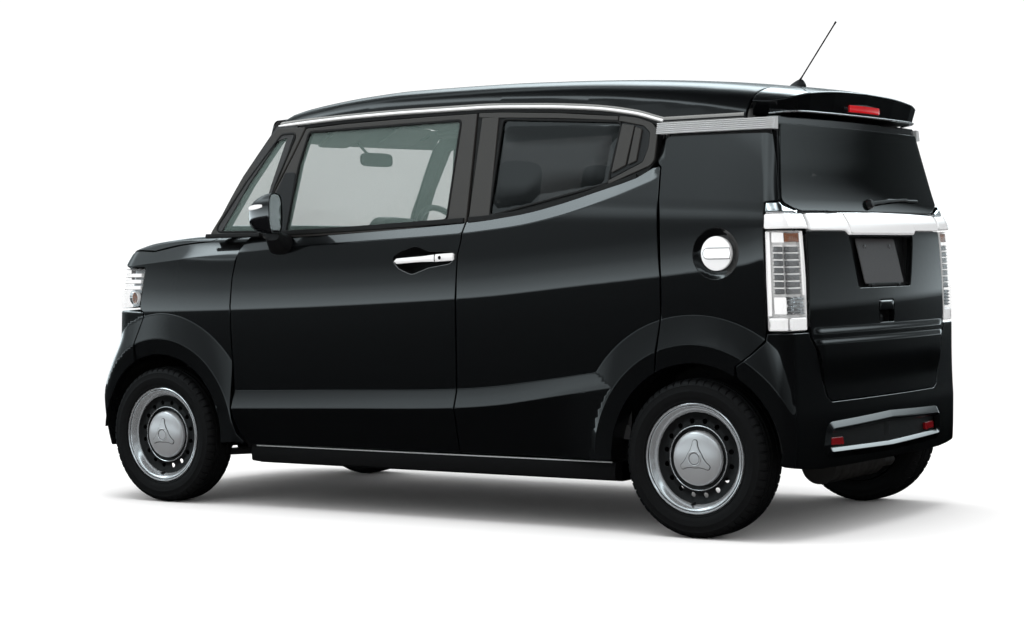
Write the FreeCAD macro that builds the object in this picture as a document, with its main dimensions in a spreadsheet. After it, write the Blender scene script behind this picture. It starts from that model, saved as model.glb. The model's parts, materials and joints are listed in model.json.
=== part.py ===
import FreeCAD, Part
import math
import os

# Kei car, five doors, right-hand drive.  Frame: +X forward, +Y to the car's
# left, +Z up; origin on the ground under the middle of the overall length.
V = FreeCAD.Vector
os.makedirs("parts", exist_ok=True)
doc = FreeCAD.newDocument("kei_car")

# ------------------------------------------------------------------ sizes
sheet = doc.addObject("Spreadsheet::Sheet", "Sizes")
SIZES = [
    ("overall_length", 3395), ("body_height", 1670), ("flare_width", 1475),
    ("datum_x", 47.5), ("plate_pitch", 210), ("plate_hole", 3.5), ("tow_hole", 8), ("tow_depth", 40),
    ("front_axle_x", 1182.5), ("rear_axle_x", -1337.5), ("half_track", 652.5),
    ("hub_height", 278.5), ("tyre_radius", 278.5), ("tyre_width", 156),
    ("rim_radius", 190), ("rim_width", 140), ("rim_wall", 6), ("disc_thick", 10),
    ("hub_bore", 30), ("stud_circle", 100), ("stud_hole", 6.5), ("cap_radius", 95),
    ("arch_radius", 333), ("flare_inner", 397), ("flare_outer", 497),
    ("door_thick", 62), ("frame_thick", 38), ("roof_thick", 34), ("gap", 7),
    ("tailgate_thick", 58), ("glass_thick", 4), ("kingpin_y", 540),
    ("steer_wheel_radius", 178), ("steer_rim", 14), ("fuel_lid_radius", 63),
    ("seat_width", 480), ("rear_seat_width", 920), ("floor_height", 230),
    ("sill_height", 150), ("engine_x", 440), ("engine_y", 560), ("engine_z", 430),
    ("axle_tube", 38), ("exhaust_tube", 24), ("mast_length", 262), ("mast_radius", 3.2),
    ("mirror_x", 120), ("mirror_y", 185), ("mirror_z", 160),
]
for i, (name, val) in enumerate(SIZES):
    sheet.set("A%d" % (i + 1), name)
    sheet.set("B%d" % (i + 1), str(val))
    sheet.setAlias("B%d" % (i + 1), name)
doc.recompute()


def S(name):
    return float(getattr(sheet, name))


FX, RX, HZ, HT = S("front_axle_x"), S("rear_axle_x"), S("hub_height"), S("half_track")
GAP = S("gap")
NODES = []
# body stations below are measured from a datum this far behind mid-length
DATUM = V(S("datum_x"), 0, 0)


def done(obj, label):
    obj.Label = label
    if obj not in NODES:
        NODES.append(obj)
    return obj


def feature(label, shape, at=None):
    """One node whose shape is worked out from the body surfaces."""
    o = doc.addObject("Part::Feature", label)
    o.Shape = shape
    o.Placement = FreeCAD.Placement((at or V(0, 0, 0)) + DATUM, FreeCAD.Rotation())
    return done(o, label)


# ---------------------------------------------------------- body surfaces
def curve(t, xs, ys):
    """Smooth monotone curve through the stations xs, ys."""
    n = len(xs)
    if t <= xs[0]:
        return ys[0] + (t - xs[0]) * (ys[1] - ys[0]) / (xs[1] - xs[0])
    if t >= xs[-1]:
        return ys[-1] + (t - xs[-1]) * (ys[-1] - ys[-2]) / (xs[-1] - xs[-2])
    d = [(ys[k + 1] - ys[k]) / (xs[k + 1] - xs[k]) for k in range(n - 1)]
    m = [d[0]] + [0.0 if d[k - 1] * d[k] <= 0 else
                  2 * d[k - 1] * d[k] / (d[k - 1] + d[k]) for k in range(1, n - 1)] + [d[-1]]
    k = 0
    while t > xs[k + 1]:
        k += 1
    w = xs[k + 1] - xs[k]
    u = (t - xs[k]) / w
    return ((2 * u**3 - 3 * u**2 + 1) * ys[k] + (u**3 - 2 * u**2 + u) * w * m[k]
            + (-2 * u**3 + 3 * u**2) * ys[k + 1] + (u**3 - u**2) * w * m[k + 1])


def side_y(x, z):
    y = curve(z, [150, 220, 350, 480, 650, 800, 930, 1000, 1035, 1060, 1100, 1300, 1500, 1560, 1620, 1720],
              [684, 698, 709, 715, 720, 722, 717, 711, 704, 696, 684, 634.5, 585, 568, 548, 512])
    if x < -1200:
        y -= 8 * ((-1200 - x) / 450.0) ** 2
    if x < -1560:
        y -= 50 * ((-1560 - x) / 150.0) ** 2
    if x > 850:
        y -= 45 * ((x - 850) / 600.0) ** 2
    return y


def rear_x(y, z):
    x = curve(z, [150, 230, 330, 420, 475, 560, 720, 860, 1040, 1085, 1130, 1162, 1300, 1427, 1500, 1600, 1740],
              [-1722, -1738, -1744, -1745, -1743, -1741, -1739, -1736, -1725, -1716, -1693, -1682, -1653, -1629, -1616, -1602, -1584])
    return x + 40 * (y / 700.0) ** 2


def front_x(y, z):
    x = curve(z, [150, 230, 365, 500, 700, 900, 980, 1060, 1140],
              [1612, 1636, 1650, 1645, 1622, 1600, 1582, 1548, 1500])
    bow = curve(z, [150, 450, 550, 680, 900, 1140], [38, 44, 90, 140, 130, 130])
    return x - bow * (abs(y) / 650.0) ** 3


def roof_z(x, y):
    z = curve(x, [-1720, -1620, -1553, -1449, -1332, -1210, -941, -750, -554, -353, -145, 69, 289, 517, 672, 776, 1000],
              [1552, 1571, 1583, 1597, 1612, 1625, 1647, 1657, 1664, 1669, 1670, 1669, 1658, 1635, 1608, 1577, 1500])
    return z - curve(abs(y), [0, 200, 420, 500, 545, 575, 600, 660], [0, 4, 20, 37, 60, 92, 132, 260])


def bonnet_z(x, y):
    z = curve(x, [700, 1000, 1157, 1229, 1343, 1459, 1544, 1590, 1640, 1720],
              [1114, 1112, 1109, 1105, 1093, 1063, 1034, 1002, 930, 800])
    return z - curve(abs(y), [0, 450, 600, 650, 690, 720, 760], [0, 12, 28, 44, 84, 130, 210])


def screen_x(y, z):
    x = curve(z, [950, 1091, 1305, 1526, 1600, 1720], [1012, 933, 805, 648, 588, 480])
    return x + 92 * (1 - min(1.2, (abs(y) / 640.0) ** 2))


def grid_face(points):
    s = Part.BSplineSurface()
    s.interpolate(points)
    return s.toShape()


def frange(a, b, n):
    return [a + (b - a) * i / (n - 1.0) for i in range(n)]


XS = [-1800, -1760, -1720, -1680, -1640, -1600, -1560, -1520, -1400, -1250, -1100] + [-700, -300, 200, 600] + frange(850, 1740, 9)
ZS = [120, 160, 220, 300, 400, 480, 560, 660, 760, 840, 900, 940, 970, 1000, 1020, 1035, 1050, 1070, 1090, 1115,
      1160, 1240, 1340, 1440, 1490, 1520, 1545, 1570, 1600, 1640, 1690, 1740]
ZR = [120, 180, 250, 330, 420, 500, 600, 720, 860, 980, 1040, 1070, 1100, 1130, 1162, 1200, 1300, 1400, 1500, 1600, 1740]
YS = frange(-800, 800, 17)
BIG = 1500


def side_space(d):
    f = grid_face([[V(x, side_y(x, z) - d, z) for z in ZS] for x in XS])
    return f.extrude(V(0, -BIG, 0))


def rear_space(d):
    f = grid_face([[V(rear_x(y, z) + d, y, z) for z in ZR] for y in YS])
    return f.extrude(V(BIG, 0, 0))


def front_space(d):
    f = grid_face([[V(front_x(y, z) - d, y, z) for z in frange(120, 1200, 22)] for y in YS])
    return f.extrude(V(-BIG, 0, 0))


def roof_space(d):
    f = grid_face([[V(x, y, roof_z(x, y) - d) for y in frange(-660, 660, 23)] for x in frange(-1760, 1000, 19)])
    return f.extrude(V(0, 0, -BIG))


def bonnet_space(d):
    f = grid_face([[V(x, y, bonnet_z(x, y) - d) for y in frange(-760, 760, 27)] for x in frange(700, 1720, 19)])
    return f.extrude(V(0, 0, -BIG))


def screen_space(d):
    f = grid_face([[V(screen_x(y, z) - d, y, z) for z in frange(950, 1720, 12)] for y in frange(-700, 700, 13)])
    return f.extrude(V(-2.6 * BIG, 0, 0))


def prism_xz(pts, y0, y1):
    w = Part.makePolygon([V(x, y0, z) for x, z in pts] + [V(pts[0][0], y0, pts[0][1])])
    return Part.Face(w).extrude(V(0, y1 - y0, 0))


def prism_yz(pts, x0, x1):
    w = Part.makePolygon([V(x0, y, z) for y, z in pts] + [V(x0, pts[0][0], pts[0][1])])
    return Part.Face(w).extrude(V(x1 - x0, 0, 0))


def prism_xy(pts, z0, z1):
    w = Part.makePolygon([V(x, y, z0) for x, y in pts] + [V(pts[0][0], pts[0][1], z0)])
    return Part.Face(w).extrude(V(0, 0, z1 - z0))


def block(x0, x1, y0, y1, z0, z1):
    return Part.makeBox(x1 - x0, y1 - y0, z1 - z0, V(x0, y0, z0))


def cyl(x, z, r, y0, y1):
    return Part.makeCylinder(r, y1 - y0, V(x, y0, z), V(0, 1, 0))


def mirrored(shape):
    return shape.mirror(V(0, 0, 0), V(0, 1, 0))


def solids(shape, least=2000.0):
    """The shape's solids, without slivers."""
    s = [q for q in shape.Solids if q.Volume > least]
    return s[0] if len(s) == 1 else Part.Compound(s)


def outline_offset(pts, d):
    """Move a closed polygon's sides outwards by d (inwards when negative)."""
    n = len(pts)
    area = sum(pts[i][0] * pts[(i + 1) % n][1] - pts[(i + 1) % n][0] * pts[i][1] for i in range(n))
    sgn = 1.0 if area > 0 else -1.0
    out = []
    for i in range(n):
        a, b, c = pts[i - 1], pts[i], pts[(i + 1) % n]
        e1 = ((b[0] - a[0]), (b[1] - a[1]))
        e2 = ((c[0] - b[0]), (c[1] - b[1]))
        l1, l2 = math.hypot(*e1), math.hypot(*e2)
        n1 = (e1[1] / l1 * sgn, -e1[0] / l1 * sgn)
        n2 = (e2[1] / l2 * sgn, -e2[0] / l2 * sgn)
        k = 1 + n1[0] * n2[0] + n1[1] * n2[1]
        k = max(k, 0.35)
        out.append((b[0] + d * (n1[0] + n2[0]) / k, b[1] + d * (n1[1] + n2[1]) / k))
    return out


# outer spaces of the body and the same spaces moved in by a wall
DT, FT, RT, TT = S("door_thick"), S("frame_thick"), S("roof_thick"), S("tailgate_thick")
side0, side_in, side_fr = side_space(0), side_space(DT), side_space(FT)
rear0, rear_in = rear_space(0), rear_space(TT)
front0, front_in = front_space(0), front_space(50)
roof0, roof_in = roof_space(0), roof_space(RT)
bon0, bon_in = bonnet_space(0), bonnet_space(28)
scr0, scr_in = screen_space(0), screen_space(8)

# wheel-arch flare bands and the inclined band along the sill (left side)
AR, FI, FO = S("arch_radius"), S("flare_inner"), S("flare_outer")
YF = S("flare_width") / 2.0


def flare(x, yb):
    cone = Part.makeCone(FO, FI, YF - yb, V(x, yb, HZ), V(0, 1, 0))
    return cone.fuse(cyl(x, HZ, FO, 640, yb))


flare_f = flare(FX, 706).common(block(600, 1760, 600, 760, 178, 900))
flare_r = flare(RX, 714).common(block(-1760, -700, 600, 760, 178, 900))
band = prism_yz([(657, 176), (692, 176), (734, 405), (714, 492), (657, 492)], -1000, 900)
arch_f, arch_r = cyl(FX, HZ, AR, 380, 800), cyl(RX, HZ, AR, 380, 800)


def side_wall(outline, flares=True, depth=DT, extra=None):
    """Side panel on the left: skin plus bands, cut to an outline in X and Z."""
    p = prism_xz(outline, 420, 800)
    skin = p.common(side0)
    if extra:
        for e in extra:
            skin = skin.common(e)
    low = p.common(block(-1800, 1800, 400, 800, 100, 1085))
    high = p.common(block(-1800, 1800, 400, 800, 1085, 1800))
    wall = skin.cut(low.common(side_in)) if low.Volume > 1 else skin
    if high.Volume > 1:
        wall = wall.cut(high.common(side_fr))
    if flares:
        for b in (flare_f, flare_r, band):
            q = p.common(b)
            if q.Volume > 500:
                wall = wall.fuse(q)
        wall = wall.cut(arch_f).cut(arch_r)
    return solids(wall)


# ----------------------------------------------------------- shut lines
FRONT_SHUT = [(733, 1086), (761, 1036), (786, 929), (795, 806), (793, 685), (788, 555), (793, 403), (785, 353), (765, 296), (723, 254)]
REAR_EDGE = [(-1003, 252), (-1050, 420), (-1190, 575), (-1191, 606), (-1210, 775), (-1211, 912), (-1190, 1180), (-1176, 1292)]
half = GAP / 2.0
door_f = ([(-318 + half, 262)] + [(x - half, z) for x, z in reversed(FRONT_SHUT)]
          + [(648, 1087), (612, 1275), (540, 1520), (517, 1536), (240, 1542), (-50, 1545), (-331, 1544),
             (-336, 1126), (-340, 1086), (-331, 1003), (-326 + half, 820)])
door_r = ([(-318 - half, 262), (-326 - half, 820), (-343, 1003), (-352, 1086), (-360, 1126), (-345, 1544),
           (-594, 1536), (-850, 1514), (-961, 1486), (-1078, 1463), (-1122, 1425), (-1127, 1315), (-1140, 1280),
           (-1171, 1270)] + [(x + half, z) for x, z in reversed(REAR_EDGE[:-1])])
win_f = [(481, 1494), (-263, 1504), (-263, 1137), (480, 1120)]
win_r = [(-431, 1501), (-454, 1149), (-976, 1246), (-962, 1479)]

glass_gap = S("glass_thick")


def pane(outline, d=10):
    g = prism_xz(outline, 300, 800)
    return solids(g.common(side_space(d)).cut(side_space(d + glass_gap)), 500)


# tailgate outline across the back, left half upwards
tg_l = [(440, 470), (468, 488), (492, 545), (527, 654), (564, 696), (572, 765), (562, 1061), (549, 1073), (545, 1124), (590, 1134),
        (628, 1150), (640, 1168), (572, 1424), (572, 1462), (700, 1462), (700, 1700)]
TG = tg_l + [(-y, z) for y, z in reversed(tg_l)]

# ----------------------------------------------------------------- doors
front_door = side_wall(door_f).cut(prism_xz(win_f, 300, 800))
front_door = solids(front_door)
rear_door = solids(side_wall(door_r).cut(prism_xz(win_r, 300, 800)))
front_pane, rear_pane = pane(win_f), pane(win_r)

# door mirror: foot on the door's front corner and the housing on it
mirror = doc.addObject("Part::Box", "mirror_shell")
mirror.setExpression("Length", "Sizes.mirror_x")
mirror.setExpression("Width", "Sizes.mirror_y")
mirror.setExpression("Height", "Sizes.mirror_z")
mirror.Placement.Base = V(440, 745, 1090)
mround = doc.addObject("Part::Fillet", "mirror_round")
doc.recompute()
mround.Base = mirror
mround.Edges = [(k + 1, 34.0, 34.0) for k in range(12)]
mfoot = doc.addObject("Part::Wedge", "mirror_foot")
mfoot.Xmin, mfoot.Xmax, mfoot.Ymin, mfoot.Ymax, mfoot.Zmin, mfoot.Zmax = 0, 130, 0, 85, 0, 90
mfoot.X2min, mfoot.X2max, mfoot.Z2min, mfoot.Z2max = 25, 105, 0, 60
mfoot.Placement = FreeCAD.Placement(V(465, 716, 1000), FreeCAD.Rotation(V(1, 0, 0), 0))
mirror_full = doc.addObject("Part::Fuse", "mirror_full")
mirror_full.Base, mirror_full.Tool = mround, mfoot
doc.recompute()
mshape = mirror_full.Shape.copy()
foot_neck = block(480, 585, 690, 770, 1060, 1135).cut(side_space(0))
mshape = solids(mshape.fuse(foot_neck).cut(side_space(0)))

for side, f in (("left", lambda q: q), ("right", mirrored)):
    feature("front_door_" + side, f(front_door))
    feature("front_door_glass_" + side, f(front_pane))
    feature("rear_door_" + side, f(rear_door))
    feature("rear_door_glass_" + side, f(rear_pane))
    feature("door_mirror_" + side, f(mshape))

# --------------------------------------------------------- front fenders
fender_out = ([(x + half, z) for x, z in FRONT_SHUT] +
              [(700, 190), (1290, 190), (1323, 650), (1296, 780), (1290, 970), (1445, 975), (1560, 1000), (1560, 1140), (700, 1140)])
fen = side_wall(fender_out, True, DT, [front0, bon0])
fen = fen.cut(prism_xy([(700, 0), (1700, 0), (1700, 560), (1400, 600), (700, 640)], 0, 1200))
fen = solids(fen.cut(prism_xz([(700, 1091), (960, 1091), (960, 1200), (700, 1200)], 300, 800)))
bon_plan = [(960, -590), (1040, -350), (1068, 0), (1040, 350), (960, 590), (955, 640), (1280, 640), (1420, 605), (1545, 530), (1640, 430), (1700, 300), (1700, -300),
            (1640, -430), (1545, -530), (1420, -605), (1280, -640), (955, -640)]
fen = fen.cut(prism_xy(outline_offset(bon_plan, GAP), 900, 1200))
fen = fen.cut(block(700, 1560, 560, 650, 170, 400))
# hollow edge that the front of the door turns in
fen = solids(fen.cut(Part.makeCylinder(70, 860, V(733, 712, 235))))
feature("front_fenders", Part.Compound([fen, mirrored(fen)]))

# -------------------------------------------------------- quarter panels
quarter_out = [(-1194, 575)] + [(x - half, z) for x, z in REAR_EDGE[3:]] + [
    (-1150, 1290), (-1139, 1320), (-1135, 1437), (-1700, 1437), (-1700, 1133), (-1618, 1133), (-1630, 712), (-1606, 640), (-1530, 572), (-1540, 190)]
quarter = side_wall(quarter_out, True, DT, [rear0])
quarter = quarter.cut(prism_yz(outline_offset(TG, GAP), -1800, -1480))
lid_r = S("fuel_lid_radius")
inner_arch = Part.makeCylinder(AR + 14, 190, V(RX, 470, HZ), V(0, 1, 0)).cut(
    Part.makeCylinder(AR + 6, 210, V(RX, 480, HZ), V(0, 1, 0)))
inner_arch = inner_arch.common(block(-1536, -1222, 400, 662, 335, 700)).fuse(inner_arch.common(block(-1223, -1036, 400, 628, 335, 700)))
inner_arch = inner_arch.cut(Part.makeCylinder(100, 200, V(RX, 460, HZ), V(0, 1, 0)))
quarter = solids(quarter.fuse(inner_arch))
recess = Part.makeCylinder(lid_r + 6, 60, V(-1430, 685, 988), V(0, 1, 0))
feature("quarter_panels", Part.Compound([solids(quarter.cut(recess)), mirrored(quarter)]))

# fuel lid: a dished disc in its recess on the left
lid = doc.addObject("Part::Cylinder", "fuel_lid_disc")
lid.setExpression("Radius", "Sizes.fuel_lid_radius")
lid.Height = 16
lid.Placement = FreeCAD.Placement(V(-1430, 698, 988) + DATUM, FreeCAD.Rotation(V(1, 0, 0), -90))
done(lid, "fuel_lid")

# ------------------------------------------------------------------ roof
RAIL = [(760, 1533), (646, 1533), (531, 1544), (238, 1552), (-50, 1554), (-327, 1554), (-594, 1547),
        (-850, 1528), (-1036, 1501), (-1100, 1476), (-1142, 1462), (-1150, 1441), (-1620, 1441)]
r_prism = prism_xz([(760, 1700)] + RAIL + [(-1620, 1455), (-1488, 1455), (-1488, 1700)], -800, 800)
rail_xy = [(x, side_y(x, z)) for x, z in RAIL if x < 700]
rail_xy = [(900, side_y(700, 1533) - 4)] + rail_xy
rail_in = [(x + (60 if i == len(rail_xy) - 1 else 0), y - 46) for i, (x, y) in enumerate(rail_xy)]


def closed_plan(half_pts):
    return half_pts + [(x, -y) for x, y in reversed(half_pts)]


lid_out = prism_xy(closed_plan(rail_xy), 1400, 1720).common(r_prism).common(roof0).common(screen_space(-2))
hollow = prism_xy(closed_plan(rail_in), 1300, 1720).common(roof_in)
roof = lid_out.cut(hollow).cut(block(-1800, -1480, -590, 590, 1400, 1600))
roof = solids(roof.cut(Part.makeCone(30, 9, 34, V(-1392, 0, roof_z(-1392, 0) - 4))), 20000)
s46 = side_space(46)
feature("roof", roof)

# ------------------------------------------------- windscreen and pillars
apil_out = [(933 + 20, 1094), (805 + 8, 1310), (655, 1529), (546, 1529), (619, 1275), (655, 1094)]
apil = prism_xz(apil_out, 300, 800).common(side0).cut(side_space(46)).common(screen_space(-6))
quarter_win = [(870, 1110), (760, 1300), (640, 1470), (590, 1482), (640, 1290), (672, 1110)]
apil = solids(apil.cut(prism_xz(quarter_win, 300, 800)))
qg = pane(quarter_win, 10)
qg = solids(qg.common(screen_space(-6)), 200)
bpil = prism_yz([(567, 262), (612, 262), (612, 1040), (528, 1540), (483, 1540), (567, 1040)], -395, -268)
bpil = bpil.cut(block(-1000, 790, 550, 620, 200, 330))
feature("door_pillars", Part.Compound([apil, mirrored(apil), bpil, mirrored(bpil)]))
feature("front_quarter_glass", Part.Compound([qg, mirrored(qg)]))

s52 = side_space(52)
screen = block(400, 1200, -700, 700, 1100, 1700).common(screen_space(8)).common(s52).common(mirrored(s52)).common(roof_space(40))
screen = solids(screen.cut(screen_space(14)))
feature("windscreen", screen)

# ---------------------------------------------------------------- bonnet
bonnet = prism_xy(bon_plan, 976, 1200).common(bon0).common(front0)
bonnet = solids(bonnet.cut(bonnet_space(34)).fuse(
    prism_xy(outline_offset(bon_plan, 0), 976, 1200).common(bon0).common(front0).cut(front_in).common(bonnet_space(20))), 20000)
feature("bonnet", bonnet)
# -------------------------------------------------- front bumper, lamps, grille
fb = block(1200, 1760, -760, 760, 190, 790).common(front0).common(side0).common(mirrored(side0))
s60 = side_space(60)
fb_in = block(1150, 1760, -760, 760, 150, 900).common(front_space(60)).common(s60).common(mirrored(s60))
fb = fb.cut(fb_in)
for q in (flare_f, mirrored(flare_f)):
    fb = fb.fuse(q.common(block(1280, 1760, -760, 760, 190, 790)).common(front0))
fb = fb.cut(prism_xz([(1100, 150), (1290 + GAP, 150), (1323 + GAP, 650), (1296 + GAP, 780), (1290 + GAP, 1000), (1100, 1000)], -800, 800))
fb = fb.cut(arch_f).cut(mirrored(arch_f))
fb = fb.cut(block(1500, 1760, -420, 420, 560, 700))
fb = fb.cut(Part.makeCylinder(24, 200, V(1520, -355, 365), V(1, 0, 0)))
fb = solids(fb, 20000)
feature("front_bumper", fb)

grille = block(1500, 1760, -418, 418, 562, 698).common(front_space(14)).cut(front_space(34))
upper = block(1500, 1760, -400, 400, 796, 958).common(front_space(4)).cut(front_space(40))
feature("grille", Part.Compound([solids(grille), solids(upper)]))

hl = prism_xz([(1290, 968), (1324, 794), (1720, 794), (1720, 960)], 300, 800).common(front0).common(side0).common(bonnet_space(4))
hl = hl.cut(block(1200, 1800, 300, 800, 700, 1100).common(front_space(120)).common(side_space(90))).cut(block(1000, 1800, 0, 404, 0, 1200))
hl = solids(hl, 5000)
feature("headlamps", Part.Compound([hl, mirrored(hl)]))

# ------------------------------------------------------- tailgate and rear
tg_low = [p for p in TG[:TG.index((572, 1424)) + 1]] + [(572, 1462), (-572, 1462)] + TG[len(TG) - TG.index((572, 1424)) - 1:]
tg = prism_yz(tg_low, -1800, -1480).common(rear0).cut(block(-1790, -1400, -790, 790, 300, 1600).common(rear_in))
spoil_xz = [(-1495, 1700), (-1495, 1462), (-1622, 1462), (-1660, 1482), (-1664, 1530), (-1650, 1700)]
spoil_xy = [(-1495, 582), (-1560, 572), (-1622, 540), (-1655, 440), (-1664, 250), (-1666, 0)]
spoiler = prism_xy(closed_plan(spoil_xy), 1440, 1720).common(prism_xz(spoil_xz, -700, 700)).common(roof0)
spoiler = spoiler.cut(block(-1572, -1400, -520, 520, 1400, 1720).common(roof_space(46)))
tg = tg.fuse(spoiler)
glass_open = [(-585, 1190), (-515, 1440), (515, 1440), (585, 1190)]
tg = solids(tg.cut(prism_yz(glass_open, -1800, -1380)), 20000)
# plate recess with a flat floor and its two screw holes
well = prism_yz([(-222, 860), (222, 860), (272, 1040), (-272, 1040)], -1800, -1702)
tg = tg.cut(well)
for s in (1, -1):
    tg = tg.cut(Part.makeCylinder(S("plate_hole"), 80, V(-1720, s * S("plate_pitch") / 2, 1005), V(1, 0, 0)))
tg = solids(tg, 20000)
feature("tailgate", tg)
tgg = prism_yz(glass_open, -1800, -1380).common(rear_space(6)).cut(rear_space(10))
feature("tailgate_glass", solids(tgg))

lamp = prism_xz([(-1637, 719), (-1625, 1126), (-1800, 1126), (-1800, 719)], 440, 800).common(rear0).common(side0)
lamp = lamp.cut(block(-1800, -1500, 400, 800, 700, 1150).common(rear_in).common(side_in))
lamp = solids(lamp.cut(prism_yz(outline_offset(TG, GAP), -1800, -1480)))
feature("tail_lamps", Part.Compound([lamp, mirrored(lamp)]))

rb = block(-1800, -1250, -760, 760, 232, 712).common(rear0).common(side0).common(mirrored(side0))
rb_in = block(-1800, -1100, -760, 760, 150, 800).common(rear_space(62)).common(s60).common(mirrored(s60))
rb = rb.cut(rb_in)
for q in (flare_r, mirrored(flare_r)):
    rb = rb.fuse(q.common(block(-1800, -1250, -760, 760, 232, 700)).common(rear0))
rb = rb.cut(prism_xz([(-1637, 1000), (-1637, 706), (-1612, 633), (-1537, 566), (-1547, 150), (-1100, 150), (-1100, 1000)], -800, 800))
rb = rb.cut(arch_r).cut(mirrored(arch_r))
rb = rb.cut(prism_yz(outline_offset(TG, GAP), -1800, -1480))
rb = solids(rb.cut(block(-1665, -1000, -462, 462, 296, 334)), 20000)
feature("rear_bumper", rb)

# ------------------------------------------------------------- floor pan
floor = block(-1000, 812, -559, 559, 228, 262)
floor = floor.fuse(block(-1660, -1000, -455, 455, 300, 330))
floor = floor.fuse(block(-1030, -1000, -600, 600, 228, 330))
floor = floor.fuse(prism_xz([(800, 228), (840, 228), (840, 560), (880, 800), (880, 1040), (850, 1040), (850, 800), (808, 560)], -560, 560))
floor = floor.fuse(block(880, 1010, -560, 560, 1000, 1018))
for s in (1, -1):
    y0, y1 = sorted((s * 560, s * 646))
    floor = floor.fuse(block(-1000, 712, y0, y1, 178, 246))
    y0, y1 = sorted((s * 560, s * 612))
    floor = floor.fuse(block(-1000, 790, y0, y1, 240, 330))
    y0, y1 = sorted((s * 330, s * 380))
    floor = floor.fuse(block(800, 1560, y0, y1, 330, 400))
floor = floor.cut(Part.makeCylinder(S("tow_hole"), S("tow_depth"), V(1560 - S("tow_depth"), -355, 365), V(1, 0, 0)))
feature("floor_pan", solids(floor))

dash = prism_xz([(842, 640), (842, 1085), (700, 1065), (600, 985), (580, 900), (640, 820), (700, 640)], -560, 560)
dash = dash.cut(floor)
_ax = V(-math.sin(math.radians(64.0)), 0, math.cos(math.radians(64.0)))
_c = V(450, -300, 1050)
dash = solids(dash.cut(Part.makeCylinder(33, 420, _c - _ax * 380, _ax)))
done(feature("dashboard", dash), "dashboard")

engine = doc.addObject("Part::Box", "engine_block")
engine.setExpression("Length", "Sizes.engine_x")
engine.setExpression("Width", "Sizes.engine_y")
engine.setExpression("Height", "Sizes.engine_z")
engine.Placement.Base = V(1010, -280, 330) + DATUM
done(engine, "engine_block")

# front cross-member with a lower arm to each hub carrier
sub = block(1010, 1130, -330, 330, 215, 262)
for s in (1, -1):
    arm = prism_xy([(1020, s * 300), (1125, s * 300), (1200, s * 480), (1200, s * 548), (1165, s * 548), (1150, s * 480)], 172, 196)
    sub = sub.fuse(arm).fuse(block(1020, 1120, min(s * 290, s * 330), max(s * 290, s * 330), 172, 262))
feature("front_subframe", solids(sub))

# rear beam axle with trailing arms and a stub at each end
beam = cyl(RX - 20, 262, S("axle_tube"), -500, 500)
for s in (1, -1):
    y0, y1 = sorted((s * 420, s * 480))
    beam = beam.fuse(block(-1400, -1000, y0, y1, 232, 292))
    y0, y1 = sorted((s * 470, s * 618))
    beam = beam.fuse(Part.makeCylinder(24, y1 - y0, V(RX, y0, HZ), V(0, 1, 0)))
    y0, y1 = sorted((s * 470, s * 560))
    beam = beam.fuse(Part.makeCylinder(95, abs(y1 - y0), V(RX, y0, HZ), V(0, 1, 0)))
beam = beam.cut(floor)
feature("rear_axle", solids(beam))

tank = doc.addObject("Part::Box", "fuel_tank_block")
tank.Length, tank.Width, tank.Height = 520, 700, 84
tank.Placement.Base = V(-520, -350, 142) + DATUM
doc.recompute()
tround = doc.addObject("Part::Fillet", "fuel_tank_round")
tround.Base = tank
tround.Edges = [(k + 1, 18.0, 18.0) for k in range(12)]
done(tround, "fuel_tank")

# exhaust: straight runs joined by arcs, with the silencer across the tail
er = S("exhaust_tube")
muff = Part.makeCylinder(70, 420, V(-1560, -210, 222), V(0, 1, 0))
pipe = Part.makeCylinder(er, 1530, V(-30, -386, 194), V(-1, 0, 0))
tube = Part.makeCylinder(er, 900, V(860, -386, 194), V(-1, 0, 0))
link = Part.makeCylinder(er, 196, V(-1560, -386, 194), V(0, 1, 0))
exh = tube.fuse(pipe).fuse(muff).fuse(link).fuse(Part.makeSphere(er, V(-1560, -386, 194)))
feature("exhaust", solids(exh))


# ----------------------------------------------------------------- seats
def seat(width, xb, yc, zb, top, recline, tag):
    """Seat: cushion, leaning back and head restraints, one joined solid."""
    body = doc.addObject("PartDesign::Body", tag)
    plane = [f for f in body.Origin.OriginFeatures if f.Role == "XZ_Plane"][0]
    sk = body.newObject("Sketcher::SketchObject", tag + "_profile")
    sk.AttachmentSupport = [(plane, "")]
    sk.MapMode = "FlatFace"
    c, s = math.cos(math.radians(recline)), math.sin(math.radians(recline))
    a = (-s * top, c * top + 60)
    b = (a[0] + 115 * c, a[1] + 115 * s)
    pts = [(-60, 0), (470, 0), (500, 60), (490, 140), (110, 110), b, a, (-60, 60)]
    for i in range(len(pts)):
        p, q = pts[i], pts[(i + 1) % len(pts)]
        sk.addGeometry(Part.LineSegment(V(p[0], p[1], 0), V(q[0], q[1], 0)), False)
    pad = body.newObject("PartDesign::Pad", tag + "_pad")
    pad.Profile = sk
    pad.Midplane = True
    pad.setExpression("Length", "Sizes." + width)
    body.Placement = FreeCAD.Placement(V(xb, yc, zb), FreeCAD.Rotation())
    doc.recompute()
    return body, a, b


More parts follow.
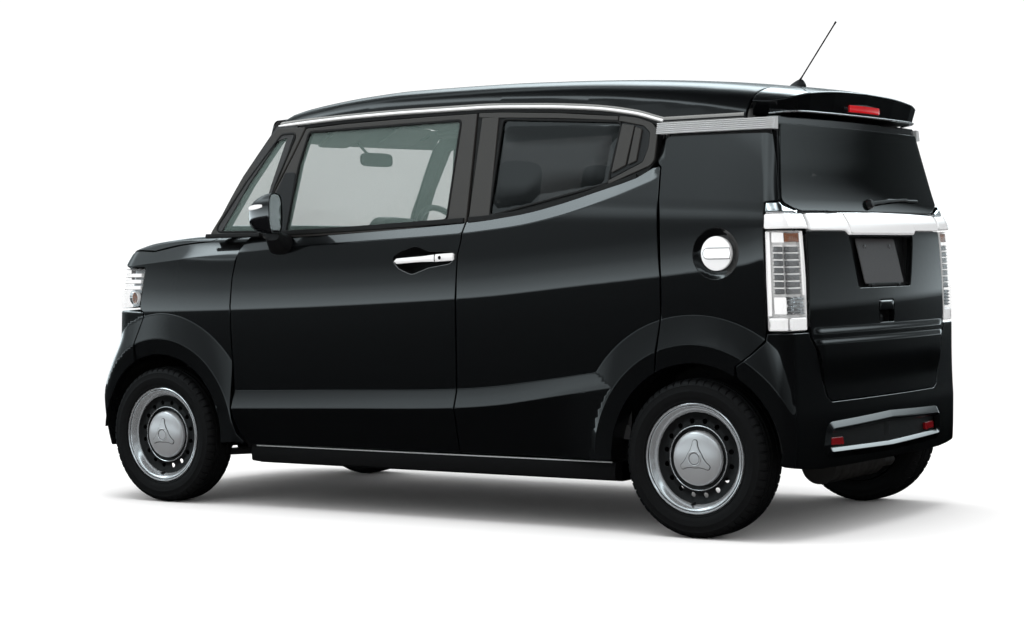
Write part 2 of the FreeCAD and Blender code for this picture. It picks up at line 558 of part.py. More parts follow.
seat_l, a, b = seat("seat_width", -230, 300, 430, 690, 16, "front_seat_frame_l")
seat_r, a, b = seat("seat_width", -230, -300, 430, 690, 16, "front_seat_frame_r")
heads = []
for yc in (300, -300):
    hr = block(-200 + a[0], -200 + a[0] + 110, yc - 130, yc + 130, 430 + a[1] + 30, 430 + a[1] + 215)
    st1 = block(-200 + a[0] + 45, -200 + a[0] + 60, yc - 70, yc + 70, 430 + a[1] - 60, 430 + a[1] + 40)
    base = block(-170, 220, yc - 200, yc + 200, 262, 435)
    src = seat_l if yc > 0 else seat_r
    heads.append(solids(src.Shape.fuse(hr).fuse(st1).fuse(base)))
feature("front_seats", Part.Compound(heads))
seat_b, a, b = seat("rear_seat_width", -1120, 0, 430, 600, 20, "rear_seat_frame")
rs = seat_b.Shape.fuse(block(-1000, -700, -480, 480, 262, 440))
for yc in (270, -270):
    rs = rs.fuse(block(-1090 + a[0] + 10, -1090 + a[0] + 90, yc - 120, yc + 120, 430 + a[1] + 16, 430 + a[1] + 165))
    rs = rs.fuse(block(-1090 + a[0] + 40, -1090 + a[0] + 55, yc - 60, yc + 60, 430 + a[1] - 40, 430 + a[1] + 30))
feature("rear_seat", solids(rs))


# ---------------------------------------------------------------- wheels
def revolved(tag, profile):
    """Body made by turning a closed profile (radius, width) about the axle."""
    body = doc.addObject("PartDesign::Body", tag)
    plane = [f for f in body.Origin.OriginFeatures if f.Role == "YZ_Plane"][0]
    sk = body.newObject("Sketcher::SketchObject", tag + "_profile")
    sk.AttachmentSupport = [(plane, "")]
    sk.MapMode = "FlatFace"
    for i in range(len(profile)):
        p, q = profile[i], profile[(i + 1) % len(profile)]
        sk.addGeometry(Part.LineSegment(V(p[1], p[0], 0), V(q[1], q[0], 0)), False)
    rev = body.newObject("PartDesign::Revolution", tag + "_turn")
    rev.Profile = sk
    rev.ReferenceAxis = (sk, ["H_Axis"])
    rev.Angle = 360
    doc.recompute()
    return body


TR, TW, RR, RW, RWALL = S("tyre_radius"), S("tyre_width"), S("rim_radius"), S("rim_width"), S("rim_wall")
h = TW / 2.0
tyre_prof = [(TR, -h + 30), (TR, h - 30), (TR - 6, h - 16), (TR - 20, h - 5), (TR - 42, h), (TR - 70, h - 4), (RR + 2, h - 13),
             (RR, h - 13), (RR, -h + 13), (RR + 2, -h + 13), (TR - 70, -h + 4), (TR - 42, -h), (TR - 20, -h + 5), (TR - 6, -h + 16)]
w = RW / 2.0 - 5
CR, DK, HB = S("cap_radius"), S("disc_thick"), S("hub_bore")
rim_prof = [(RR, -w), (RR, w), (RR - 8, w), (RR - RWALL - 14, w - 14), (RR - 22, w - 20), (CR + 12, w - 22), (CR, w - 30), (CR - 2, w - 14), (60, w - 4), (22, w),
            (22, w - 26), (HB, w - 26), (HB, w - 40), (CR, w - 40), (CR + 14, w - 32), (RR - 26, w - 30), (RR - 24, -w + 30), (RR - 12, -w + 10), (RR - 8, -w)]
rim_prof = [(RR, -w), (RR, w), (RR - 7, w), (RR - 16, w - 12), (RR - 22, w - 20), (CR + 10, w - 22), (CR, w - 26), (CR - 6, w - 12),
            (60, w - 4), (0.0, w), (0.0, w - 30), (CR, w - 40), (CR + 14, w - 32), (RR - 28, w - 30), (RR - 26, -w + 30), (RR - 12, -w + 12), (RR - 7, -w)]
tyre_master = revolved("tyre_master", tyre_prof)
rim_master = revolved("rim_master", rim_prof)
PLACES = {"front_left": (FX, HT), "front_right": (FX, -HT), "rear_left": (RX, HT), "rear_right": (RX, -HT)}
for key, (wx, wy) in PLACES.items():
    for master, name in ((tyre_master, "tyre_"), (rim_master, "wheel_")):
        shp = master.Shape.copy()
        if name == "wheel_":
            holes = None
            for k in range(16):
                ang = 2 * math.pi * (k + 0.5) / 16
                cxh, czh = 131 * math.cos(ang), 131 * math.sin(ang)
                hc = Part.makeCylinder(9, 40, V(cxh, w - 50, czh), V(0, 1, 0))
                holes = hc if holes is None else holes.fuse(hc)
            shp = shp.cut(holes)
        if wy < 0:
            shp = shp.mirror(V(0, 0, 0), V(0, 1, 0))
        feature(name + key, solids(shp), V(wx, wy, HZ))

# hub carriers with the damper tube on the steering axis
KY = S("kingpin_y")
for side, s in (("left", 1), ("right", -1)):
    hubc = cyl(FX, HZ, 52, min(s * 500, s * 560), max(s * 500, s * 560))
    stub = cyl(FX, HZ, 24, min(s * 540, s * 640), max(s * 540, s * 640))
    strut = Part.makeCylinder(20, 640 - 250, V(FX, s * 522, 250), V(0, 0, 1))
    lower = Part.makeCylinder(16, 60, V(FX, s * 536, 200), V(0, 0, 1))
    k = hubc.fuse(stub).fuse(strut).fuse(lower)
    feature("hub_carrier_" + side, solids(k))

# -------------------------------------------------------- steering wheel
tor = doc.addObject("Part::Torus", "steering_rim")
tor.setExpression("Radius1", "Sizes.steer_wheel_radius")
tor.setExpression("Radius2", "Sizes.steer_rim")
col = doc.addObject("Part::Cylinder", "steering_column")
col.Radius, col.Height = 26, 120
col.Placement.Base = V(0, 0, -120)
bar = doc.addObject("Part::Box", "steering_spoke")
bar.Length, bar.Width, bar.Height = 46, 356, 16
bar.Placement.Base = V(-23, -178, -22)
hubpad = doc.addObject("Part::Cylinder", "steering_hub")
hubpad.Radius, hubpad.Height = 62, 40
hubpad.Placement.Base = V(0, 0, -34)
sw = doc.addObject("Part::MultiFuse", "steering_assembly")
sw.Shapes = [tor, col, bar, hubpad]
doc.recompute()
STEER_POS, STEER_TILT = V(450, -300, 1050), 64.0
axis_dir = V(-math.sin(math.radians(STEER_TILT)), 0, math.cos(math.radians(STEER_TILT)))
sw.Placement = FreeCAD.Placement(STEER_POS + DATUM, FreeCAD.Rotation(V(0, 0, 1), axis_dir))
done(sw, "steering_wheel")

# ------------------------------------------------------------- antenna
abase = doc.addObject("Part::Cone", "antenna_base")
abase.Radius1, abase.Radius2, abase.Height = 30, 9, 34
mast = doc.addObject("Part::Cylinder", "antenna_mast")
mast.setExpression("Radius", "Sizes.mast_radius")
mast.setExpression("Height", "Sizes.mast_length")
mast.Placement = FreeCAD.Placement(V(0, 0, 22), FreeCAD.Rotation(V(0, 1, 0), -36))
ant = doc.addObject("Part::Fuse", "antenna_full")
ant.Base, ant.Tool = abase, mast
doc.recompute()
ant.Placement = FreeCAD.Placement(V(-1392, 0, roof_z(-1392, 0) - 4) + DATUM, FreeCAD.Rotation())
done(ant, "antenna")

# ------------------------------------------------------- check and write
doc.recompute()
names = set()
for o in doc.Objects:
    bad = [q for q in o.State if q in ("Invalid", "Error")]
    if bad:
        raise RuntimeError("%s is %s" % (o.Label, bad))
for o in NODES:
    s = o.Shape
    if s.isNull() or not s.isValid() or not s.Solids:
        raise RuntimeError("bad shape in " + o.Label)
    if o.Label in names:
        raise RuntimeError("two nodes called " + o.Label)
    names.add(o.Label)
box = None
for o in NODES:
    s = o.Shape
    s.exportStep("parts/" + o.Label + ".step")
    b = s.BoundBox
    print("%-24s solids %d  vol %.4f m3  x %.0f..%.0f  y %.0f..%.0f  z %.0f..%.0f" % (
        o.Label, len(s.Solids), s.Volume / 1e9, b.XMin, b.XMax, b.YMin, b.YMax, b.ZMin, b.ZMax))
    if box is None:
        box = FreeCAD.BoundBox(b)
    else:
        box.add(b)
print("nodes", len(NODES), "box", box)
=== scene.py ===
import json
import math
import bpy
import bmesh
import numpy as np
from mathutils import Matrix, Vector
from mathutils.geometry import delaunay_2d_cdt

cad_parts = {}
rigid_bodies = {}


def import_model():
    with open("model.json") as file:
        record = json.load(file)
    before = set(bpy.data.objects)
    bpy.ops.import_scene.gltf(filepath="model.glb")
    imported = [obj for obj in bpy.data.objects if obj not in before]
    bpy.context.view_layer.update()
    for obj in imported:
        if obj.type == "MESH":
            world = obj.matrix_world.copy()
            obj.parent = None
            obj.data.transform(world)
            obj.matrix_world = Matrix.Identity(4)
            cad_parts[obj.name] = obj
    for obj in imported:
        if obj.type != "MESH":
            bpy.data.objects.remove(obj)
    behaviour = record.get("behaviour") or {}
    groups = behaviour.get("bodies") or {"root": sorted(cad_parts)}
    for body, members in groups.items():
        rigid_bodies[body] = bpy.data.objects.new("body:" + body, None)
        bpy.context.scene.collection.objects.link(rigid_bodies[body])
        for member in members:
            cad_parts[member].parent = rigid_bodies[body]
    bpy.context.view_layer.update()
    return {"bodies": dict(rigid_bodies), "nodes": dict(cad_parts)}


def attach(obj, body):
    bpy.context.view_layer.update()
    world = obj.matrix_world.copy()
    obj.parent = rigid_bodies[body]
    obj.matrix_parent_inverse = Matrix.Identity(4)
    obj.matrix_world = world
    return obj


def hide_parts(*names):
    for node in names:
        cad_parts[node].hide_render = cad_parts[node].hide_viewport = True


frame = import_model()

NODES = frame["nodes"]
DX = 47.5            # body stations are in mm behind this datum
FX, RX, HZ, HT = 1182.5, -1337.5, 278.5, 652.5

# ===================================================================== camera
scene = bpy.context.scene
CAM = Vector((-4.9530, 7.1487, 0.9678))
CF = Vector((0.56642, -0.82372, -0.02556)).normalized()
rt = CF.cross(Vector((0, 0, 1))).normalized()
up = rt.cross(CF)
cr, sr = math.cos(-0.01495), math.sin(-0.01495)
rt, up = cr * rt + sr * up, -sr * rt + cr * up
cd = bpy.data.cameras.new("camera")
cam = bpy.data.objects.new("camera", cd)
scene.collection.objects.link(cam)
m = Matrix.Identity(4)
for i in range(3):
    m[i][0], m[i][1], m[i][2], m[i][3] = rt[i], up[i], -CF[i], CAM[i]
cam.matrix_world = m
cd.sensor_width = 36.0
cd.lens = 36.0 * 2132.65 / 1024.0
cd.clip_start, cd.clip_end = 0.05, 200
scene.camera = cam
scene.view_settings.view_transform = "Standard"
scene.view_settings.look = "None"


# ================================================================= small tools
class Curve:
    """Smooth monotone curve through stations, straight beyond both ends."""

    def __init__(self, xs, ys):
        x, y = np.array(xs, float), np.array(ys, float)
        d = np.diff(y) / np.diff(x)
        m = np.zeros(len(x))
        m[0], m[-1] = d[0], d[-1]
        for k in range(1, len(x) - 1):
            m[k] = 0.0 if d[k - 1] * d[k] <= 0 else 2 * d[k - 1] * d[k] / (d[k - 1] + d[k])
        self.x, self.y, self.m, self.d = x, y, m, d

    def __call__(self, t):
        t = np.asarray(t, float)
        x, y, m = self.x, self.y, self.m
        k = np.clip(np.searchsorted(x, t) - 1, 0, len(x) - 2)
        w = x[k + 1] - x[k]
        u = (t - x[k]) / w
        v = ((2 * u**3 - 3 * u**2 + 1) * y[k] + (u**3 - 2 * u**2 + u) * w * m[k]
             + (-2 * u**3 + 3 * u**2) * y[k + 1] + (u**3 - u**2) * w * m[k + 1])
        v = np.where(u < 0, y[0] + (t - x[0]) * self.d[0], v)
        return np.where(u > 1, y[-1] + (t - x[-1]) * self.d[-1], v)


def smax(a, b, k):
    h = np.clip(0.5 + 0.5 * (a - b) / k, 0, 1)
    return b + (a - b) * h + k * h * (1 - h)


def smin(a, b, k):
    return -smax(-a, -b, k)


def W(p):
    """Body stations in mm -> row frame in metres."""
    p = np.asarray(p, float)
    q = p / 1000.0
    q[..., 0] += DX / 1000.0
    return q


# ============================================================== body surfaces
Z0 = Curve([-1750, -1615, -1535, -1210, -860, -439, 0, 400, 790, 1300, 1700],
           [1000, 984, 960, 914, 876, 833, 808, 791, 779, 766, 760])
_d = [-800, -600, -450, -300, -200, -100, 0, 50, 100, 150, 200, 260, 330, 600]
_s = [-0.10, -0.085, -0.06, -0.045, -0.034, -0.022, 0.004, 0.032, 0.062, 0.085, 0.105, 0.13, 0.15, 0.2]
_dd = np.linspace(-800, 600, 281)
_ss = np.interp(_dd, _d, _s)
_ff = np.concatenate([[0], np.cumsum((_ss[1:] + _ss[:-1]) / 2 * np.diff(_dd))])
_ff -= np.interp(0, _dd, _ff)
FALL = Curve(_dd, _ff)
CREASE = Curve([-1260, -1208, -1098, -938, -774, -607, -435, -361, 476, 650, 784, 989, 1160, 1290, 1500],
               [1296, 1275, 1232, 1176, 1132, 1102, 1085, 1079, 1042, 1031, 1022, 1009, 995, 985, 966])
BELT = Curve([-1260, -1166, -1084, -923, -759, -591, -418, -354, 501, 674, 764, 946, 1300],
             [1338, 1304, 1263, 1217, 1174, 1142, 1125, 1122, 1093, 1090, 1089, 1090, 1090])
STRIP = Curve([500, 700, 900, 1400], [0.56, 0.60, 0.85, 0.9])
B_TOP = Curve([-960, -800, -645, -500, -336, -149, 289, 765], [574, 551, 530, 512, 499, 491, 481, 469])
B_BOT = Curve([-1010, -820, -645, -525, -349, -163, 274, 769], [519, 490, 462, 445, 430, 422, 411, 398])
FLARE_T = 737.0


def frame_y(x, z):
    """Plane of the window frames and glass house."""
    return 684.5 - 0.2475 * (z - 1100) - np.where(x > 700, 45 * ((x - 850).clip(0) / 600) ** 2, 0)


def main_y(x, z):
    y = smin(722.5 - FALL(z - Z0(x)), 703 - 0.39 * (z - 1150), 14)
    y = y - 8 * (np.maximum(-1200 - x, 0) / 450) ** 2
    return y - 45 * (np.maximum(x - 850, 0) / 600) ** 2


def skin_y(x, z):
    zc = CREASE(x)
    ym = main_y(x, z)
    yc = main_y(x, zc) - np.where(x < 500, 0.56, STRIP(x)) * (z - zc)
    return ym + np.clip((x + 1180) / 30.0, 0, 1) * (smin(ym, yc, 1.0) - ym)


def ramp(t, k=0.02):
    return smin(np.ones_like(t), smax(np.zeros_like(t), t, k), k)


def lower_y(x, z, front=True, band=True):
    """Skin with the wheel flares and the band along the sill."""
    y0 = skin_y(x, z)
    y = y0
    if band:
        zt, zb = B_TOP(x), B_BOT(x)
        t = (zt - z) / (zt - zb)
        yb = y0 + ramp(t, 0.03) * (735 - y0)
        k_ = np.clip((-680 - x) / 230.0, 0, 1)
        yb = smin(yb, 735 - (0.22 - 0.18 * k_ * k_ * (3 - 2 * k_)) * (zb - z), 1.0)
        y = np.where((t > -0.2) & (x > RX) & (x < FX) & (np.hypot(x - RX, z - HZ) > 396), yb, y0)
    for xa, on in ((FX, front), (RX, True)):
        if not on:
            continue
        r = np.hypot(x - xa, z - HZ)
        top = FLARE_T - (60 * (np.maximum(x - 1240, 0) / 380) ** 2 if xa > 0 else 30 * (np.maximum(-1440 - x, 0) / 250) ** 2)
        top = top - 0.07 * np.maximum(397 - r, 0)
        yf = y0 + ramp((497 - r) / 100.0) * (top - y0)
        y = np.where(r < 505, np.maximum(y, yf), y)
    return y


REAR = Curve([150, 230, 330, 420, 475, 560, 720, 860, 1040, 1085, 1130, 1162, 1300, 1427, 1500, 1600, 1740],
             [-1722, -1738, -1744, -1745, -1743, -1741, -1739, -1736, -1725, -1716, -1693, -1682, -1653, -1629, -1616, -1602, -1584])


def rear_x(y, z):
    return REAR(z) + 40 * (y / 700.0) ** 2


FRONT = Curve([150, 230, 365, 500, 700, 900, 980, 1060, 1140], [1612, 1636, 1650, 1645, 1622, 1600, 1582, 1548, 1500])
BOW = Curve([150, 300, 450, 550, 680, 900, 1140], [110, 84, 72, 98, 140, 130, 130])


def front_x(y, z):
    return FRONT(z) - BOW(z) * (np.abs(y) / 650.0) ** 3


ROOF = Curve([-1720, -1620, -1553, -1449, -1332, -1210, -941, -750, -554, -353, -145, 69, 289, 517, 672, 776, 1000],
             [1552, 1571, 1583, 1597, 1612, 1625, 1647, 1657, 1664, 1669, 1670, 1669, 1658, 1635, 1608, 1577, 1500])
CROWN = Curve([0, 200, 420, 500, 545, 575, 600, 660], [0, 4, 20, 38, 60, 86, 116, 230])


def roof_z(x, y):
    return ROOF(x) - CROWN(np.abs(y))


BON = Curve([700, 1000, 1157, 1229, 1343, 1459, 1544, 1590, 1640, 1720], [1114, 1112, 1109, 1105, 1093, 1063, 1034, 1002, 930, 800])
BCR = Curve([0, 450, 600, 650, 690, 720, 760], [0, 12, 28, 44, 84, 130, 210])


def bonnet_z(x, y):
    return BON(x) - BCR(np.abs(y))


SCR = Curve([950, 1091, 1305, 1526, 1600, 1720], [1012, 933, 805, 648, 588, 480])


def screen_x(y, z):
    return SCR(z) + 92 * (1 - np.minimum(1.2, (np.abs(y) / 640.0) ** 2))


def g_side(P, off=0.0, fn=lower_y):
    return np.abs(P[..., 1]) - fn(P[..., 0], P[..., 2]) - off


def g_front(P, fn=lower_y):
    s = g_side(P, fn=fn)
    f = P[..., 0] - front_x(P[..., 1], P[..., 2])
    return smax(s, f, 60)


def g_fender(P):
    s = g_front(P)
    t = P[..., 2] - bonnet_z(P[..., 0], P[..., 1])
    return smax(s, t, 14)


def g_bonnet(P):
    t = P[..., 2] - bonnet_z(P[..., 0], P[..., 1])
    f = P[..., 0] - front_x(P[..., 1], P[..., 2])
    s = g_side(P)
    return smax(smax(t, f, 40), s, 14)


def g_rear(P, k=44):
    s = g_side(P)
    return smax(s, rear_x(P[..., 1], P[..., 2]) - P[..., 0], k)


def g_roof(P):
    t = P[..., 2] - roof_z(P[..., 0], P[..., 1])
    c = P[..., 0] - screen_x(P[..., 1], P[..., 2]) - 4
    return smax(t, c, 30)


# ================================================================ projections
class Proj:
    """Maps panel coordinates u, v to the first place where a ray meets g."""

    def __init__(self, g, kind, c=0.0, alpha=30.0):
        self.g, self.kind, self.c, self.a = g, kind, c, math.radians(alpha)

    def ray(self, u, v):
        u, v = np.asarray(u, float), np.asarray(v, float)
        o, z = np.ones_like(u), np.zeros_like(u)
        k = self.kind
        if k == "side":
            return np.stack([u, 860 * o, v], -1), np.stack([z, -o, z], -1)
        if k == "tilt":
            ca, sa = math.cos(self.a), math.sin(self.a)
            return (np.stack([u, -sa * v + 1700 * ca, ca * v + 1700 * sa], -1),
                    np.stack([z, -ca * o, -sa * o], -1))
        if k == "top":
            return np.stack([u, v, 2100 * o], -1), np.stack([z, z, -o], -1)
        if k == "rear":
            return np.stack([-2200 * o, u, v], -1), np.stack([o, z, z], -1)
        if k == "front":
            return np.stack([2200 * o, u, v], -1), np.stack([-o, z, z], -1)
        s = 1 if k == "wrapf" else -1
        th = u / 600.0
        d = np.stack([-s * np.cos(th), -np.sin(th), z], -1)
        base = np.stack([self.c * o, z, v], -1)
        return base - d * 1400, d

    def __call__(self, u, v):
        O, d = self.ray(u, v)
        lo, hi = np.zeros(len(O)), np.full(len(O), {"side": 620, "tilt": 1500, "top": 1500, "rear": 1500, "front": 1500}.get(self.kind, 1390))
        for _ in range(24):
            mid = (lo + hi) / 2
            out = self.g(O + d * mid[:, None]) > 0
            lo, hi = np.where(out, mid, lo), np.where(out, hi, mid)
        return O + d * ((lo + hi) / 2)[:, None]

    def normal(self, P, e=0.4):
        n = np.zeros_like(P)
        for k in range(3):
            q = P.copy(); q[:, k] += e
            w = P.copy(); w[:, k] -= e
            n[:, k] = self.g(q) - self.g(w)
        return n / np.maximum(np.linalg.norm(n, axis=1), 1e-9)[:, None]

    def uv(self, P):
        """Panel coordinates of body points."""
        P = np.atleast_2d(np.asarray(P, float))
        if self.kind == "side":
            return P[:, [0, 2]]
        if self.kind == "tilt":
            ca, sa = math.cos(self.a), math.sin(self.a)
            return np.stack([P[:, 0], -sa * P[:, 1] + ca * P[:, 2]], -1)
        if self.kind == "top":
            return P[:, [0, 1]]
        if self.kind in ("rear", "front"):
            return P[:, [1, 2]]
        s = 1 if self.kind == "wrapf" else -1
        return np.stack([600 * np.arctan2(P[:, 1], s * (P[:, 0] - self.c)), P[:, 2]], -1)


# ================================================================== mesh store
class Geo:
    """Triangles with their own corner normals and material numbers."""

    def __init__(self):
        self.V, self.T, self.N, self.M, self.n = [], [], [], [], 0

    def add(self, V, T, N=None, mi=0):
        V, T = np.asarray(V, float).reshape(-1, 3), np.asarray(T, int).reshape(-1, 3)
        if not len(T):
            return self
        a = V[T]
        fn = np.cross(a[:, 1] - a[:, 0], a[:, 2] - a[:, 0])
        ok = np.linalg.norm(fn, axis=1) > 1e-7
        T, fn = T[ok], fn[ok]
        if N is None:
            N = np.repeat((fn / np.linalg.norm(fn, axis=1)[:, None])[:, None, :], 3, 1)
        else:
            N = np.asarray(N, float)
            N = N[T] if N.ndim == 2 else N[ok]
        self.V.append(V); self.T.append(T + self.n); self.N.append(N)
        self.M.append(np.full(len(T), mi) if np.isscalar(mi) else np.asarray(mi)[ok])
        self.n += len(V)
        return self

    def smooth(self, V, T, mi=0, angle=40.0):
        """Adds triangles with corner normals averaged where faces meet softly."""
        V, T = np.asarray(V, float).reshape(-1, 3), np.asarray(T, int).reshape(-1, 3)
        a = V[T]
        fn = np.cross(a[:, 1] - a[:, 0], a[:, 2] - a[:, 0])
        L = np.linalg.norm(fn, axis=1)
        T, fn = T[L > 1e-7], fn[L > 1e-7]
        un = fn / np.linalg.norm(fn, axis=1)[:, None]
        lim = math.cos(math.radians(angle))
        order = np.argsort(T.ravel(), kind="stable")
        sv = T.ravel()[order]
        start = np.flatnonzero(np.r_[True, sv[1:] != sv[:-1]])
        cnt = np.diff(np.r_[start, len(sv)])
        rep, gs = np.repeat(cnt, cnt), np.repeat(start, cnt)
        A = np.repeat(np.arange(len(sv)), rep)
        B = np.repeat(gs, rep) + np.arange(len(A)) - np.repeat(np.cumsum(rep) - rep, rep)
        fa, fb = order[A] // 3, order[B] // 3
        near = np.einsum("ij,ij->i", un[fa], un[fb]) > lim
        A, fb = A[near], fb[near]
        acc = np.stack([np.bincount(A, weights=fn[fb, k], minlength=len(sv)) for k in range(3)], 1)
        N = np.zeros((len(T) * 3, 3))
        N[order] = acc / np.maximum(np.linalg.norm(acc, axis=1), 1e-9)[:, None]
        N = N.reshape(-1, 3, 3)
        return self.add(V, T, N, mi)

    def merged(self):
        return np.concatenate(self.V), np.concatenate(self.T), np.concatenate(self.N), np.concatenate(self.M)

    def mirror(self):
        V, T, N, M = self.merged()
        g = Geo()
        f = np.array([1, -1, 1])
        g.V, g.T, g.N, g.M, g.n = [V * f], [T[:, ::-1]], [(N * f)[:, ::-1]], [M], len(V)
        return g

    def join(self, o):
        V, T, N, M = o.merged()
        self.V.append(V); self.T.append(T + self.n); self.N.append(N); self.M.append(M); self.n += len(V)
        return self


PIECES = {}


def piece(name, geo, mats, body, replaces=(), world=False):
    V, T, N, M = geo.merged()
    me = bpy.data.meshes.new(name)
    me.vertices.add(len(V))
    me.vertices.foreach_set("co", (V if world else W(V)).astype(np.float32).ravel())
    me.loops.add(len(T) * 3)
    me.loops.foreach_set("vertex_index", T.astype(np.int32).ravel())
    me.polygons.add(len(T))
    me.polygons.foreach_set("loop_start", np.arange(0, len(T) * 3, 3, dtype=np.int32))
    me.polygons.foreach_set("loop_total", np.full(len(T), 3, np.int32))
    me.polygons.foreach_set("material_index", M.astype(np.int32))
    me.polygons.foreach_set("use_smooth", np.ones(len(T), bool))
    me.update(calc_edges=True)
    for q in (mats if isinstance(mats, (list, tuple)) else [mats]):
        me.materials.append(q)
    me.normals_split_custom_set(N.reshape(-1, 3).tolist())
    o = bpy.data.objects.new(name, me)
    scene.collection.objects.link(o)
    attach(o, body)
    if replaces:
        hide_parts(*replaces)
    PIECES[name] = o
    return o


# ============================================================ outline handling
def rounded(pts, r=8.0):
    """Closed polygon with its corners eased; a point may carry its own radius."""
    out = []
    n = len(pts)
    for i in range(n):
        a, b, c = (np.array(pts[j][:2], float) for j in (i - 1, i, (i + 1) % n))
        rr = pts[i][2] if len(pts[i]) > 2 else r
        d1, d2 = a - b, c - b
        l1, l2 = np.hypot(*d1), np.hypot(*d2)
        if rr <= 0 or l1 < 1e-6 or l2 < 1e-6:
            out.append(b); continue
        cosang = np.clip(d1 @ d2 / (l1 * l2), -1, 1)
        ang = math.acos(cosang)
        if ang > math.radians(179.5):
            out.append(b); continue
        t = min(rr / math.tan(ang / 2), 0.49 * l1, 0.49 * l2)
        p, q = b + d1 / l1 * t, b + d2 / l2 * t
        k = max(2, int((math.pi - ang) / math.radians(10)) + 1)
        for j in range(k + 1):
            s = j / k
            out.append((1 - s) ** 2 * p + 2 * s * (1 - s) * b + s * s * q)
    return np.array(out)


def densify(P, step):
    out = []
    for i in range(len(P)):
        a, b = P[i], P[(i + 1) % len(P)]
        L = np.hypot(*(b - a))
        if L < 1e-6:
            continue
        k = max(1, int(math.ceil(L / step)))
        for j in range(k):
            out.append(a + (b - a) * j / k)
    return np.array(out)


def area2(P):
    x, y = P[:, 0], P[:, 1]
    return float(np.sum(x * np.roll(y, -1) - np.roll(x, -1) * y))


def offset(P, d):
    """Moves a closed outline outwards by d."""
    P = np.asarray(P, float)
    s = 1.0 if area2(P) > 0 else -1.0
    a, c = np.roll(P, 1, 0), np.roll(P, -1, 0)
    e1, e2 = P - a, c - P
    e1 /= np.maximum(np.linalg.norm(e1, axis=1), 1e-9)[:, None]
    e2 /= np.maximum(np.linalg.norm(e2, axis=1), 1e-9)[:, None]
    n1 = np.stack([e1[:, 1], -e1[:, 0]], 1) * s
    n2 = np.stack([e2[:, 1], -e2[:, 0]], 1) * s
    k = np.maximum(1 + np.sum(n1 * n2, 1), 0.4)
    return P + d * (n1 + n2) / k[:, None]


def inside(Q, poly):
    x, y = Q[:, 0], Q[:, 1]
    r = np.zeros(len(Q), bool)
    n = len(poly)
    for i in range(n):
        x1, y1 = poly[i - 1]
        x2, y2 = poly[i]
        c = (y1 > y) != (y2 > y)
        if not c.any():
            continue
        xi = x1 + (y - y1) * (x2 - x1) / ((y2 - y1) if y2 != y1 else 1e-12)
        r ^= c & (x < xi)
    return r


def seg_dist(Q, poly, closed=True):
    best = np.full(len(Q), 1e9)
    n = len(poly)
    for i in range(n if closed else n - 1):
        a, b = poly[i], poly[(i + 1) % n]
        d = b - a
        L = d @ d
        t = np.clip(((Q - a) @ d) / max(L, 1e-12), 0, 1)
        best = np.minimum(best, np.linalg.norm(Q - (a + t[:, None] * d), axis=1))
    return best


def trimesh(loops, step, lines=()):
    """Triangles filling the first loop, less the others; grid points within."""
    O = loops[0]
    lo, hi = O.min(0), O.max(0)
    su, sv = step
    gu = np.arange(math.floor(lo[0] / su) * su, hi[0] + su, su)
    gv = np.arange(math.floor(lo[1] / sv) * sv, hi[1] + sv, sv)
    Q = np.stack(np.meshgrid(gu, gv, indexing="ij"), -1).reshape(-1, 2)
    near = 0.45 * min(su, sv)
    keep = inside(Q, O)
    for L in loops[1:]:
        keep &= ~inside(Q, L)
    Q = Q[keep]
    for L in loops:
        Q = Q[seg_dist(Q, L) > near]
    extra = []
    for ln in lines:
        ln = np.asarray(ln, float)
        k = inside(ln, O)
        for L in loops[1:]:
            k &= ~inside(ln, L)
        k2 = np.full(len(ln), 1e9)
        for L in loops:
            k2 = np.minimum(k2, seg_dist(ln, L))
        ln2 = ln[k & (k2 > 1.0)]
        if len(ln) > 1 and len(ln2):
            Q = Q[seg_dist(Q, ln, False) > 0.4 * sv]
            extra.append(ln2)
    pts = np.concatenate([*loops, *extra, Q]) if extra else np.concatenate([*loops, Q])
    edges, base = [], 0
    for L in loops:
        n = len(L)
        edges += [(base + i, base + (i + 1) % n) for i in range(n)]
        base += n
    res = delaunay_2d_cdt([Vector(p) for p in pts], edges, [], 0, 1e-4, True)
    vs = np.array([tuple(v) for v in res[0]])
    fs = np.array([tuple(f) for f in res[2] if len(f) == 3], int)
    cen = vs[fs].mean(1)
    keep = inside(cen, O)
    for L in loops[1:]:
        keep &= ~inside(cen, L)
    fs = fs[keep]
    a = vs[fs]
    ar = np.cross(a[:, 1] - a[:, 0], a[:, 2] - a[:, 0])
    fs[ar < 0] = fs[ar < 0][:, ::-1]
    # where each loop's points ended up
    first = {}
    for new, olds in enumerate(res[3]):
        for o in olds:
            first[o] = new
    rings, base = [], 0
    for L in loops:
        rings.append(np.array([first[base + i] for i in range(len(L))]))
        base += len(L)
    return vs, fs, rings


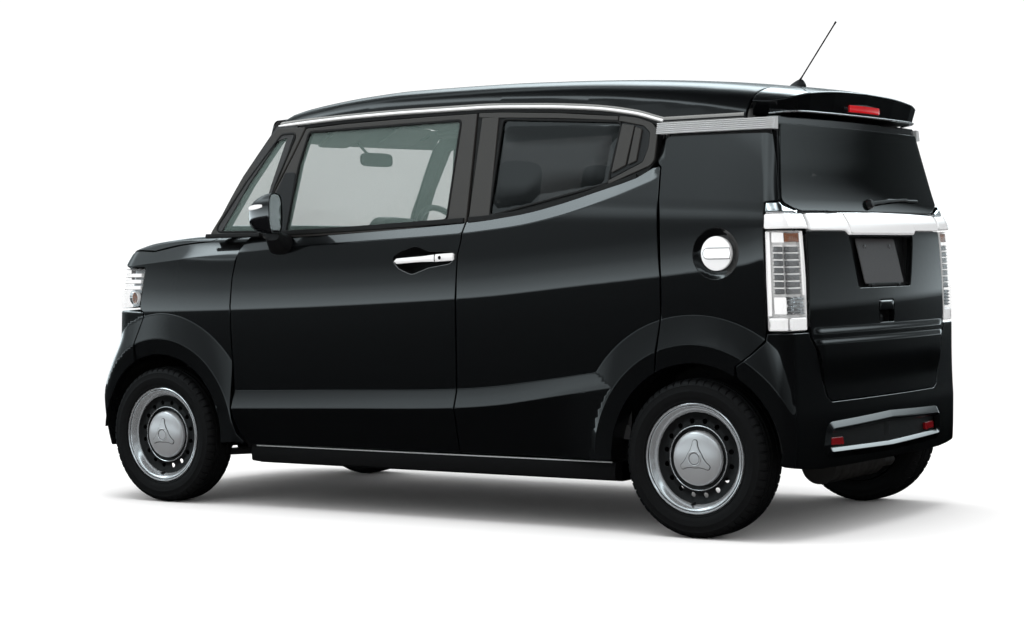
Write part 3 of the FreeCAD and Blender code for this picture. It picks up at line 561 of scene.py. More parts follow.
def shell(proj, outline, holes=(), roll=3.0, depth=18.0, step=(20, 8), edge=9.0, inner=None, lines=(), mi=0, mi_edge=None,
          mi_in=None, r=8.0, push=0.0, back=True, inner_step=(60, 60), round_done=False):
    """A body panel: skin, rolled rim and flange, with its inner face if given."""
    g = Geo()
    mi_edge = mi if mi_edge is None else mi_edge
    mi_in = mi_edge if mi_in is None else mi_in
    loops = []
    for j, o in enumerate([outline, *holes]):
        P = np.asarray(o, float) if round_done else rounded(o, r)
        P = densify(P, edge)
        if j == 0 and area2(P) < 0 or j > 0 and area2(P) > 0:
            P = P[::-1]
        # the given outline is the finished edge: the flat skin ends a roll short of it
        P = offset(P, -roll if j == 0 else roll)
        loops.append(P)
    vs, fs, rings = trimesh(loops, step, lines)
    P = proj(vs[:, 0], vs[:, 1])
    n = proj.normal(P)
    P = P + n * push
    a = P[fs]
    fn = np.cross(a[:, 1] - a[:, 0], a[:, 2] - a[:, 0])
    flip = np.sum(np.einsum("ij,ij->i", fn, n[fs[:, 0]])) < 0
    T = fs[:, ::-1] if flip else fs
    g.add(P, T, n, mi)
    ends = []
    for j, (ring, L) in enumerate(zip(rings, loops)):
        B, nb = P[ring], n[ring]
        tan = np.roll(B, -1, 0) - np.roll(B, 1, 0)
        tan /= np.maximum(np.linalg.norm(tan, axis=1), 1e-9)[:, None]
        side = np.cross(tan, nb)
        side /= np.maximum(np.linalg.norm(side, axis=1), 1e-9)[:, None]
        # side points away from the panel
        out2 = offset(L, 2.0 if j == 0 else -2.0)
        Q = proj(out2[:, 0], out2[:, 1]) + nb * push
        if np.sum(np.einsum("ij,ij->i", Q - B, side)) < 0:
            side = -side
        ringsV, ringsN = [B], [nb]
        steps = (30, 60, 90)
        for ph in steps:
            c, s = math.cos(math.radians(ph)), math.sin(math.radians(ph))
            ringsV.append(B + side * roll * s - nb * roll * (1 - c))
            ringsN.append(nb * c + side * s)
        endL = offset(L, roll if j == 0 else -roll)
        O_, d_ = proj.ray(endL[:, 0], endL[:, 1])
        if inner is not None:
            E = inner(endL[:, 0], endL[:, 1])
        else:
            E = ringsV[-1] + (d_ if depth >= 8 else -nb) * depth
        m_ = len(B)
        i0 = np.arange(m_); i1 = (i0 + 1) % m_
        for k in range(len(ringsV) - 1):
            V = np.concatenate([ringsV[k], ringsV[k + 1]])
            N = np.concatenate([ringsN[k], ringsN[k + 1]])
            t = np.concatenate([np.stack([i0, i0 + m_, i1], 1), np.stack([i1, i0 + m_, i1 + m_], 1)])
            a = V[t]
            f = np.cross(a[:, 1] - a[:, 0], a[:, 2] - a[:, 0])
            if np.sum(np.einsum("ij,ij->i", f, N[t[:, 0]])) < 0:
                t = t[:, ::-1]
            g.add(V, t, N, mi_edge if k else mi)
        V = np.concatenate([ringsV[-1], E])
        N = np.concatenate([side, side])
        t = np.concatenate([np.stack([i0, i0 + m_, i1], 1), np.stack([i1, i0 + m_, i1 + m_], 1)])
        a = V[t]
        f = np.cross(a[:, 1] - a[:, 0], a[:, 2] - a[:, 0])
        if np.sum(np.einsum("ij,ij->i", f, N[t[:, 0]])) < 0:
            t = t[:, ::-1]
        g.add(V, t, N, mi_edge)
        ends.append((endL, E))
    if back and (inner is not None or depth > 0):
        lp = [e[0] for e in ends]
        vs2, fs2, rg2 = trimesh(lp, inner_step)
        if inner is not None:
            P2 = inner(vs2[:, 0], vs2[:, 1])
        else:
            P2 = proj(vs2[:, 0], vs2[:, 1]) + proj.ray(vs2[:, 0], vs2[:, 1])[1] * depth
        for (eL, E), rg in zip(ends, rg2):
            P2[rg] = E
        a = P2[fs2]
        f = np.cross(a[:, 1] - a[:, 0], a[:, 2] - a[:, 0])
        d_ = proj.ray(vs2[:, 0], vs2[:, 1])[1]
        if np.sum(np.einsum("ij,ij->i", f, d_[fs2[:, 0]])) < 0:
            fs2 = fs2[:, ::-1]
        a = P2[fs2]
        f = np.cross(a[:, 1] - a[:, 0], a[:, 2] - a[:, 0])
        vn = np.zeros_like(P2)
        for c in range(3):
            np.add.at(vn, fs2[:, c], f)
        vn /= np.maximum(np.linalg.norm(vn, axis=1), 1e-9)[:, None]
        g.add(P2, fs2, vn, mi_in)
    return g


def bars(lines_xz, offs=(-4, -1.6, 0, 1.6, 4)):
    """Feature lines with their close neighbours, for crisp creases."""
    out = []
    for ln in lines_xz:
        ln = np.asarray(ln, float)
        t = np.gradient(ln, axis=0)
        t /= np.linalg.norm(t, axis=1)[:, None]
        nn = np.stack([-t[:, 1], t[:, 0]], 1)
        for o in offs:
            out.append(ln + nn * o)
    return out


def circle_line(xa, r, a0, a1, step=9.0):
    k = max(4, int(abs(a1 - a0) * math.pi / 180 * r / step))
    a = np.radians(np.linspace(a0, a1, k))
    return np.stack([xa + r * np.cos(a), HZ + r * np.sin(a)], 1)


def curve_line(c, x0, x1, step=10.0):
    x = np.arange(x0, x1, step)
    return np.stack([x, c(x)], 1)


# ================================================================== materials
def _noise(nt, scale, detail=3.0, stretch=None):
    tc = nt.nodes.new("ShaderNodeTexCoord")
    n = nt.nodes.new("ShaderNodeTexNoise")
    n.inputs["Scale"].default_value = scale
    n.inputs["Detail"].default_value = detail
    if stretch:
        mp = nt.nodes.new("ShaderNodeMapping")
        mp.inputs["Scale"].default_value = stretch
        nt.links.new(tc.outputs["Object"], mp.inputs["Vector"])
        nt.links.new(mp.outputs["Vector"], n.inputs["Vector"])
    else:
        nt.links.new(tc.outputs["Object"], n.inputs["Vector"])
    return n


def mat(name, base, rough=0.4, metal=0.0, coat=0.0, coat_rough=0.02, var=(6.0, 0.08), rvar=(30.0, 0.03),
        bump=(400.0, 0.02), alpha=1.0, spec=0.5, sheen=0.0, emit=None, stretch=None, wave=None, ior=1.5):
    mt = bpy.data.materials.new(name)
    mt.use_nodes = True
    nt = mt.node_tree
    b = nt.nodes["Principled BSDF"]
    b.inputs["Metallic"].default_value = metal
    b.inputs["IOR"].default_value = ior
    b.inputs["Coat Weight"].default_value = coat
    b.inputs["Coat Roughness"].default_value = coat_rough
    b.inputs["Specular IOR Level"].default_value = spec
    b.inputs["Sheen Weight"].default_value = sheen
    b.inputs["Alpha"].default_value = alpha
    if emit:
        b.inputs["Emission Color"].default_value = (*emit[:3], 1)
        b.inputs["Emission Strength"].default_value = emit[3]
    n = _noise(nt, var[0], stretch=stretch)
    mx = nt.nodes.new("ShaderNodeMix")
    mx.data_type = "RGBA"
    lo = [max(0.0, c * (1 - var[1])) for c in base]
    hi = [min(1.0, c * (1 + var[1])) for c in base]
    mx.inputs[6].default_value = (*lo, 1)
    mx.inputs[7].default_value = (*hi, 1)
    nt.links.new(n.outputs["Fac"], mx.inputs[0])
    nt.links.new(mx.outputs[2], b.inputs["Base Color"])
    r = _noise(nt, rvar[0], 4.0, stretch)
    mr = nt.nodes.new("ShaderNodeMapRange")
    mr.inputs["From Min"].default_value, mr.inputs["From Max"].default_value = 0.3, 0.7
    mr.inputs["To Min"].default_value = max(0.0, rough - rvar[1])
    mr.inputs["To Max"].default_value = min(1.0, rough + rvar[1])
    nt.links.new(r.outputs["Fac"], mr.inputs["Value"])
    nt.links.new(mr.outputs["Result"], b.inputs["Roughness"])
    if bump:
        bn = _noise(nt, bump[0], 2.0, stretch)
        src = bn.outputs["Fac"]
        if wave:
            tc = nt.nodes.new("ShaderNodeTexCoord")
            wv = nt.nodes.new("ShaderNodeTexWave")
            wv.inputs["Scale"].default_value = wave[0]
            wv.bands_direction = wave[1]
            nt.links.new(tc.outputs["Object"], wv.inputs["Vector"])
            ad = nt.nodes.new("ShaderNodeMath")
            ad.operation = "ADD"
            nt.links.new(bn.outputs["Fac"], ad.inputs[0])
            nt.links.new(wv.outputs["Fac"], ad.inputs[1])
            src = ad.outputs[0]
        bp = nt.nodes.new("ShaderNodeBump")
        bp.inputs["Strength"].default_value = bump[1]
        bp.inputs["Distance"].default_value = 0.001
        nt.links.new(src, bp.inputs["Height"])
        nt.links.new(bp.outputs["Normal"], b.inputs["Normal"])
    return mt


PAINT = mat("paint_black", (0.0018, 0.0020, 0.0023), 0.30, coat=1.0, coat_rough=0.012, spec=0.12, var=(900.0, 0.25), rvar=(60.0, 0.02), bump=None)
ROOFP = mat("paint_black_roof", (0.0018, 0.0020, 0.0023), 0.30, coat=0.5, coat_rough=0.02, spec=0.06, var=(900.0, 0.25), rvar=(60.0, 0.02), bump=None)
FRAME = mat("sash_satin", (0.064, 0.061, 0.058), 0.42, metal=0.55, var=(260.0, 0.10), rvar=(300.0, 0.05), bump=(900.0, 0.04), spec=0.4)
BLACKP = mat("black_plastic", (0.006, 0.006, 0.0065), 0.48, var=(120.0, 0.2), rvar=(300.0, 0.06), bump=(1500.0, 0.12))
GLOSSB = mat("gloss_black", (0.004, 0.004, 0.0045), 0.08, coat=0.6, var=(50.0, 0.2), rvar=(80.0, 0.02), bump=None)
RUBBER = mat("seal_rubber", (0.008, 0.008, 0.008), 0.65, var=(200.0, 0.2), rvar=(400.0, 0.08), bump=(1200.0, 0.15), spec=0.3)
CHROME = mat("chrome", (0.80, 0.81, 0.82), 0.05, metal=1.0, var=(20.0, 0.02), rvar=(300.0, 0.02), bump=None)
SILVER = mat("brushed_silver", (0.62, 0.63, 0.64), 0.28, metal=0.9, var=(40.0, 0.06), rvar=(200.0, 0.06), bump=(900.0, 0.03), stretch=(0.1, 1, 1))
GLASS = mat("clear_glass", (0.17, 0.235, 0.215), 0.02, alpha=0.26, var=(8.0, 0.05), rvar=(20.0, 0.005), bump=None, spec=0.5)
DARKG = mat("privacy_glass", (0.0015, 0.002, 0.002), 0.02, alpha=0.86, var=(8.0, 0.1), rvar=(20.0, 0.005), bump=None, spec=0.5)
TYRE = mat("tyre_rubber", (0.0042, 0.0043, 0.0046), 0.52, var=(90.0, 0.25), rvar=(140.0, 0.08), bump=(600.0, 0.2), spec=0.14)
STEELB = mat("wheel_black", (0.0032, 0.0032, 0.0035), 0.42, spec=0.3, coat=0.04, var=(60.0, 0.2), rvar=(120.0, 0.06), bump=(900.0, 0.06))
TRIMS = mat("wheel_trim", (0.70, 0.72, 0.74), 0.20, metal=0.80, var=(12.0, 0.03), rvar=(40.0, 0.015), bump=None)
CAPS = mat("hub_cap", (0.66, 0.67, 0.685), 0.30, metal=0.72, var=(14.0, 0.04), rvar=(40.0, 0.02), bump=None)
UNDER = mat("underbody", (0.0035, 0.0035, 0.0036), 0.75, var=(12.0, 0.4), rvar=(30.0, 0.1), bump=(150.0, 0.4))
CAST = mat("cast_metal", (0.16, 0.16, 0.165), 0.50, metal=0.8, var=(20.0, 0.3), rvar=(60.0, 0.1), bump=(250.0, 0.4))
AXLE = mat("axle_steel", (0.02, 0.02, 0.021), 0.55, metal=0.2, var=(15.0, 0.4), rvar=(40.0, 0.1), bump=(200.0, 0.3))
EXH = mat("exhaust_steel", (0.035, 0.033, 0.031), 0.50, metal=0.6, var=(10.0, 0.3), rvar=(30.0, 0.12), bump=(160.0, 0.2))
INTP = mat("interior_plastic", (0.030, 0.030, 0.031), 0.58, var=(60.0, 0.12), rvar=(200.0, 0.06), bump=(900.0, 0.25))
HEAD = mat("headlining", (0.20, 0.205, 0.20), 0.9, var=(150.0, 0.12), rvar=(200.0, 0.04), bump=(700.0, 0.3), sheen=0.2)
FABRIC = mat("seat_fabric", (0.020, 0.020, 0.022), 0.85, var=(350.0, 0.35), rvar=(300.0, 0.06), bump=(500.0, 0.35), sheen=0.4, wave=(260.0, "Z"))
CARPET = mat("carpet", (0.014, 0.014, 0.015), 0.95, var=(300.0, 0.4), rvar=(200.0, 0.04), bump=(600.0, 0.6), sheen=0.3)
REDL = mat("red_lens", (0.50, 0.012, 0.016), 0.10, coat=0.6, var=(40.0, 0.15), rvar=(100.0, 0.03), bump=(300.0, 0.05))
AMBER = mat("amber_lens", (0.13, 0.036, 0.004), 0.10, coat=0.5, var=(60.0, 0.3), rvar=(100.0, 0.03), bump=(300.0, 0.08))
LENS = mat("lamp_lens", (0.75, 0.76, 0.77), 0.03, alpha=0.05, coat=1.0, var=(20.0, 0.03), rvar=(60.0, 0.005), bump=None)
REFL = mat("lamp_reflector", (0.72, 0.73, 0.75), 0.12, metal=1.0, var=(30.0, 0.05), rvar=(160.0, 0.04), bump=(400.0, 0.03))
WHITE = mat("lamp_white", (0.86, 0.86, 0.86), 0.22, var=(20.0, 0.03), rvar=(100.0, 0.03), bump=(300.0, 0.03), coat=0.4)
GREYR = mat("lamp_grey", (0.26, 0.27, 0.28), 0.20, metal=0.75, var=(60.0, 0.10), rvar=(160.0, 0.05), bump=(500.0, 0.05))
PLATE = mat("plate_grey", (0.036, 0.032, 0.033), 0.45, var=(90.0, 0.08), rvar=(200.0, 0.04), bump=(800.0, 0.05))
MIRR = mat("mirror_glass", (0.55, 0.57, 0.58), 0.02, metal=1.0, var=(10.0, 0.02), rvar=(20.0, 0.005), bump=None)


BRIGHT = mat("bright_trim", (0.95, 0.95, 0.955), 0.16, metal=0.25, var=(20.0, 0.02), rvar=(200.0, 0.04), bump=None, spec=0.5, coat=0.5)
RIBS = mat("ribbed_trim", (0.52, 0.53, 0.535), 0.34, metal=0.35, var=(40.0, 0.06), rvar=(200.0, 0.05), bump=(900.0, 0.02))
REDD = mat("dark_reflector", (0.13, 0.004, 0.006), 0.16, coat=0.5, var=(60.0, 0.2), rvar=(100.0, 0.03), bump=(300.0, 0.08))
ROWS = mat("lamp_rows", (0.12, 0.125, 0.13), 0.22, metal=0.5, var=(60.0, 0.15), rvar=(160.0, 0.05), bump=(500.0, 0.05))


# ==================================================================== staging
def build_world():
    w = bpy.data.worlds.new("studio")
    scene.world = w
    w.use_nodes = True
    nt = w.node_tree
    nt.nodes.clear()
    out = nt.nodes.new("ShaderNodeOutputWorld")
    tc = nt.nodes.new("ShaderNodeTexCoord")
    sx = nt.nodes.new("ShaderNodeSeparateXYZ")
    nt.links.new(tc.outputs["Generated"], sx.inputs[0])

    def ramp(src, stops, scale, lo=-1.0, hi=1.0):
        mr = nt.nodes.new("ShaderNodeMapRange")
        mr.inputs["From Min"].default_value, mr.inputs["From Max"].default_value = lo, hi
        nt.links.new(src, mr.inputs["Value"])
        cr_ = nt.nodes.new("ShaderNodeValToRGB")
        el = cr_.color_ramp.elements
        while len(el) > 1:
            el.remove(el[-1])
        first = True
        for p, v in stops:
            q = (p - lo) / (hi - lo)
            c = v / scale
            e = el[0] if first else el.new(q)
            e.position = q
            e.color = (c, c, c, 1)
            first = False
        nt.links.new(mr.outputs[0], cr_.inputs[0])
        ml = nt.nodes.new("ShaderNodeMath")
        ml.operation = "MULTIPLY"
        ml.inputs[1].default_value = scale
        nt.links.new(cr_.outputs[0], ml.inputs[0])
        return ml.outputs[0]

    def op(kind, a, b):
        n = nt.nodes.new("ShaderNodeMath")
        n.operation = kind
        for i, q in enumerate((a, b)):
            if isinstance(q, (int, float)):
                n.inputs[i].default_value = q
            else:
                nt.links.new(q, n.inputs[i])
        return n.outputs[0]

    glow = ramp(sx.outputs[2], GLOW, 4.0, -0.1, 0.5)
    over = ramp(sx.outputs[2], OVER, 12.0)
    side = ramp(sx.outputs[1], SIDE, 1.0)
    ends = ramp(sx.outputs[0], ENDS, 1.0)
    over = op("MULTIPLY", over, ramp(sx.outputs[0], [(-1.0, 0.35), (0.34, 0.4), (0.46, 1.0), (1.0, 1.0)], 1.0))
    side = op("MAXIMUM", side, ramp(sx.outputs[0], [(-1.0, 0.0), (0.62, 0.0), (0.85, 0.7), (1.0, 0.8)], 1.0))
    env = op("ADD", op("MULTIPLY", glow, ends), op("MULTIPLY", over, side))
    # a low card beyond the car catches the ledges of the back
    back = op("MULTIPLY", ramp(sx.outputs[2], [(-1.0, 0.0), (0.20, 0.0), (0.34, 2.0), (0.46, 4.0), (0.60, 4.0), (0.72, 0.0), (1.0, 0.0)], 4.0),
              ramp(sx.outputs[1], [(-1.0, 1.0), (-0.78, 1.0), (-0.58, 0.0), (1.0, 0.0)], 1.0))
    env = op("ADD", env, back)
    lp = nt.nodes.new("ShaderNodeLightPath")
    # camera sees white, soft light comes from everywhere, gloss sees the studio
    dif = op("ADD", op("MULTIPLY", lp.outputs["Is Camera Ray"], 1.1), op("MULTIPLY", lp.outputs["Is Diffuse Ray"], DOME))
    tot = op("ADD", dif, op("MULTIPLY", lp.outputs["Is Glossy Ray"], env))
    tot = op("ADD", tot, op("MULTIPLY", lp.outputs["Is Transmission Ray"], 1.0))
    bg = nt.nodes.new("ShaderNodeBackground")
    tint = nt.nodes.new("ShaderNodeMixRGB")
    tint.inputs["Color1"].default_value, tint.inputs["Color2"].default_value = (1, 1, 1, 1), (0.87, 1.0, 1.05, 1)
    nt.links.new(lp.outputs["Is Glossy Ray"], tint.inputs["Fac"])
    nt.links.new(tint.outputs[0], bg.inputs["Color"])
    nt.links.new(tot, bg.inputs["Strength"])
    nt.links.new(bg.outputs[0], out.inputs[0])


GLOW = [(-0.1, 0.0), (-0.004, 0.0), (0.002, 2.4), (0.03, 1.7), (0.08, 0.7), (0.14, 0.22), (0.22, 0.12), (0.5, 0.0)]
OVER = [(-1.0, 0.0), (0.16, 0.0), (0.30, 0.25), (0.40, 1.1), (0.45, 1.3), (0.49, 0.85), (0.53, 0.65), (0.60, 0.65), (0.64, 0.8), (0.67, 4.2), (0.71, 5.2), (0.745, 3.6), (0.775, 0.8), (0.81, 0.15), (1.0, 0.05)]
SIDE = [(-1.0, 0.10), (-0.25, 0.12), (-0.05, 0.45), (0.12, 1.0), (1.0, 1.0)]
ENDS = [(-1.0, 0.12), (-0.45, 0.15), (-0.1, 0.6), (0.3, 1.0), (1.0, 1.0)]
DOME = 1.12
build_world()

floor_me = bpy.data.meshes.new("studio_floor")
floor_me.from_pydata([(-60, -60, 0), (60, -60, 0), (60, 60, 0), (-60, 60, 0)], [], [(0, 1, 2, 3)])
floor = bpy.data.objects.new("studio_floor", floor_me)
scene.collection.objects.link(floor)
floor_me.materials.append(mat("floor_pale", (0.90, 0.90, 0.90), 0.9, spec=0.0, var=(0.3, 0.01), bump=None))
floor.visible_glossy = False
ld = bpy.data.lights.new("softbox", "AREA")
ld.shape, ld.size, ld.size_y, ld.energy = "RECTANGLE", 6.0, 5.0, 260
lo_ = bpy.data.objects.new("softbox", ld)
lo_.location = (0, 0.4, 5.2)
lo_.visible_glossy = False
lo_.visible_camera = False
scene.collection.objects.link(lo_)



# ============================================================ shape building
def unit(a):
    a = np.asarray(a, float)
    return a / np.maximum(np.linalg.norm(a, axis=-1, keepdims=True), 1e-9)


def tangents(P, closed=False):
    if closed:
        return unit(np.roll(P, -1, 0) - np.roll(P, 1, 0))
    return unit(np.gradient(P, axis=0))


def resample(P, step, closed=False):
    P = np.asarray(P, float)
    Q = np.vstack([P, P[:1]]) if closed else P
    d = np.concatenate([[0], np.cumsum(np.linalg.norm(np.diff(Q, axis=0), axis=1))])
    k = max(2, int(round(d[-1] / step)) + 1)
    t = np.linspace(0, d[-1], k)
    R = np.stack([np.interp(t, d, Q[:, i]) for i in range(Q.shape[1])], 1)
    return R[:-1] if closed else R


def sweep(path, N, prof, closed=False, mi=0, angle=38.0, ends=True, scale=None, g=None):
    """Sweeps a closed profile (across, outwards) along a path with up vectors N."""
    P, N = np.asarray(path, float), unit(np.broadcast_to(np.asarray(N, float), np.shape(path)))
    T = tangents(P, closed)
    S = unit(np.cross(T, N))
    U = unit(np.cross(S, T))
    pr = np.asarray(prof, float)
    n, m_ = len(P), len(pr)
    sc = np.ones(n) if scale is None else np.asarray(scale, float)
    V = P[:, None] + (S[:, None] * pr[None, :, :1] + U[:, None] * pr[None, :, 1:2]) * sc[:, None, None]
    V = V.reshape(-1, 3)
    tr = []
    for i in range(n if closed else n - 1):
        j = (i + 1) % n
        for k in range(m_):
            l = (k + 1) % m_
            a, b, c, d = i * m_ + k, j * m_ + k, j * m_ + l, i * m_ + l
            tr += [(a, b, c), (a, c, d)]
    tr = np.array(tr)
    if not closed and ends:
        for base, rev in ((0, 1), ((n - 1) * m_, 0)):
            V = np.vstack([V, V[base:base + m_].mean(0)])
            c = len(V) - 1
            e = [(base + k, base + (k + 1) % m_, c) if rev else (base + (k + 1) % m_, base + k, c) for k in range(m_)]
            tr = np.vstack([tr, e])
    tr = outward(V, tr)
    g = g or Geo()
    return g.smooth(V, tr, mi, angle)


def outward(V, T):
    """Turns a closed surface's triangles to face out."""
    a = V[T]
    vol = np.einsum("ij,ij->i", a[:, 0], np.cross(a[:, 1], a[:, 2])).sum()
    return T[:, ::-1] if vol < 0 else T


def round_prof(w, h, r=None, n=4, lift=0.0):
    """Rounded rectangle w across, h high, sitting on its base."""
    r = min(w, h) * 0.35 if r is None else r
    out = []
    for cx, cy, a0 in ((w / 2 - r, h - r, 0), (-w / 2 + r, h - r, 90), (-w / 2 + r, r, 180), (w / 2 - r, r, 270)):
        for k in range(n + 1):
            a = math.radians(a0 + 90 * k / n)
            out.append((cx + r * math.cos(a), cy + r * math.sin(a) + lift))
    return out


def circ(r, n=12, cx=0.0, cy=0.0):
    return [(cx + r * math.cos(2 * math.pi * k / n), cy + r * math.sin(2 * math.pi * k / n)) for k in range(n)]


def lathe(prof, c, axis=(0, 1, 0), n=64, mi=0, angle=35.0, g=None, closed=False):
    """Turns (radius, along) points about an axis through c."""
    ax = unit(axis)
    u = unit(np.cross(ax, [0.0, 0.0, 1.0] if abs(ax[2]) < 0.9 else [1.0, 0.0, 0.0]))
    w = np.cross(ax, u)
    pr = np.asarray(prof, float)
    m_ = len(pr)
    a = np.linspace(0, 2 * math.pi, n, endpoint=False)
    D = np.cos(a)[:, None] * u + np.sin(a)[:, None] * w
    V = (np.asarray(c, float) + D[:, None] * pr[None, :, :1] + ax * pr[None, :, 1:2]).reshape(-1, 3)
    tr, mis = [], []
    for i in range(n):
        j = (i + 1) % n
        for k in range(m_ if closed else m_ - 1):
            l = (k + 1) % m_
            q = mi[k] if isinstance(mi, (list, tuple)) else mi
            tr += [(i * m_ + k, j * m_ + k, j * m_ + l), (i * m_ + k, j * m_ + l, i * m_ + l)]
            mis += [q, q]
    tr, mis = np.array(tr), np.array(mis)
    a3 = V[tr]
    vol = np.einsum("ij,ij->i", a3[:, 0] - np.asarray(c, float), np.cross(a3[:, 1] - np.asarray(c, float), a3[:, 2] - np.asarray(c, float))).sum()
    if vol < 0:
        tr = tr[:, ::-1]
    # weld the axis points
    g = g or Geo()
    key = {}
    idx = np.empty(len(V), int)
    W2 = []
    for i, p in enumerate(np.round(V, 4)):
        t = tuple(p)
        if t not in key:
            key[t] = len(W2)
            W2.append(V[i])
        idx[i] = key[t]
    V2, T2 = np.array(W2), idx[tr]
    ok = (T2[:, 0] != T2[:, 1]) & (T2[:, 1] != T2[:, 2]) & (T2[:, 0] != T2[:, 2])
    T2, mis = T2[ok], mis[ok]
    a3 = V2[T2]
    L = np.linalg.norm(np.cross(a3[:, 1] - a3[:, 0], a3[:, 2] - a3[:, 0]), axis=1)
    T2, mis = T2[L > 1e-7], mis[L > 1e-7]
    return g.smooth(V2, T2, mis, angle)


def solid(bm_fn, mi=0, angle=30.0, g=None):
    """Runs bmesh code and takes its triangles."""
    bm = bmesh.new()
    bm_fn(bm)
    bmesh.ops.triangulate(bm, faces=bm.faces[:])
    bm.verts.ensure_lookup_table()
    V = np.array([v.co[:] for v in bm.verts])
    T = np.array([[v.index for v in f.verts] for f in bm.faces])
    bm.free()
    g = g or Geo()
    return g.smooth(V, T, mi, angle)


def rbox(lo, hi, r=6.0, seg=3, mi=0, g=None, taper=None, rot=None, at=None, angle=32.0):
    """Block with rounded edges; taper scales its top; rot turns it about at."""
    lo, hi = np.array(lo, float), np.array(hi, float)

    def fn(bm):
        bmesh.ops.create_cube(bm, size=1.0)
        for v in bm.verts:
            p = np.array(v.co[:]) + 0.5
            v.co = lo + p * (hi - lo)
            if taper:
                c = (lo + hi) / 2
                if p[2] > 0.5:
                    v.co.x = c[0] + (v.co.x - c[0]) * taper[0]
                    v.co.y = c[1] + (v.co.y - c[1]) * taper[1]
        bmesh.ops.bevel(bm, geom=bm.edges[:] + bm.verts[:], offset=min(r, 0.49 * float((hi - lo).min())), segments=seg, profile=0.5, affect="EDGES")
        if rot is not None:
            bmesh.ops.rotate(bm, cent=Vector(at if at is not None else (lo + hi) / 2), matrix=rot, verts=bm.verts[:])
    return solid(fn, mi, angle, g)


def loft(rings, mi=0, angle=35.0, caps=True, g=None, closed=True):
    """Skins a list of rings with equal point counts."""
    R = [np.asarray(r, float) for r in rings]
    m_ = len(R[0])
    V = np.concatenate(R)
    tr = []
    for i in range(len(R) - 1):
        for k in range(m_ if closed else m_ - 1):
            l = (k + 1) % m_
            a, b, c, d = i * m_ + k, (i + 1) * m_ + k, (i + 1) * m_ + l, i * m_ + l
            tr += [(a, b, c), (a, c, d)]
    tr = np.array(tr)
    if caps:
        for base, rev in ((0, 1), ((len(R) - 1) * m_, 0)):
            V = np.vstack([V, V[base:base + m_].mean(0)])
            c = len(V) - 1
            tr = np.vstack([tr, [(base + k, base + (k + 1) % m_, c) if rev else (base + (k + 1) % m_, base + k, c) for k in range(m_)]])
        tr = outward(V - V.mean(0), tr)
    g = g or Geo()
    return g.smooth(V, tr, mi, angle)


def tube(path, r, n=10, closed=False, mi=0, g=None, N=None, scale=None):
    P = np.asarray(path, float)
    if N is None:
        T = tangents(P, closed)
        ref = np.array([0.0, 0.0, 1.0]) if abs(T[:, 2]).mean() < 0.8 else np.array([0.0, 1.0, 0.0])
        N = unit(np.cross(np.cross(T, ref), T)) * -1.0
    return sweep(P, N, circ(r, n), closed, mi, 60.0, True, scale, g)

# ================================================================ body panels
P_SIDE = Proj(lambda P: g_side(P, fn=lambda x, z: lower_y(x, z, front=False)), "side")
P_FEND = Proj(g_fender, "tilt", alpha=30)
P_BON = Proj(g_bonnet, "top")
P_ROOF = Proj(g_roof, "top")
P_REAR = Proj(g_rear, "rear")
P_RB = Proj(lambda P: smax(g_rear(P), P[..., 2] * 0 - 1e6, 1), "wrapr", c=-1050)
P_FB = Proj(g_front, "wrapf", c=950)
P_FRM = Proj(lambda P: np.abs(P[..., 1]) - frame_y(P[..., 0], P[..., 2]), "side")


class Obl(Proj):
    """Rays from the rear left, so the panel can turn the corner."""

    def __init__(self, g, beta):
        super().__init__(g, "side")
        self.b = math.radians(beta)

    def ray(self, u, v):
        u, v = np.asarray(u, float), np.asarray(v, float)
        c, s = math.cos(self.b), math.sin(self.b)
        o = np.ones_like(u)
        base = np.stack([u * c, u * s, v], -1)
        out = np.stack([-s * o, c * o, 0 * o], -1)
        # start outside: far along the outward direction
        return base + out * 1900, -out

    def __call__(self, u, v):
        O, d = self.ray(u, v)
        lo, hi = np.zeros(len(O)), np.full(len(O), 1450.0)
        for _ in range(26):
            mid = (lo + hi) / 2
            out = self.g(O + d * mid[:, None]) > 0
            lo, hi = np.where(out, mid, lo), np.where(out, hi, mid)
        return O + d * ((lo + hi) / 2)[:, None]

    def uv(self, P):
        P = np.atleast_2d(np.asarray(P, float))
        c, s = math.cos(self.b), math.sin(self.b)
        return np.stack([P[:, 0] * c + P[:, 1] * s, P[:, 2]], -1)


P_QTR = Obl(g_rear, 30)


def on_side(x, z, proj=None):
    """Body point on the left side at x, z."""
    x, z = np.atleast_1d(x).astype(float), np.atleast_1d(z).astype(float)
    return (proj or P_SIDE)(x, z)


def on_rear(y, z):
    return P_REAR(np.atleast_1d(y).astype(float), np.atleast_1d(z).astype(float))


def arc(xa, r, a0, a1, n=24):
    a = np.radians(np.linspace(a0, a1, n))
    return np.stack([xa + r * np.cos(a), HZ + r * np.sin(a)], 1)


FRONT_SHUT = [(733, 1086), (761, 1036), (786, 929), (795, 806), (793, 685), (788, 555), (793, 403), (785, 353), (765, 296), (723, 254)]
GAPV = 2.3


def inner_wall(depth_low=56, depth_high=34):
    def f(u, v):
        y = main_y(u, np.minimum(v, 1400)) - np.where(v < 1080, depth_low, depth_high)
        return np.stack([u, y, v], -1)
    return f


def both(name, geo, mats, bodies, repl=None):
    """A left piece and its mirror image, on one body or on two."""
    if isinstance(bodies, str):
        geo = Geo().join(geo).join(geo.mirror())
        return [piece(name, geo, mats, bodies, repl or ())]
    a = piece(name + "_left", geo, mats, bodies[0], [repl + "_left"] if repl else ())
    b = piece(name + "_right", geo.mirror(), mats, bodies[1], [repl + "_right"] if repl else ())
    return [a, b]


FD = ("front_door_left", "front_door_right")
RD = ("rear_door_left", "rear_door_right")

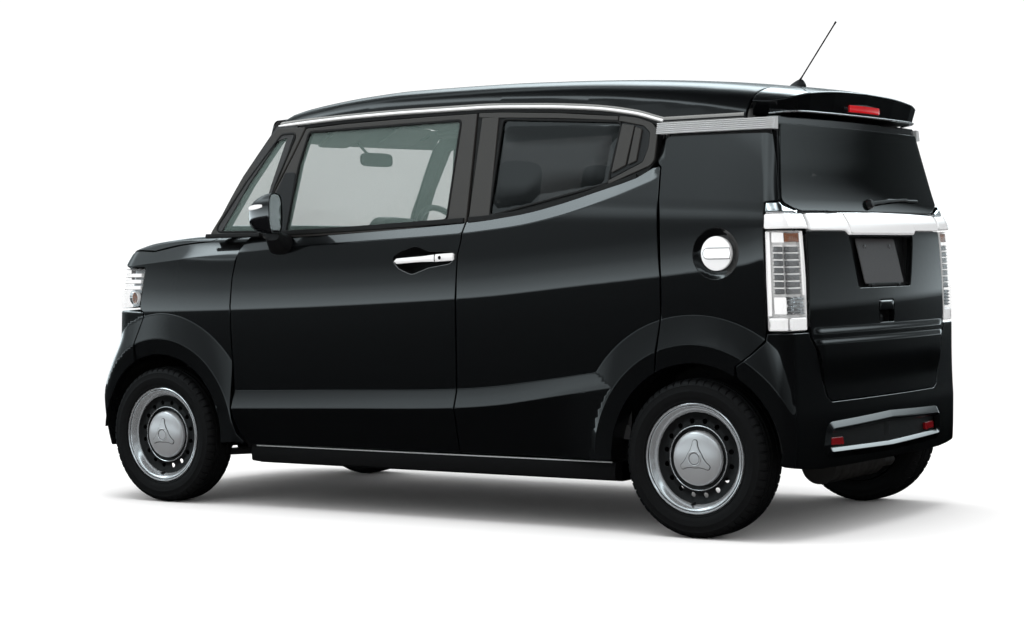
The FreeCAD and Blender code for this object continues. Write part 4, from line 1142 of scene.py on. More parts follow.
# crease lines of the side
L_TOP = curve_line(B_TOP, -950, 800)
L_BOT = curve_line(B_BOT, -1000, 800)
L_CRE = curve_line(CREASE, -1205, 1400)
FL_LINES = [circle_line(FX, 497, 20, 190), circle_line(FX, 397, -20, 200), circle_line(RX, 497, -20, 190), circle_line(RX, 397, -20, 200)]

# ---- front door skin
belt_f = [(x, float(BELT(x)) + 1, 60) for x in (700, 600, 480, 340, 200, 60, -80, -220, -320)]
out_fd = ([(-318 + GAPV, 259, 14), (300, 257, 60), (715, 254, 16)] + [(x - GAPV, z, 40) for x, z in reversed(FRONT_SHUT[:-1])]
          + belt_f + [(-349, float(BELT(-349)) + 1, 5), (-343, 1050, 40), (-331, 1003, 40), (-326 + GAPV, 820, 60), (-320 + GAPV, 500, 60)])
out_fd = [p if len(p) == 3 else (*p, 8) for p in out_fd]
HR = [(-20, 988, 16), (-60, 1014, 30), (-134, 1034, 60), (-200, 1012, 40), (-306, 1010, 16), (-318, 984, 14), (-300, 966, 20), (-201, 952, 40), (-121, 926, 50), (-58, 950, 30)]
g = shell(P_SIDE, out_fd, [HR], roll=2.6, step=(22, 9), inner=inner_wall(), lines=bars([L_TOP, L_BOT, L_CRE]), mi=0, mi_in=1)
both("door_skin_front", g, [PAINT, INTP], FD, "front_door")

# ---- rear door skin
belt_r = [(x, float(BELT(x)) + 1, 60) for x in (-400, -470, -540, -600, -660, -720, -780, -840, -900, -960, -1020, -1080)]
out_rd = ([(-1004, 259, 6), (-318 - GAPV, 259, 14), (-320 - GAPV, 500, 60), (-328 - GAPV, 820, 60), (-335, 1003, 40), (-347, 1050, 40), (-353.5, float(BELT(-355)) + 1, 5)]
          + belt_r + [(-1140, 1296, 10), (-1171, 1299, 8), (-1187, 1180, 80), (-1209, 912, 80), (-1208, 775, 80), (-1190, 620, 30), (-1187.5, 576, 5)]
          + [(x, z, 20) for x, z in arc(RX, 331, 63, -3, 16)])
g = shell(P_SIDE, out_rd, roll=2.6, step=(15, 8), inner=inner_wall(), lines=bars([L_TOP, L_BOT, L_CRE, FL_LINES[2], FL_LINES[3]]), mi=0, mi_in=1)
both("door_skin_rear", g, [PAINT, INTP], RD, "rear_door")

# ---- quarter panel, round the rear corner
TG_L = [(440, 470), (468, 488), (492, 545), (527, 654), (564, 696), (572, 765), (562, 1061), (549, 1073), (545, 1124), (590, 1134),
        (628, 1150), (640, 1168), (572, 1424), (572, 1462)]


def pts3(proj3, L):
    return [tuple(proj3(np.array([a], float), np.array([b], float))[0]) for a, b in L]


qs = pts3(P_SIDE, [(-1192, 577), (-1194.5, 620), (-1212.5, 775), (-1213.5, 912), (-1192, 1180), (-1176, 1296), (-1150, 1316), (-1147, 1400), (-1147, 1437), (-1560, 1437)])
qr = pts3(P_REAR, [(583, 1437), (592, 1400), (618, 1300), (651, 1180), (654, 1166)])
lamp_edge = pts3(P_QTR, [])
ql = pts3(P_SIDE, [(-1606, 1160), (-1609, 1130), (-1612, 1063), (-1616, 900), (-1618, 771), (-1615, 716), (-1612, 690), (-1560, 640), (-1506, 603)])
out_q3 = qs + qr + ql + pts3(P_SIDE, [(x, z) for x, z in arc(RX, 331, 120, 64, 16)])
radii = [4, 20, 80, 80, 80, 14, 30, 10, 4, 4] + [4, 40, 60, 20, 6] + [8, 20, 40, 60, 40, 8, 8, 30, 5] + [20] * 16
uvq = P_QTR.uv(out_q3)
out_q = [(u, v, r) for (u, v), r in zip(uvq, radii)]
lid_c = P_QTR.uv(pts3(P_SIDE, [(-1430, 988)]))[0]
lid_hole = [tuple(P_QTR.uv(pts3(P_SIDE, [(-1430 + 88 * math.cos(a), 988 + 88 * math.sin(a))]))[0]) + (0,) for a in np.linspace(0, 2 * math.pi, 40, endpoint=False)]


def side_line_q(line):
    P = P_SIDE(line[:, 0], line[:, 1])
    return P_QTR.uv(P)


q_lines = [side_line_q(b) for b in bars([FL_LINES[2][20:], FL_LINES[3][20:]])]
gq_l = shell(P_QTR, out_q, [lid_hole], roll=2.6, depth=30, step=(16, 9), lines=q_lines, mi=0, mi_in=1, back=False)
gq_r = shell(P_QTR, out_q, roll=2.6, depth=30, step=(16, 9), lines=q_lines, mi=0, mi_in=1, back=False)
# inner wheel houses of the rear wheels, closed towards the load space
qa = np.radians(np.linspace(5, 175, 40))
for g_ in (gq_l, gq_r):
    rings = []
    for yy, rr in ((714, 335), (690, 341), (620, 341), (540, 341), (482, 339), (470, 331), (467, 316), (466, 260), (466, 190), (466, 135)):
        rings.append([(RX + rr * math.cos(a), yy, HZ + rr * math.sin(a)) for a in qa])
    loft(rings, 2, 60, False, g_, closed=False)
gq = Geo().join(gq_l).join(gq_r.mirror())
piece("quarter_skins", gq, [PAINT, BLACKP, UNDER], "body", ["quarter_panels"])


# ================================================== window frames and side glass
def flat(outline, holes=(), push=0.0, depth=18.0, roll=3.0, mi=0, step=(60, 40), r=8.0, edge=12.0, back=True, **k):
    """A plate in the plane of the window frames."""
    return shell(P_FRM, outline, holes, roll=roll, depth=depth, step=step, edge=edge, mi=mi, r=r, push=push, back=back, **k)


def low_edge(x0, x1, d=-12.0, n=12):
    return [(x, float(BELT(x)) + d, 60) for x in np.linspace(x0, x1, n)]


WF = [(476, 1495, 14), (-263, 1505, 14), (-255, 1134, 14), (528, 1104, 16), (505, 1368, 60)]
WR = [(-462, 1500, 14), (-982, 1465, 20), (-955, 1280, 30), (-954, 1249, 16), (-452, 1145, 14)]


def grown(o, d):
    return offset(rounded(o), d)


# ---- front door frame
fo = ([(648, 1090, 5), (614, 1268, 60), (546, 1406, 60), (497, 1514, 10), (300, 1523, 60), (100, 1527, 60), (-100, 1530, 60), (-336, 1531, 5), (-349, 1126, 5)]
      + low_edge(-349, 640))
gf = shell(P_FRM, rounded(fo), [grown(WF, 7)], roll=3, depth=32, step=(40, 40), edge=12, mi=0, push=0, round_done=True)
# rubber round the pane
wf = resample(grown(WF, 3.5), 10, True)
path = P_FRM(wf[:, 0], wf[:, 1])
nf = P_FRM.normal(path)
sweep(path, nf, round_prof(9, 9, 2.5, 2, lift=-7), True, 1, g=gf)
# weather strip along the belt
bx = np.linspace(-340, 640, 60)
bp_ = P_FRM(bx, BELT(bx) + 5)
sweep(bp_, P_FRM.normal(bp_), round_prof(20, 12, 3, 2, lift=-5), False, 1, g=gf)
both("window_frame_front", gf, [FRAME, RUBBER], FD)
gg = shell(P_FRM, grown(WF, 9), roll=1.2, depth=3.0, step=(80, 80), edge=16, push=-7, round_done=True)
both("window_glass_front", gg, [GLASS], FD, "front_door_glass")

# ---- rear door frame
ro = ([(-360, 1126, 5), (-341, 1532, 5), (-444, 1530, 60), (-709, 1514, 60), (-971, 1489, 60), (-1048, 1478, 50), (-1111, 1458, 30), (-1141, 1430, 30),
       (-1141, 1322, 20), (-1122, 1290, 10)] + low_edge(-1110, -370))
gr = shell(P_FRM, rounded(ro), [grown(WR, 7)], roll=3, depth=32, step=(40, 40), edge=12, mi=1, push=-3, round_done=True)
for o, hs in (([(-364, 1512, 3), (-439, 1512, 3), (-453, 1140, 3), (-361, 1132, 3)], []),
              ([(-346, 1531, 3), (-444, 1529, 60), (-709, 1513, 60), (-968, 1488, 5), (-968, 1473, 5), (-709, 1494, 60), (-444, 1509, 60), (-350, 1514, 3)], []),
              ([(-972, 1490, 30), (-1048, 1478, 50), (-1111, 1458, 34), (-1140, 1429, 34), (-1139, 1322, 26), (-1122, 1303, 16), (-957, 1242, 5), (-957, 1256, 4)]
               + [(-1092, 1316, 22), (-1109, 1369, 60), (-1109, 1423, 22), (-1079, 1448, 24), (-985, 1468, 20), (-972, 1470, 4)], [])):
    q = shell(P_FRM, o, hs, roll=2.2, depth=7, step=(40, 30), edge=10, mi=0, push=1.5)
    gr.join(q)
# recess behind the door handle, its two blades
gr.join(shell(P_FRM, [(-984, 1466, 14), (-1078, 1447, 20), (-1108, 1422, 20), (-1107, 1370, 50), (-1090, 1319, 16), (-956, 1262, 4), (-962, 1300, 20)], roll=1.0,
              depth=5, step=(40, 40), edge=10, mi=2, push=-2))
for o in ([(-989, 1459, 4), (-1042, 1450, 4), (-1024, 1308, 5), (-966, 1281, 4)], [(-1046, 1446, 4), (-1075, 1436, 5), (-1066, 1322, 8), (-1032, 1308, 4)]):
    gr.join(shell(P_FRM, o, roll=3.0, depth=9, step=(24, 24), edge=7, mi=0, push=4.5))
wr = resample(grown(WR, 3.5), 10, True)
path = P_FRM(wr[:, 0], wr[:, 1])
sweep(path, P_FRM.normal(path), round_prof(9, 9, 2.5, 2, lift=-8), True, 1, g=gr)
bx = np.linspace(-1075, -362, 50)
bp_ = P_FRM(bx, BELT(bx) + 6)
sweep(bp_, P_FRM.normal(bp_), round_prof(22, 12, 3, 2, lift=-6), False, 1, g=gr)
both("window_frame_rear", gr, [FRAME, RUBBER, BLACKP], RD)
gg = shell(P_FRM, grown(WR, 9), roll=1.2, depth=3.0, step=(80, 80), edge=16, push=-8, round_done=True)
both("window_glass_rear", gg, [DARKG], RD, "rear_door_glass")

# ---- fixed quarter window and the screen pillar
WQ = [(905, 1112, 20), (770, 1310, 60), (622, 1492, 20), (560, 1494, 12), (553, 1480, 12), (622, 1293, 60), (672, 1110, 12)]
po = [(942, 1088, 20), (870, 1200, 60), (810, 1310, 60), (730, 1425, 60), (650, 1524, 16), (500, 1522, 6), (552, 1406, 60), (620, 1268, 60), (655, 1092, 6)]
gp = shell(P_FRM, rounded(po), [grown(WQ, 6)], roll=5, depth=34, step=(40, 40), edge=12, mi=0, push=0, round_done=True)
wq = resample(grown(WQ, 3), 10, True)
path = P_FRM(wq[:, 0], wq[:, 1])
sweep(path, P_FRM.normal(path), round_prof(8, 8, 2.5, 2, lift=-6), True, 1, g=gp)
sx = np.linspace(656, 944, 30)
bp_ = P_FRM(sx, 1092 - 0 * sx)
sweep(bp_, P_FRM.normal(bp_), round_prof(16, 14, 3, 2, lift=-3), False, 1, g=gp)
both("pillar_front", gp, [FRAME, RUBBER], "body", [])
gg = shell(P_FRM, grown(WQ, 8), roll=1.2, depth=3.0, step=(80, 80), edge=16, push=-7, round_done=True)
both("quarter_glass", gg, [GLASS], "body", ["front_quarter_glass"])

# ---- windscreen, its black rim and pillars' inner edge
P_SCR = Proj(lambda P: P[..., 0] - screen_x(P[..., 1], P[..., 2]), "front")


def scr_edge(z):
    return float(frame_y(np.array(760.0), z)) - 14


so = [(scr_edge(z) - (0 if z < 1550 else 12), z, 40) for z in (1104, 1200, 1300, 1400, 1480, 1556)]
so = [(so[0][0], so[0][1], 25)] + so[1:-1] + [(so[-1][0], 1560, 40)]
scr_o = so + [(300, 1592, 200), (0, 1602, 300), (-300, 1592, 200)] + [(-y, z, r) for y, z, r in reversed(so)] + [(-300, 1110, 200), (0, 1112, 300), (300, 1110, 200)]
scr_p = rounded(scr_o)
rim_in = offset(scr_p, -34)
gs = shell(P_SCR, scr_p, [rim_in], roll=1.5, depth=5, step=(40, 40), edge=20, mi=1, push=-5, round_done=True)
gs.join(shell(P_SCR, offset(rim_in, 1.5), roll=0.6, depth=4, step=(60, 60), edge=30, mi=0, push=-5.4, round_done=True))
piece("screen_glass", gs, [GLASS, GLOSSB], "body", ["windscreen"])

# ================================================================ roof
def roof_wall(P):
    return np.abs(P[..., 1]) - (612 - 0.25 * (P[..., 2] - 1400)) + np.where(P[..., 0] > 500, (P[..., 0] - 500) * 0.05, 0)


def g_roof2(P):
    t = P[..., 2] - roof_z(P[..., 0], P[..., 1])
    t = smax(t, roof_wall(P), 16)
    return smax(t, P[..., 0] - screen_x(P[..., 1], P[..., 2]) - 3, 30)


class Barrel(Proj):
    """Rays towards a lengthwise axis, for the roof."""

    def __init__(self, g, zc=1150.0, R=480.0):
        super().__init__(g, "top")
        self.zc, self.R = zc, R

    def ray(self, u, v):
        u, v = np.asarray(u, float), np.asarray(v, float)
        a = v / self.R
        o = np.zeros_like(a)
        d = np.stack([o, -np.sin(a), -np.cos(a)], -1)
        return np.stack([u, o, o + self.zc], -1) - d * 900, d

    def __call__(self, u, v):
        O, d = self.ray(u, v)
        lo, hi = np.zeros(len(O)), np.full(len(O), 880.0)
        for _ in range(24):
            mid = (lo + hi) / 2
            out = self.g(O + d * mid[:, None]) > 0
            lo, hi = np.where(out, mid, lo), np.where(out, hi, mid)
        return O + d * ((lo + hi) / 2)[:, None]

    def uv(self, P):
        P = np.atleast_2d(np.asarray(P, float))
        return np.stack([P[:, 0], self.R * np.arctan2(P[:, 1], P[:, 2] - self.zc)], -1)


P_BAR = Barrel(g_roof2)
DRIP = Curve([-1146, -1036, -850, -594, -327, -50, 238, 531, 646, 700], [1466, 1496, 1524, 1543, 1553, 1553, 1549, 1537, 1530, 1522])


def wall_point(x, z):
    """Point of the roof's side at x, z."""
    x, z = np.asarray(x, float), np.asarray(z, float)
    lo, hi = np.full(len(x), 400.0), np.full(len(x), 760.0)
    for _ in range(22):
        mid = (lo + hi) / 2
        out = g_roof2(np.stack([x, mid, z], -1)) > 0
        hi, lo = np.where(out, mid, hi), np.where(out, lo, mid)
    return np.stack([x, (lo + hi) / 2, z], -1)


rx_ = np.array([640, 560, 480, 380, 260, 120, -40, -200, -360, -520, -680, -820, -930, -1020, -1080, -1120, -1150, -1250, -1380, -1488], float)
rz_ = np.where(rx_ > -1146, DRIP(rx_) + 6, 1458)
edge_l = wall_point(rx_, rz_)
uvl = P_BAR.uv(edge_l)
ro_ = [(u, v, 30) for u, v in uvl]
ro_[-1] = (*uvl[-1], 3)
uvr = [(u, -v, r) for u, v, r in reversed(ro_)]
hd = [(x, P_BAR.uv([(x, y, float(roof_z(x, np.array(y))))])[0][1], 200) for x, y in ((652, 480), (672, 380), (686, 220), (692, 0), (686, -220), (672, -380), (652, -480))]
roof_o = ro_ + uvr + list(reversed(hd))
gz = shell(P_BAR, roof_o, roll=3, depth=12, step=(26, 16), edge=14, mi=0, mi_in=1, back=False)
# lining under the roof
lo_pts = offset(rounded([(u, v, r) for u, v, r in roof_o]), -30)
vs_, fs_, _ = trimesh([densify(lo_pts, 40)], (60, 40))
PL = P_BAR(vs_[:, 0], vs_[:, 1])
nl = P_BAR.normal(PL)
PL = PL - nl * 34
gz.add(PL, fs_[:, ::-1] if np.sum(np.einsum("ij,ij->i", np.cross(PL[fs_[:, 1]] - PL[fs_[:, 0]], PL[fs_[:, 2]] - PL[fs_[:, 0]]), nl[fs_[:, 0]])) > 0 else fs_, -nl, 1)
# trims that close the lining down to the door frames
hx_ = np.linspace(640, -1480, 120)
hz_ = np.where(hx_ > -1146, DRIP(hx_), 1462)
hp_ = wall_point(hx_, hz_)
for sy in (1, -1):
    q_ = hp_ * np.array([1, sy, 1]) + np.array([0, -44 * sy, 2])
    sweep(q_, np.tile([0.0, 0.25 * sy, 1.0], (120, 1)), round_prof(84, 34, 9, 3, lift=-12), False, 1, g=gz)
piece("roof_skin", gz, [ROOFP, HEAD], "body", ["roof"])

# rail between the doors and the roof: bright strip with the black channel below it
dx_ = np.linspace(650, -1158, 150)
dp = wall_point(dx_, DRIP(dx_))
nd = unit(np.array([0, 1.0, 0.25]))
gd = Geo()
sweep(dp, nd, round_prof(9.5, 9, 3.5, 3, lift=-3), False, 0, g=gd)
rail = dp + np.array([0, -14, -14])
sweep(rail, nd, round_prof(24, 22, 4, 2, lift=-10), False, 1, g=gd)
both("roof_strip", gd, [BRIGHT, RUBBER], "body", [])

# ribbed bright moulding behind the rear door
gx = np.linspace(-1138, -1604, 40)
top_, bot_ = 1455.5, 1414.0
rows = []
prof_n = []
K = 6
for i in range(K):
    z0 = bot_ + (top_ - bot_) * i / K
    z1 = bot_ + (top_ - bot_) * (i + 1) / K
    prof_n += [(z0 + 0.9, 0.0), (z0 + 1.5, 2.6), ((z0 + z1) / 2, 3.6), (z1 - 1.5, 2.6), (z1 - 0.9, 0.0)]
gm_ = Geo()
rings = []
for x in gx:
    ease = min(1.0, (x + 1602) / 10.0)
    yb = float(wall_point([x], [1458.0])[0][1])
    ring = [(x, yb - 16, bot_ - 1)] + [(x, yb + 4 + 0.25 * (1458 - z) + d * ease, z) for z, d in prof_n] + [(x, yb - 16, top_ + 1)]
    rings.append(ring)
loft(rings, 0, 30, True, gm_)
both("side_moulding", gm_, [RIBS], "body", [])


# ==================================================================== front end
P_FS = Proj(g_fender, "side")


class Cross(Proj):
    """Rays towards a crosswise axis, for the bonnet's nose."""

    def __init__(self, g, xc=1150.0, zc=860.0, R=300.0):
        super().__init__(g, "top")
        self.xc, self.zc, self.R = xc, zc, R

    def ray(self, u, v):
        u, v = np.asarray(u, float), np.asarray(v, float)
        a = v / self.R
        o = np.zeros_like(a)
        d = np.stack([-np.cos(a), o, -np.sin(a)], -1)
        return np.stack([o + self.xc, u, o + self.zc], -1) - d * 800, d

    def __call__(self, u, v):
        O, d = self.ray(u, v)
        lo, hi = np.zeros(len(O)), np.full(len(O), 790.0)
        for _ in range(24):
            mid = (lo + hi) / 2
            out = self.g(O + d * mid[:, None]) > 0
            lo, hi = np.where(out, mid, lo), np.where(out, hi, mid)
        return O + d * ((lo + hi) / 2)[:, None]

    def uv(self, P):
        P = np.atleast_2d(np.asarray(P, float))
        return np.stack([P[:, 1], self.R * np.arctan2(P[:, 2] - self.zc, P[:, 0] - self.xc)], -1)


def top_pt(x, y, g=g_fender):
    return tuple(Proj(g, "top")(np.array([x], float), np.array([y], float))[0])


def side_pt(x, z, g=None):
    return tuple((P_FS if g is None else Proj(g, "side"))(np.array([x], float), np.array([z], float))[0])


# ---- fenders
A = [side_pt(x + GAPV, z) for x, z in reversed(FRONT_SHUT)]
B = [side_pt(x, 1088) for x in (760, 850, 946)]
C = [top_pt(x, y) for x, y in ((958, 646), (1120, 645), (1281, 643), (1360, 624), (1421, 607), (1480, 574), (1508, 552))]
D = [side_pt(x, z) for x, z in ((1478, 984), (1430, 976), (1382, 971), (1330, 970), (1291, 970), (1303, 890), (1322, 797), (1299, 781), (1296, 775), (1306, 720), (1320, 657))]
E = [side_pt(x, z) for x, z in arc(FX, 331, 67, 184, 30)]
R_ = [14, 20, 40, 60, 60, 60, 60, 60, 40, 8] + [40, 40, 8] + [20, 60, 60, 60, 60, 20, 4] + [8, 30, 30, 30, 10, 60, 6, 3, 4, 30, 20] + [6] + [20] * 28 + [6]
ol = P_FEND.uv(A + B + C + D + E)
gf = shell(P_FEND, [(u, v, r) for (u, v), r in zip(ol, R_)], roll=2.6, depth=30, step=(16, 9),
           lines=[P_FEND.uv(P_FS(b[:, 0], b[:, 1])) for b in bars([FL_LINES[0], FL_LINES[1], L_CRE])], mi=0, mi_in=1, back=False)
# inner wheel house of the fender
wa = np.radians(np.linspace(4, 178, 44))
rings = []
for yy in (716, 690, 640, 560, 470, 452):
    rr = 331 + (3 if yy > 700 else 9)
    rings.append([(FX + rr * math.cos(a), yy, HZ + rr * math.sin(a)) for a in wa])
loft(rings, 2, 60, False, gf, closed=False)
both("fender_skins", gf, [PAINT, BLACKP, UNDER], "body", ["front_fenders"])

# ---- bonnet
P_CR = Cross(g_bonnet)
hb = [top_pt(x, y, g_bonnet) for x, y in ((1040, 350), (962, 590), (956, 636), (1110, 640), (1280, 639), (1350, 623), (1420, 603), (1480, 570), (1530, 530))]
hf = [(float(front_x(np.array(y), np.array(980.0))), y, 980.0) for y in (500, 430, 300, 150)]
ul = P_CR.uv([top_pt(1068, 0, g_bonnet)] + hb + hf)
rr = [300, 200, 10, 10, 60, 60, 60, 60, 60, 40, 30, 60, 100, 100]
bo = [(u, v, r) for (u, v), r in zip(ul, rr)]
bo = bo + [(0.0, float(P_CR.uv([(front_x(np.array(0.0), np.array(980.0)), 0, 980.0)])[0][1]), 100)] + [(-u, v, r) for u, v, r in reversed(bo[1:])]
yy = np.linspace(-600, 600, 90)
gb = shell(P_CR, bo, roll=3, depth=22, step=(24, 12), edge=12, mi=0, mi_in=1, inner_step=(60, 40))
piece("bonnet_skin", gb, [PAINT, BLACKP], "bonnet", ["bonnet"])

# cowl between bonnet and screen, with its air slots
gc = Geo()
rings = []
for y in np.linspace(-604, 604, 60):
    t = 1 - (abs(y) / 640.0) ** 2
    x0 = float(screen_x(np.array(y), np.array(1106.0))) + 6
    x1 = 966 + 100 * t * 1.02 - 8
    zt = float(bonnet_z(np.array(x1), np.array(y))) - 8
    dn = 14 + 22 * min(1.0, max(0.0, (abs(y) - 470) / 80.0))
    k, k2 = min(1.0, max(0.0, (abs(y) - 470) / 60.0)), min(1.0, max(0.0, (abs(y) - 360) / 80.0))
    rings.append([(x1, y, zt - 6 - dn), (x1 - 12, y, zt + 1 - dn - 4 * k), ((x0 + x1) / 2, y, zt + 2 - 10 * k2 - 34 * k + (2.2 if int((y + 640) / 24) % 2 else 0)),
                  (x0 + 12, y, zt + 6 - 6 * k2 - 34 * k), (x0, y, zt - 2 - 28 * k), (x0, y, zt - 16 - 40 * k), (x1, y, zt - 16 - dn - 10 * k)])
loft(rings, 0, 40, True, gc)
piece("cowl", gc, [BLACKP], "body")

# ---- front bumper
P_FB = Proj(g_front, "wrapf", c=900)


def fuv(x, z):
    return tuple(P_FB.uv([side_pt(x, z, g_front)])[0])


def yuv(y, z):
    return tuple(P_FB.uv([(float(front_x(np.array(y), np.array(z))), y, z)])[0])


left = [(*fuv(1299, 781), 4), (*fuv(1309, 720), 40), (*fuv(1323, 658), 20)] + [(*fuv(x, z), 20) for x, z in arc(FX, 331, 65, 4, 18)] + [(*fuv(1506, 222), 14)]
half_ = left + [(*yuv(560, 212), 40), (*yuv(300, 208), 60)]
outb = half_ + [(-u, v, r) for u, v, r in reversed(half_)]
top_b = [(*yuv(-620, 788), 20), (*yuv(-405, 790), 10), (*yuv(405, 790), 10), (*yuv(620, 788), 20)]
outb = outb + top_b
hole = [(*yuv(-425, 575), 30), (*yuv(425, 575), 30), (*yuv(400, 700), 30), (*yuv(-400, 700), 30)]
fog = [[(*yuv(s * 520 + a, 420 + b), 0) for a, b in circ(42, 24)] for s in (1, -1)]
tow = [(*yuv(-355 + a, 365 + b), 0) for a, b in circ(25, 20)]
gfb = shell(P_FB, outb, [hole, *fog, tow], roll=4, depth=26, step=(11, 9), edge=9,
            lines=[P_FB.uv(Proj(g_front, "side")(b[:, 0], b[:, 1])) for b in bars([FL_LINES[1][:34], FL_LINES[0][8:42]], (-4, -1.6, 0, 1.6, 4))], mi=0, mi_in=1, back=False)
for s in (1, -1):
    c = P_FB(*[np.array([q]) for q in yuv(s * 520, 420)])[0]
    n = P_FB.normal(c[None])[0]
    lathe([(0, 4), (20, 3), (32, -1), (36, -6), (37, -14), (41, -16), (42, -20)], c - n * 6, n, 40, [2, 2, 2, 3, 1, 1], 40, gfb)
wl = np.radians(np.linspace(2, 70, 22))
for s in (1, -1):
    rings = [[(FX + (334 if y > 690 else 340) * math.cos(a), s * y, HZ + 340 * math.sin(a)) for a in wl] for y in (690, 640, 560, 480)]
    loft(rings, 1, 60, False, gfb, closed=False)
piece("front_bumper_skin", gfb, [PAINT, UNDER, LENS, REFL], "body", ["front_bumper"])

# ---- grille: bars across the opening below and the panel between the lamps
gg = Geo()


def across(z, y0, y1, prof, push, mi, n=40, zf=None):
    ys = np.linspace(y0, y1, n)
    P = np.stack([front_x(ys, np.full(n, z)) + push, ys, np.full(n, z) if zf is None else zf(ys)], 1)
    N = np.zeros_like(P); N[:, 0] = 1
    N[:, 1] = ys * 0.0004
    sweep(P, N, prof, False, mi, 40, True, g=gg)


for k in range(7):
    across(584 + 18 * k, -430, 430, round_prof(7, 22, 3, 2, lift=-20), -12, 0)
for y in np.linspace(-300, 300, 5):
    rbox((float(front_x(np.array(y), np.array(640.0))) - 44, y - 4, 572), (float(front_x(np.array(y), np.array(640.0))) - 22, y + 4, 704), 3, 2, 0, gg)
pan = [(*yuv(-402, 796), 20), (*yuv(402, 796), 20), (*yuv(398, 962), 20), (*yuv(-398, 962), 20)]
gg.join(shell(P_FB, pan, roll=4, depth=20, step=(30, 20), edge=14, mi=1, push=-2))
across(938, -396, 396, round_prof(22, 12, 4, 3, lift=-2), 0, 2)
for k in range(3):
    across(822 + 30 * k, -392, 392, round_prof(13, 8, 3, 3, lift=-3), 0, 0)
piece("grille_bars", gg, [BLACKP, GLOSSB, CHROME], "body", ["grille"])

# ---- headlamps
hls = [(*fuv(1290, 966), 10), (*fuv(1305, 890), 60), (*fuv(1323, 806), 12), (*fuv(1400, 797), 60), (*yuv(600, 796), 60), (*yuv(409, 797), 20), (*yuv(405, 955), 24),
       (*yuv(500, 966), 60), (*yuv(600, 968), 60), (*fuv(1385, 968), 60)]
hlo = rounded(hls)
gh = shell(P_FB, offset(hlo, -1.5), roll=3, depth=6, step=(18, 14), edge=8, mi=0, round_done=True)


def bowl(u, v):
    P = P_FB(u, v)
    return P - P_FB.normal(P) * 46


q = shell(P_FB, offset(hlo, -3), roll=1, depth=40, step=(40, 30), edge=12, mi=1, push=-9, round_done=True, inner=bowl)
# only its walls and floor are wanted: the outer skin is dropped
V_, T_, N_, M_ = q.merged()
g2 = Geo(); g2.V, g2.T, g2.N, g2.M, g2.n = [V_], [T_[M_ == 1]], [N_[M_ == 1]], [M_[M_ == 1]], len(V_)
back_only = Geo()
vs3, fs3, _ = trimesh([densify(offset(hlo, -4), 14)], (30, 24))
Pb = bowl(vs3[:, 0], vs3[:, 1])
nb_ = P_FB.normal(P_FB(vs3[:, 0], vs3[:, 1]))
a_ = Pb[fs3]
if np.einsum("ij,ij->i", np.cross(a_[:, 1] - a_[:, 0], a_[:, 2] - a_[:, 0]), nb_[fs3[:, 0]]).sum() < 0:
    fs3 = fs3[:, ::-1]
gh.add(Pb, fs3, nb_, 2)
rimp = densify(offset(hlo, -4), 10)
o1 = P_FB(rimp[:, 0], rimp[:, 1]); n1 = P_FB.normal(o1)
loft([list(o1 - n1 * 3) + [o1[0] - n1[0] * 3], list(o1 - n1 * 46) + [o1[0] - n1[0] * 46]], 2, 60, False, gh, closed=False)
# bright bars that follow the lamp round the corner, and two round units
us = np.linspace(fuv(1330, 880)[0], yuv(430, 880)[0], 30)
for k, zz in enumerate((938, 912, 886)):
    P = P_FB(us, np.full(30, float(zz)))
    n = P_FB.normal(P)
    sweep(P - n * 22, n, round_prof(16, 14, 3, 2), False, 3, g=gh)
for yy_, zz in ((520, 842), (450, 846)):
    c = P_FB(*[np.array([t]) for t in yuv(yy_, zz)])[0]
    lathe([(0, 0), (14, 3), (24, 8), (30, 16), (33, 17), (34, 10), (34, -10)], c + np.array([-38, 0, 0]), (1, 0, 0), 40, [3, 3, 3, 3, 1, 1], 40, gh)
c = np.array(side_pt(1372, 842)) + np.array([0, -34, 0])
lathe([(0, 0), (12, 3), (20, 9), (24, 14), (26, 14), (26, 0)], c, (0.35, 1, 0), 32, [4, 4, 4, 3, 3], 40, gh)
both("headlamp_units", gh, [LENS, REFL, GREYR, WHITE, AMBER], "body", ["headlamps"])


# ===================================================================== rear end
P_RB = Proj(lambda P: g_rear(P), "wrapr", c=-1050)
P_RF = Proj(lambda P: rear_x(P[..., 1], P[..., 2]) - P[..., 0], "rear")


def ruv(y, z):
    """Rear panel coordinates of a place seen from behind."""
    return tuple(P_RB.uv([tuple(on_rear(y, z)[0])])[0])


def suv(x, z):
    """The same for a place seen from the side."""
    return tuple(P_RB.uv([tuple(on_side(x, z, P_QS)[0])])[0])


P_QS = Proj(g_rear, "side")


def suvs(P):
    P = np.asarray(P, float)
    return P_RB.uv(on_side(P[:, 0], P[:, 1], P_QS))


def ruvs(P):
    P = np.asarray(P, float)
    return P_RB.uv(on_rear(P[:, 0], P[:, 1]))

# ---- tailgate's lower skin with the plate well
tgo = [(438, 473, 10), (466, 490.5, 20), (489.5, 546, 30), (524.5, 655, 20), (561.5, 697, 24), (569.5, 765, 60), (562, 1040, 30), (559, 1062, 4)]
full = [(-y, z, r) for y, z, r in tgo] + [(y, z, r) for y, z, r in reversed(tgo)]
well_o = [(-222, 860, 22), (222, 860, 22), (276, 1044, 14), (-276, 1044, 14)]
latch = [(-66, 733, 16), (66, 733, 16), (66, 814, 20), (-66, 814, 20)]
crease_t = np.array([(y, 668 + 0.00009 * y * y) for y in np.linspace(-500, 500, 60)])
def ease(t):
    t = np.clip(t, 0, 1)
    return t * t * (3 - 2 * t)


def gate_step(y, z):
    """Ledge across the gate: the skin comes out below it, then falls back."""
    return (6.0 * ease((730 - z) / 26.0) + 5.0 * ease((690 - z) / 22.0)) * ease((z - 520) / 110.0) * ease((556 - np.abs(y)) / 60.0)


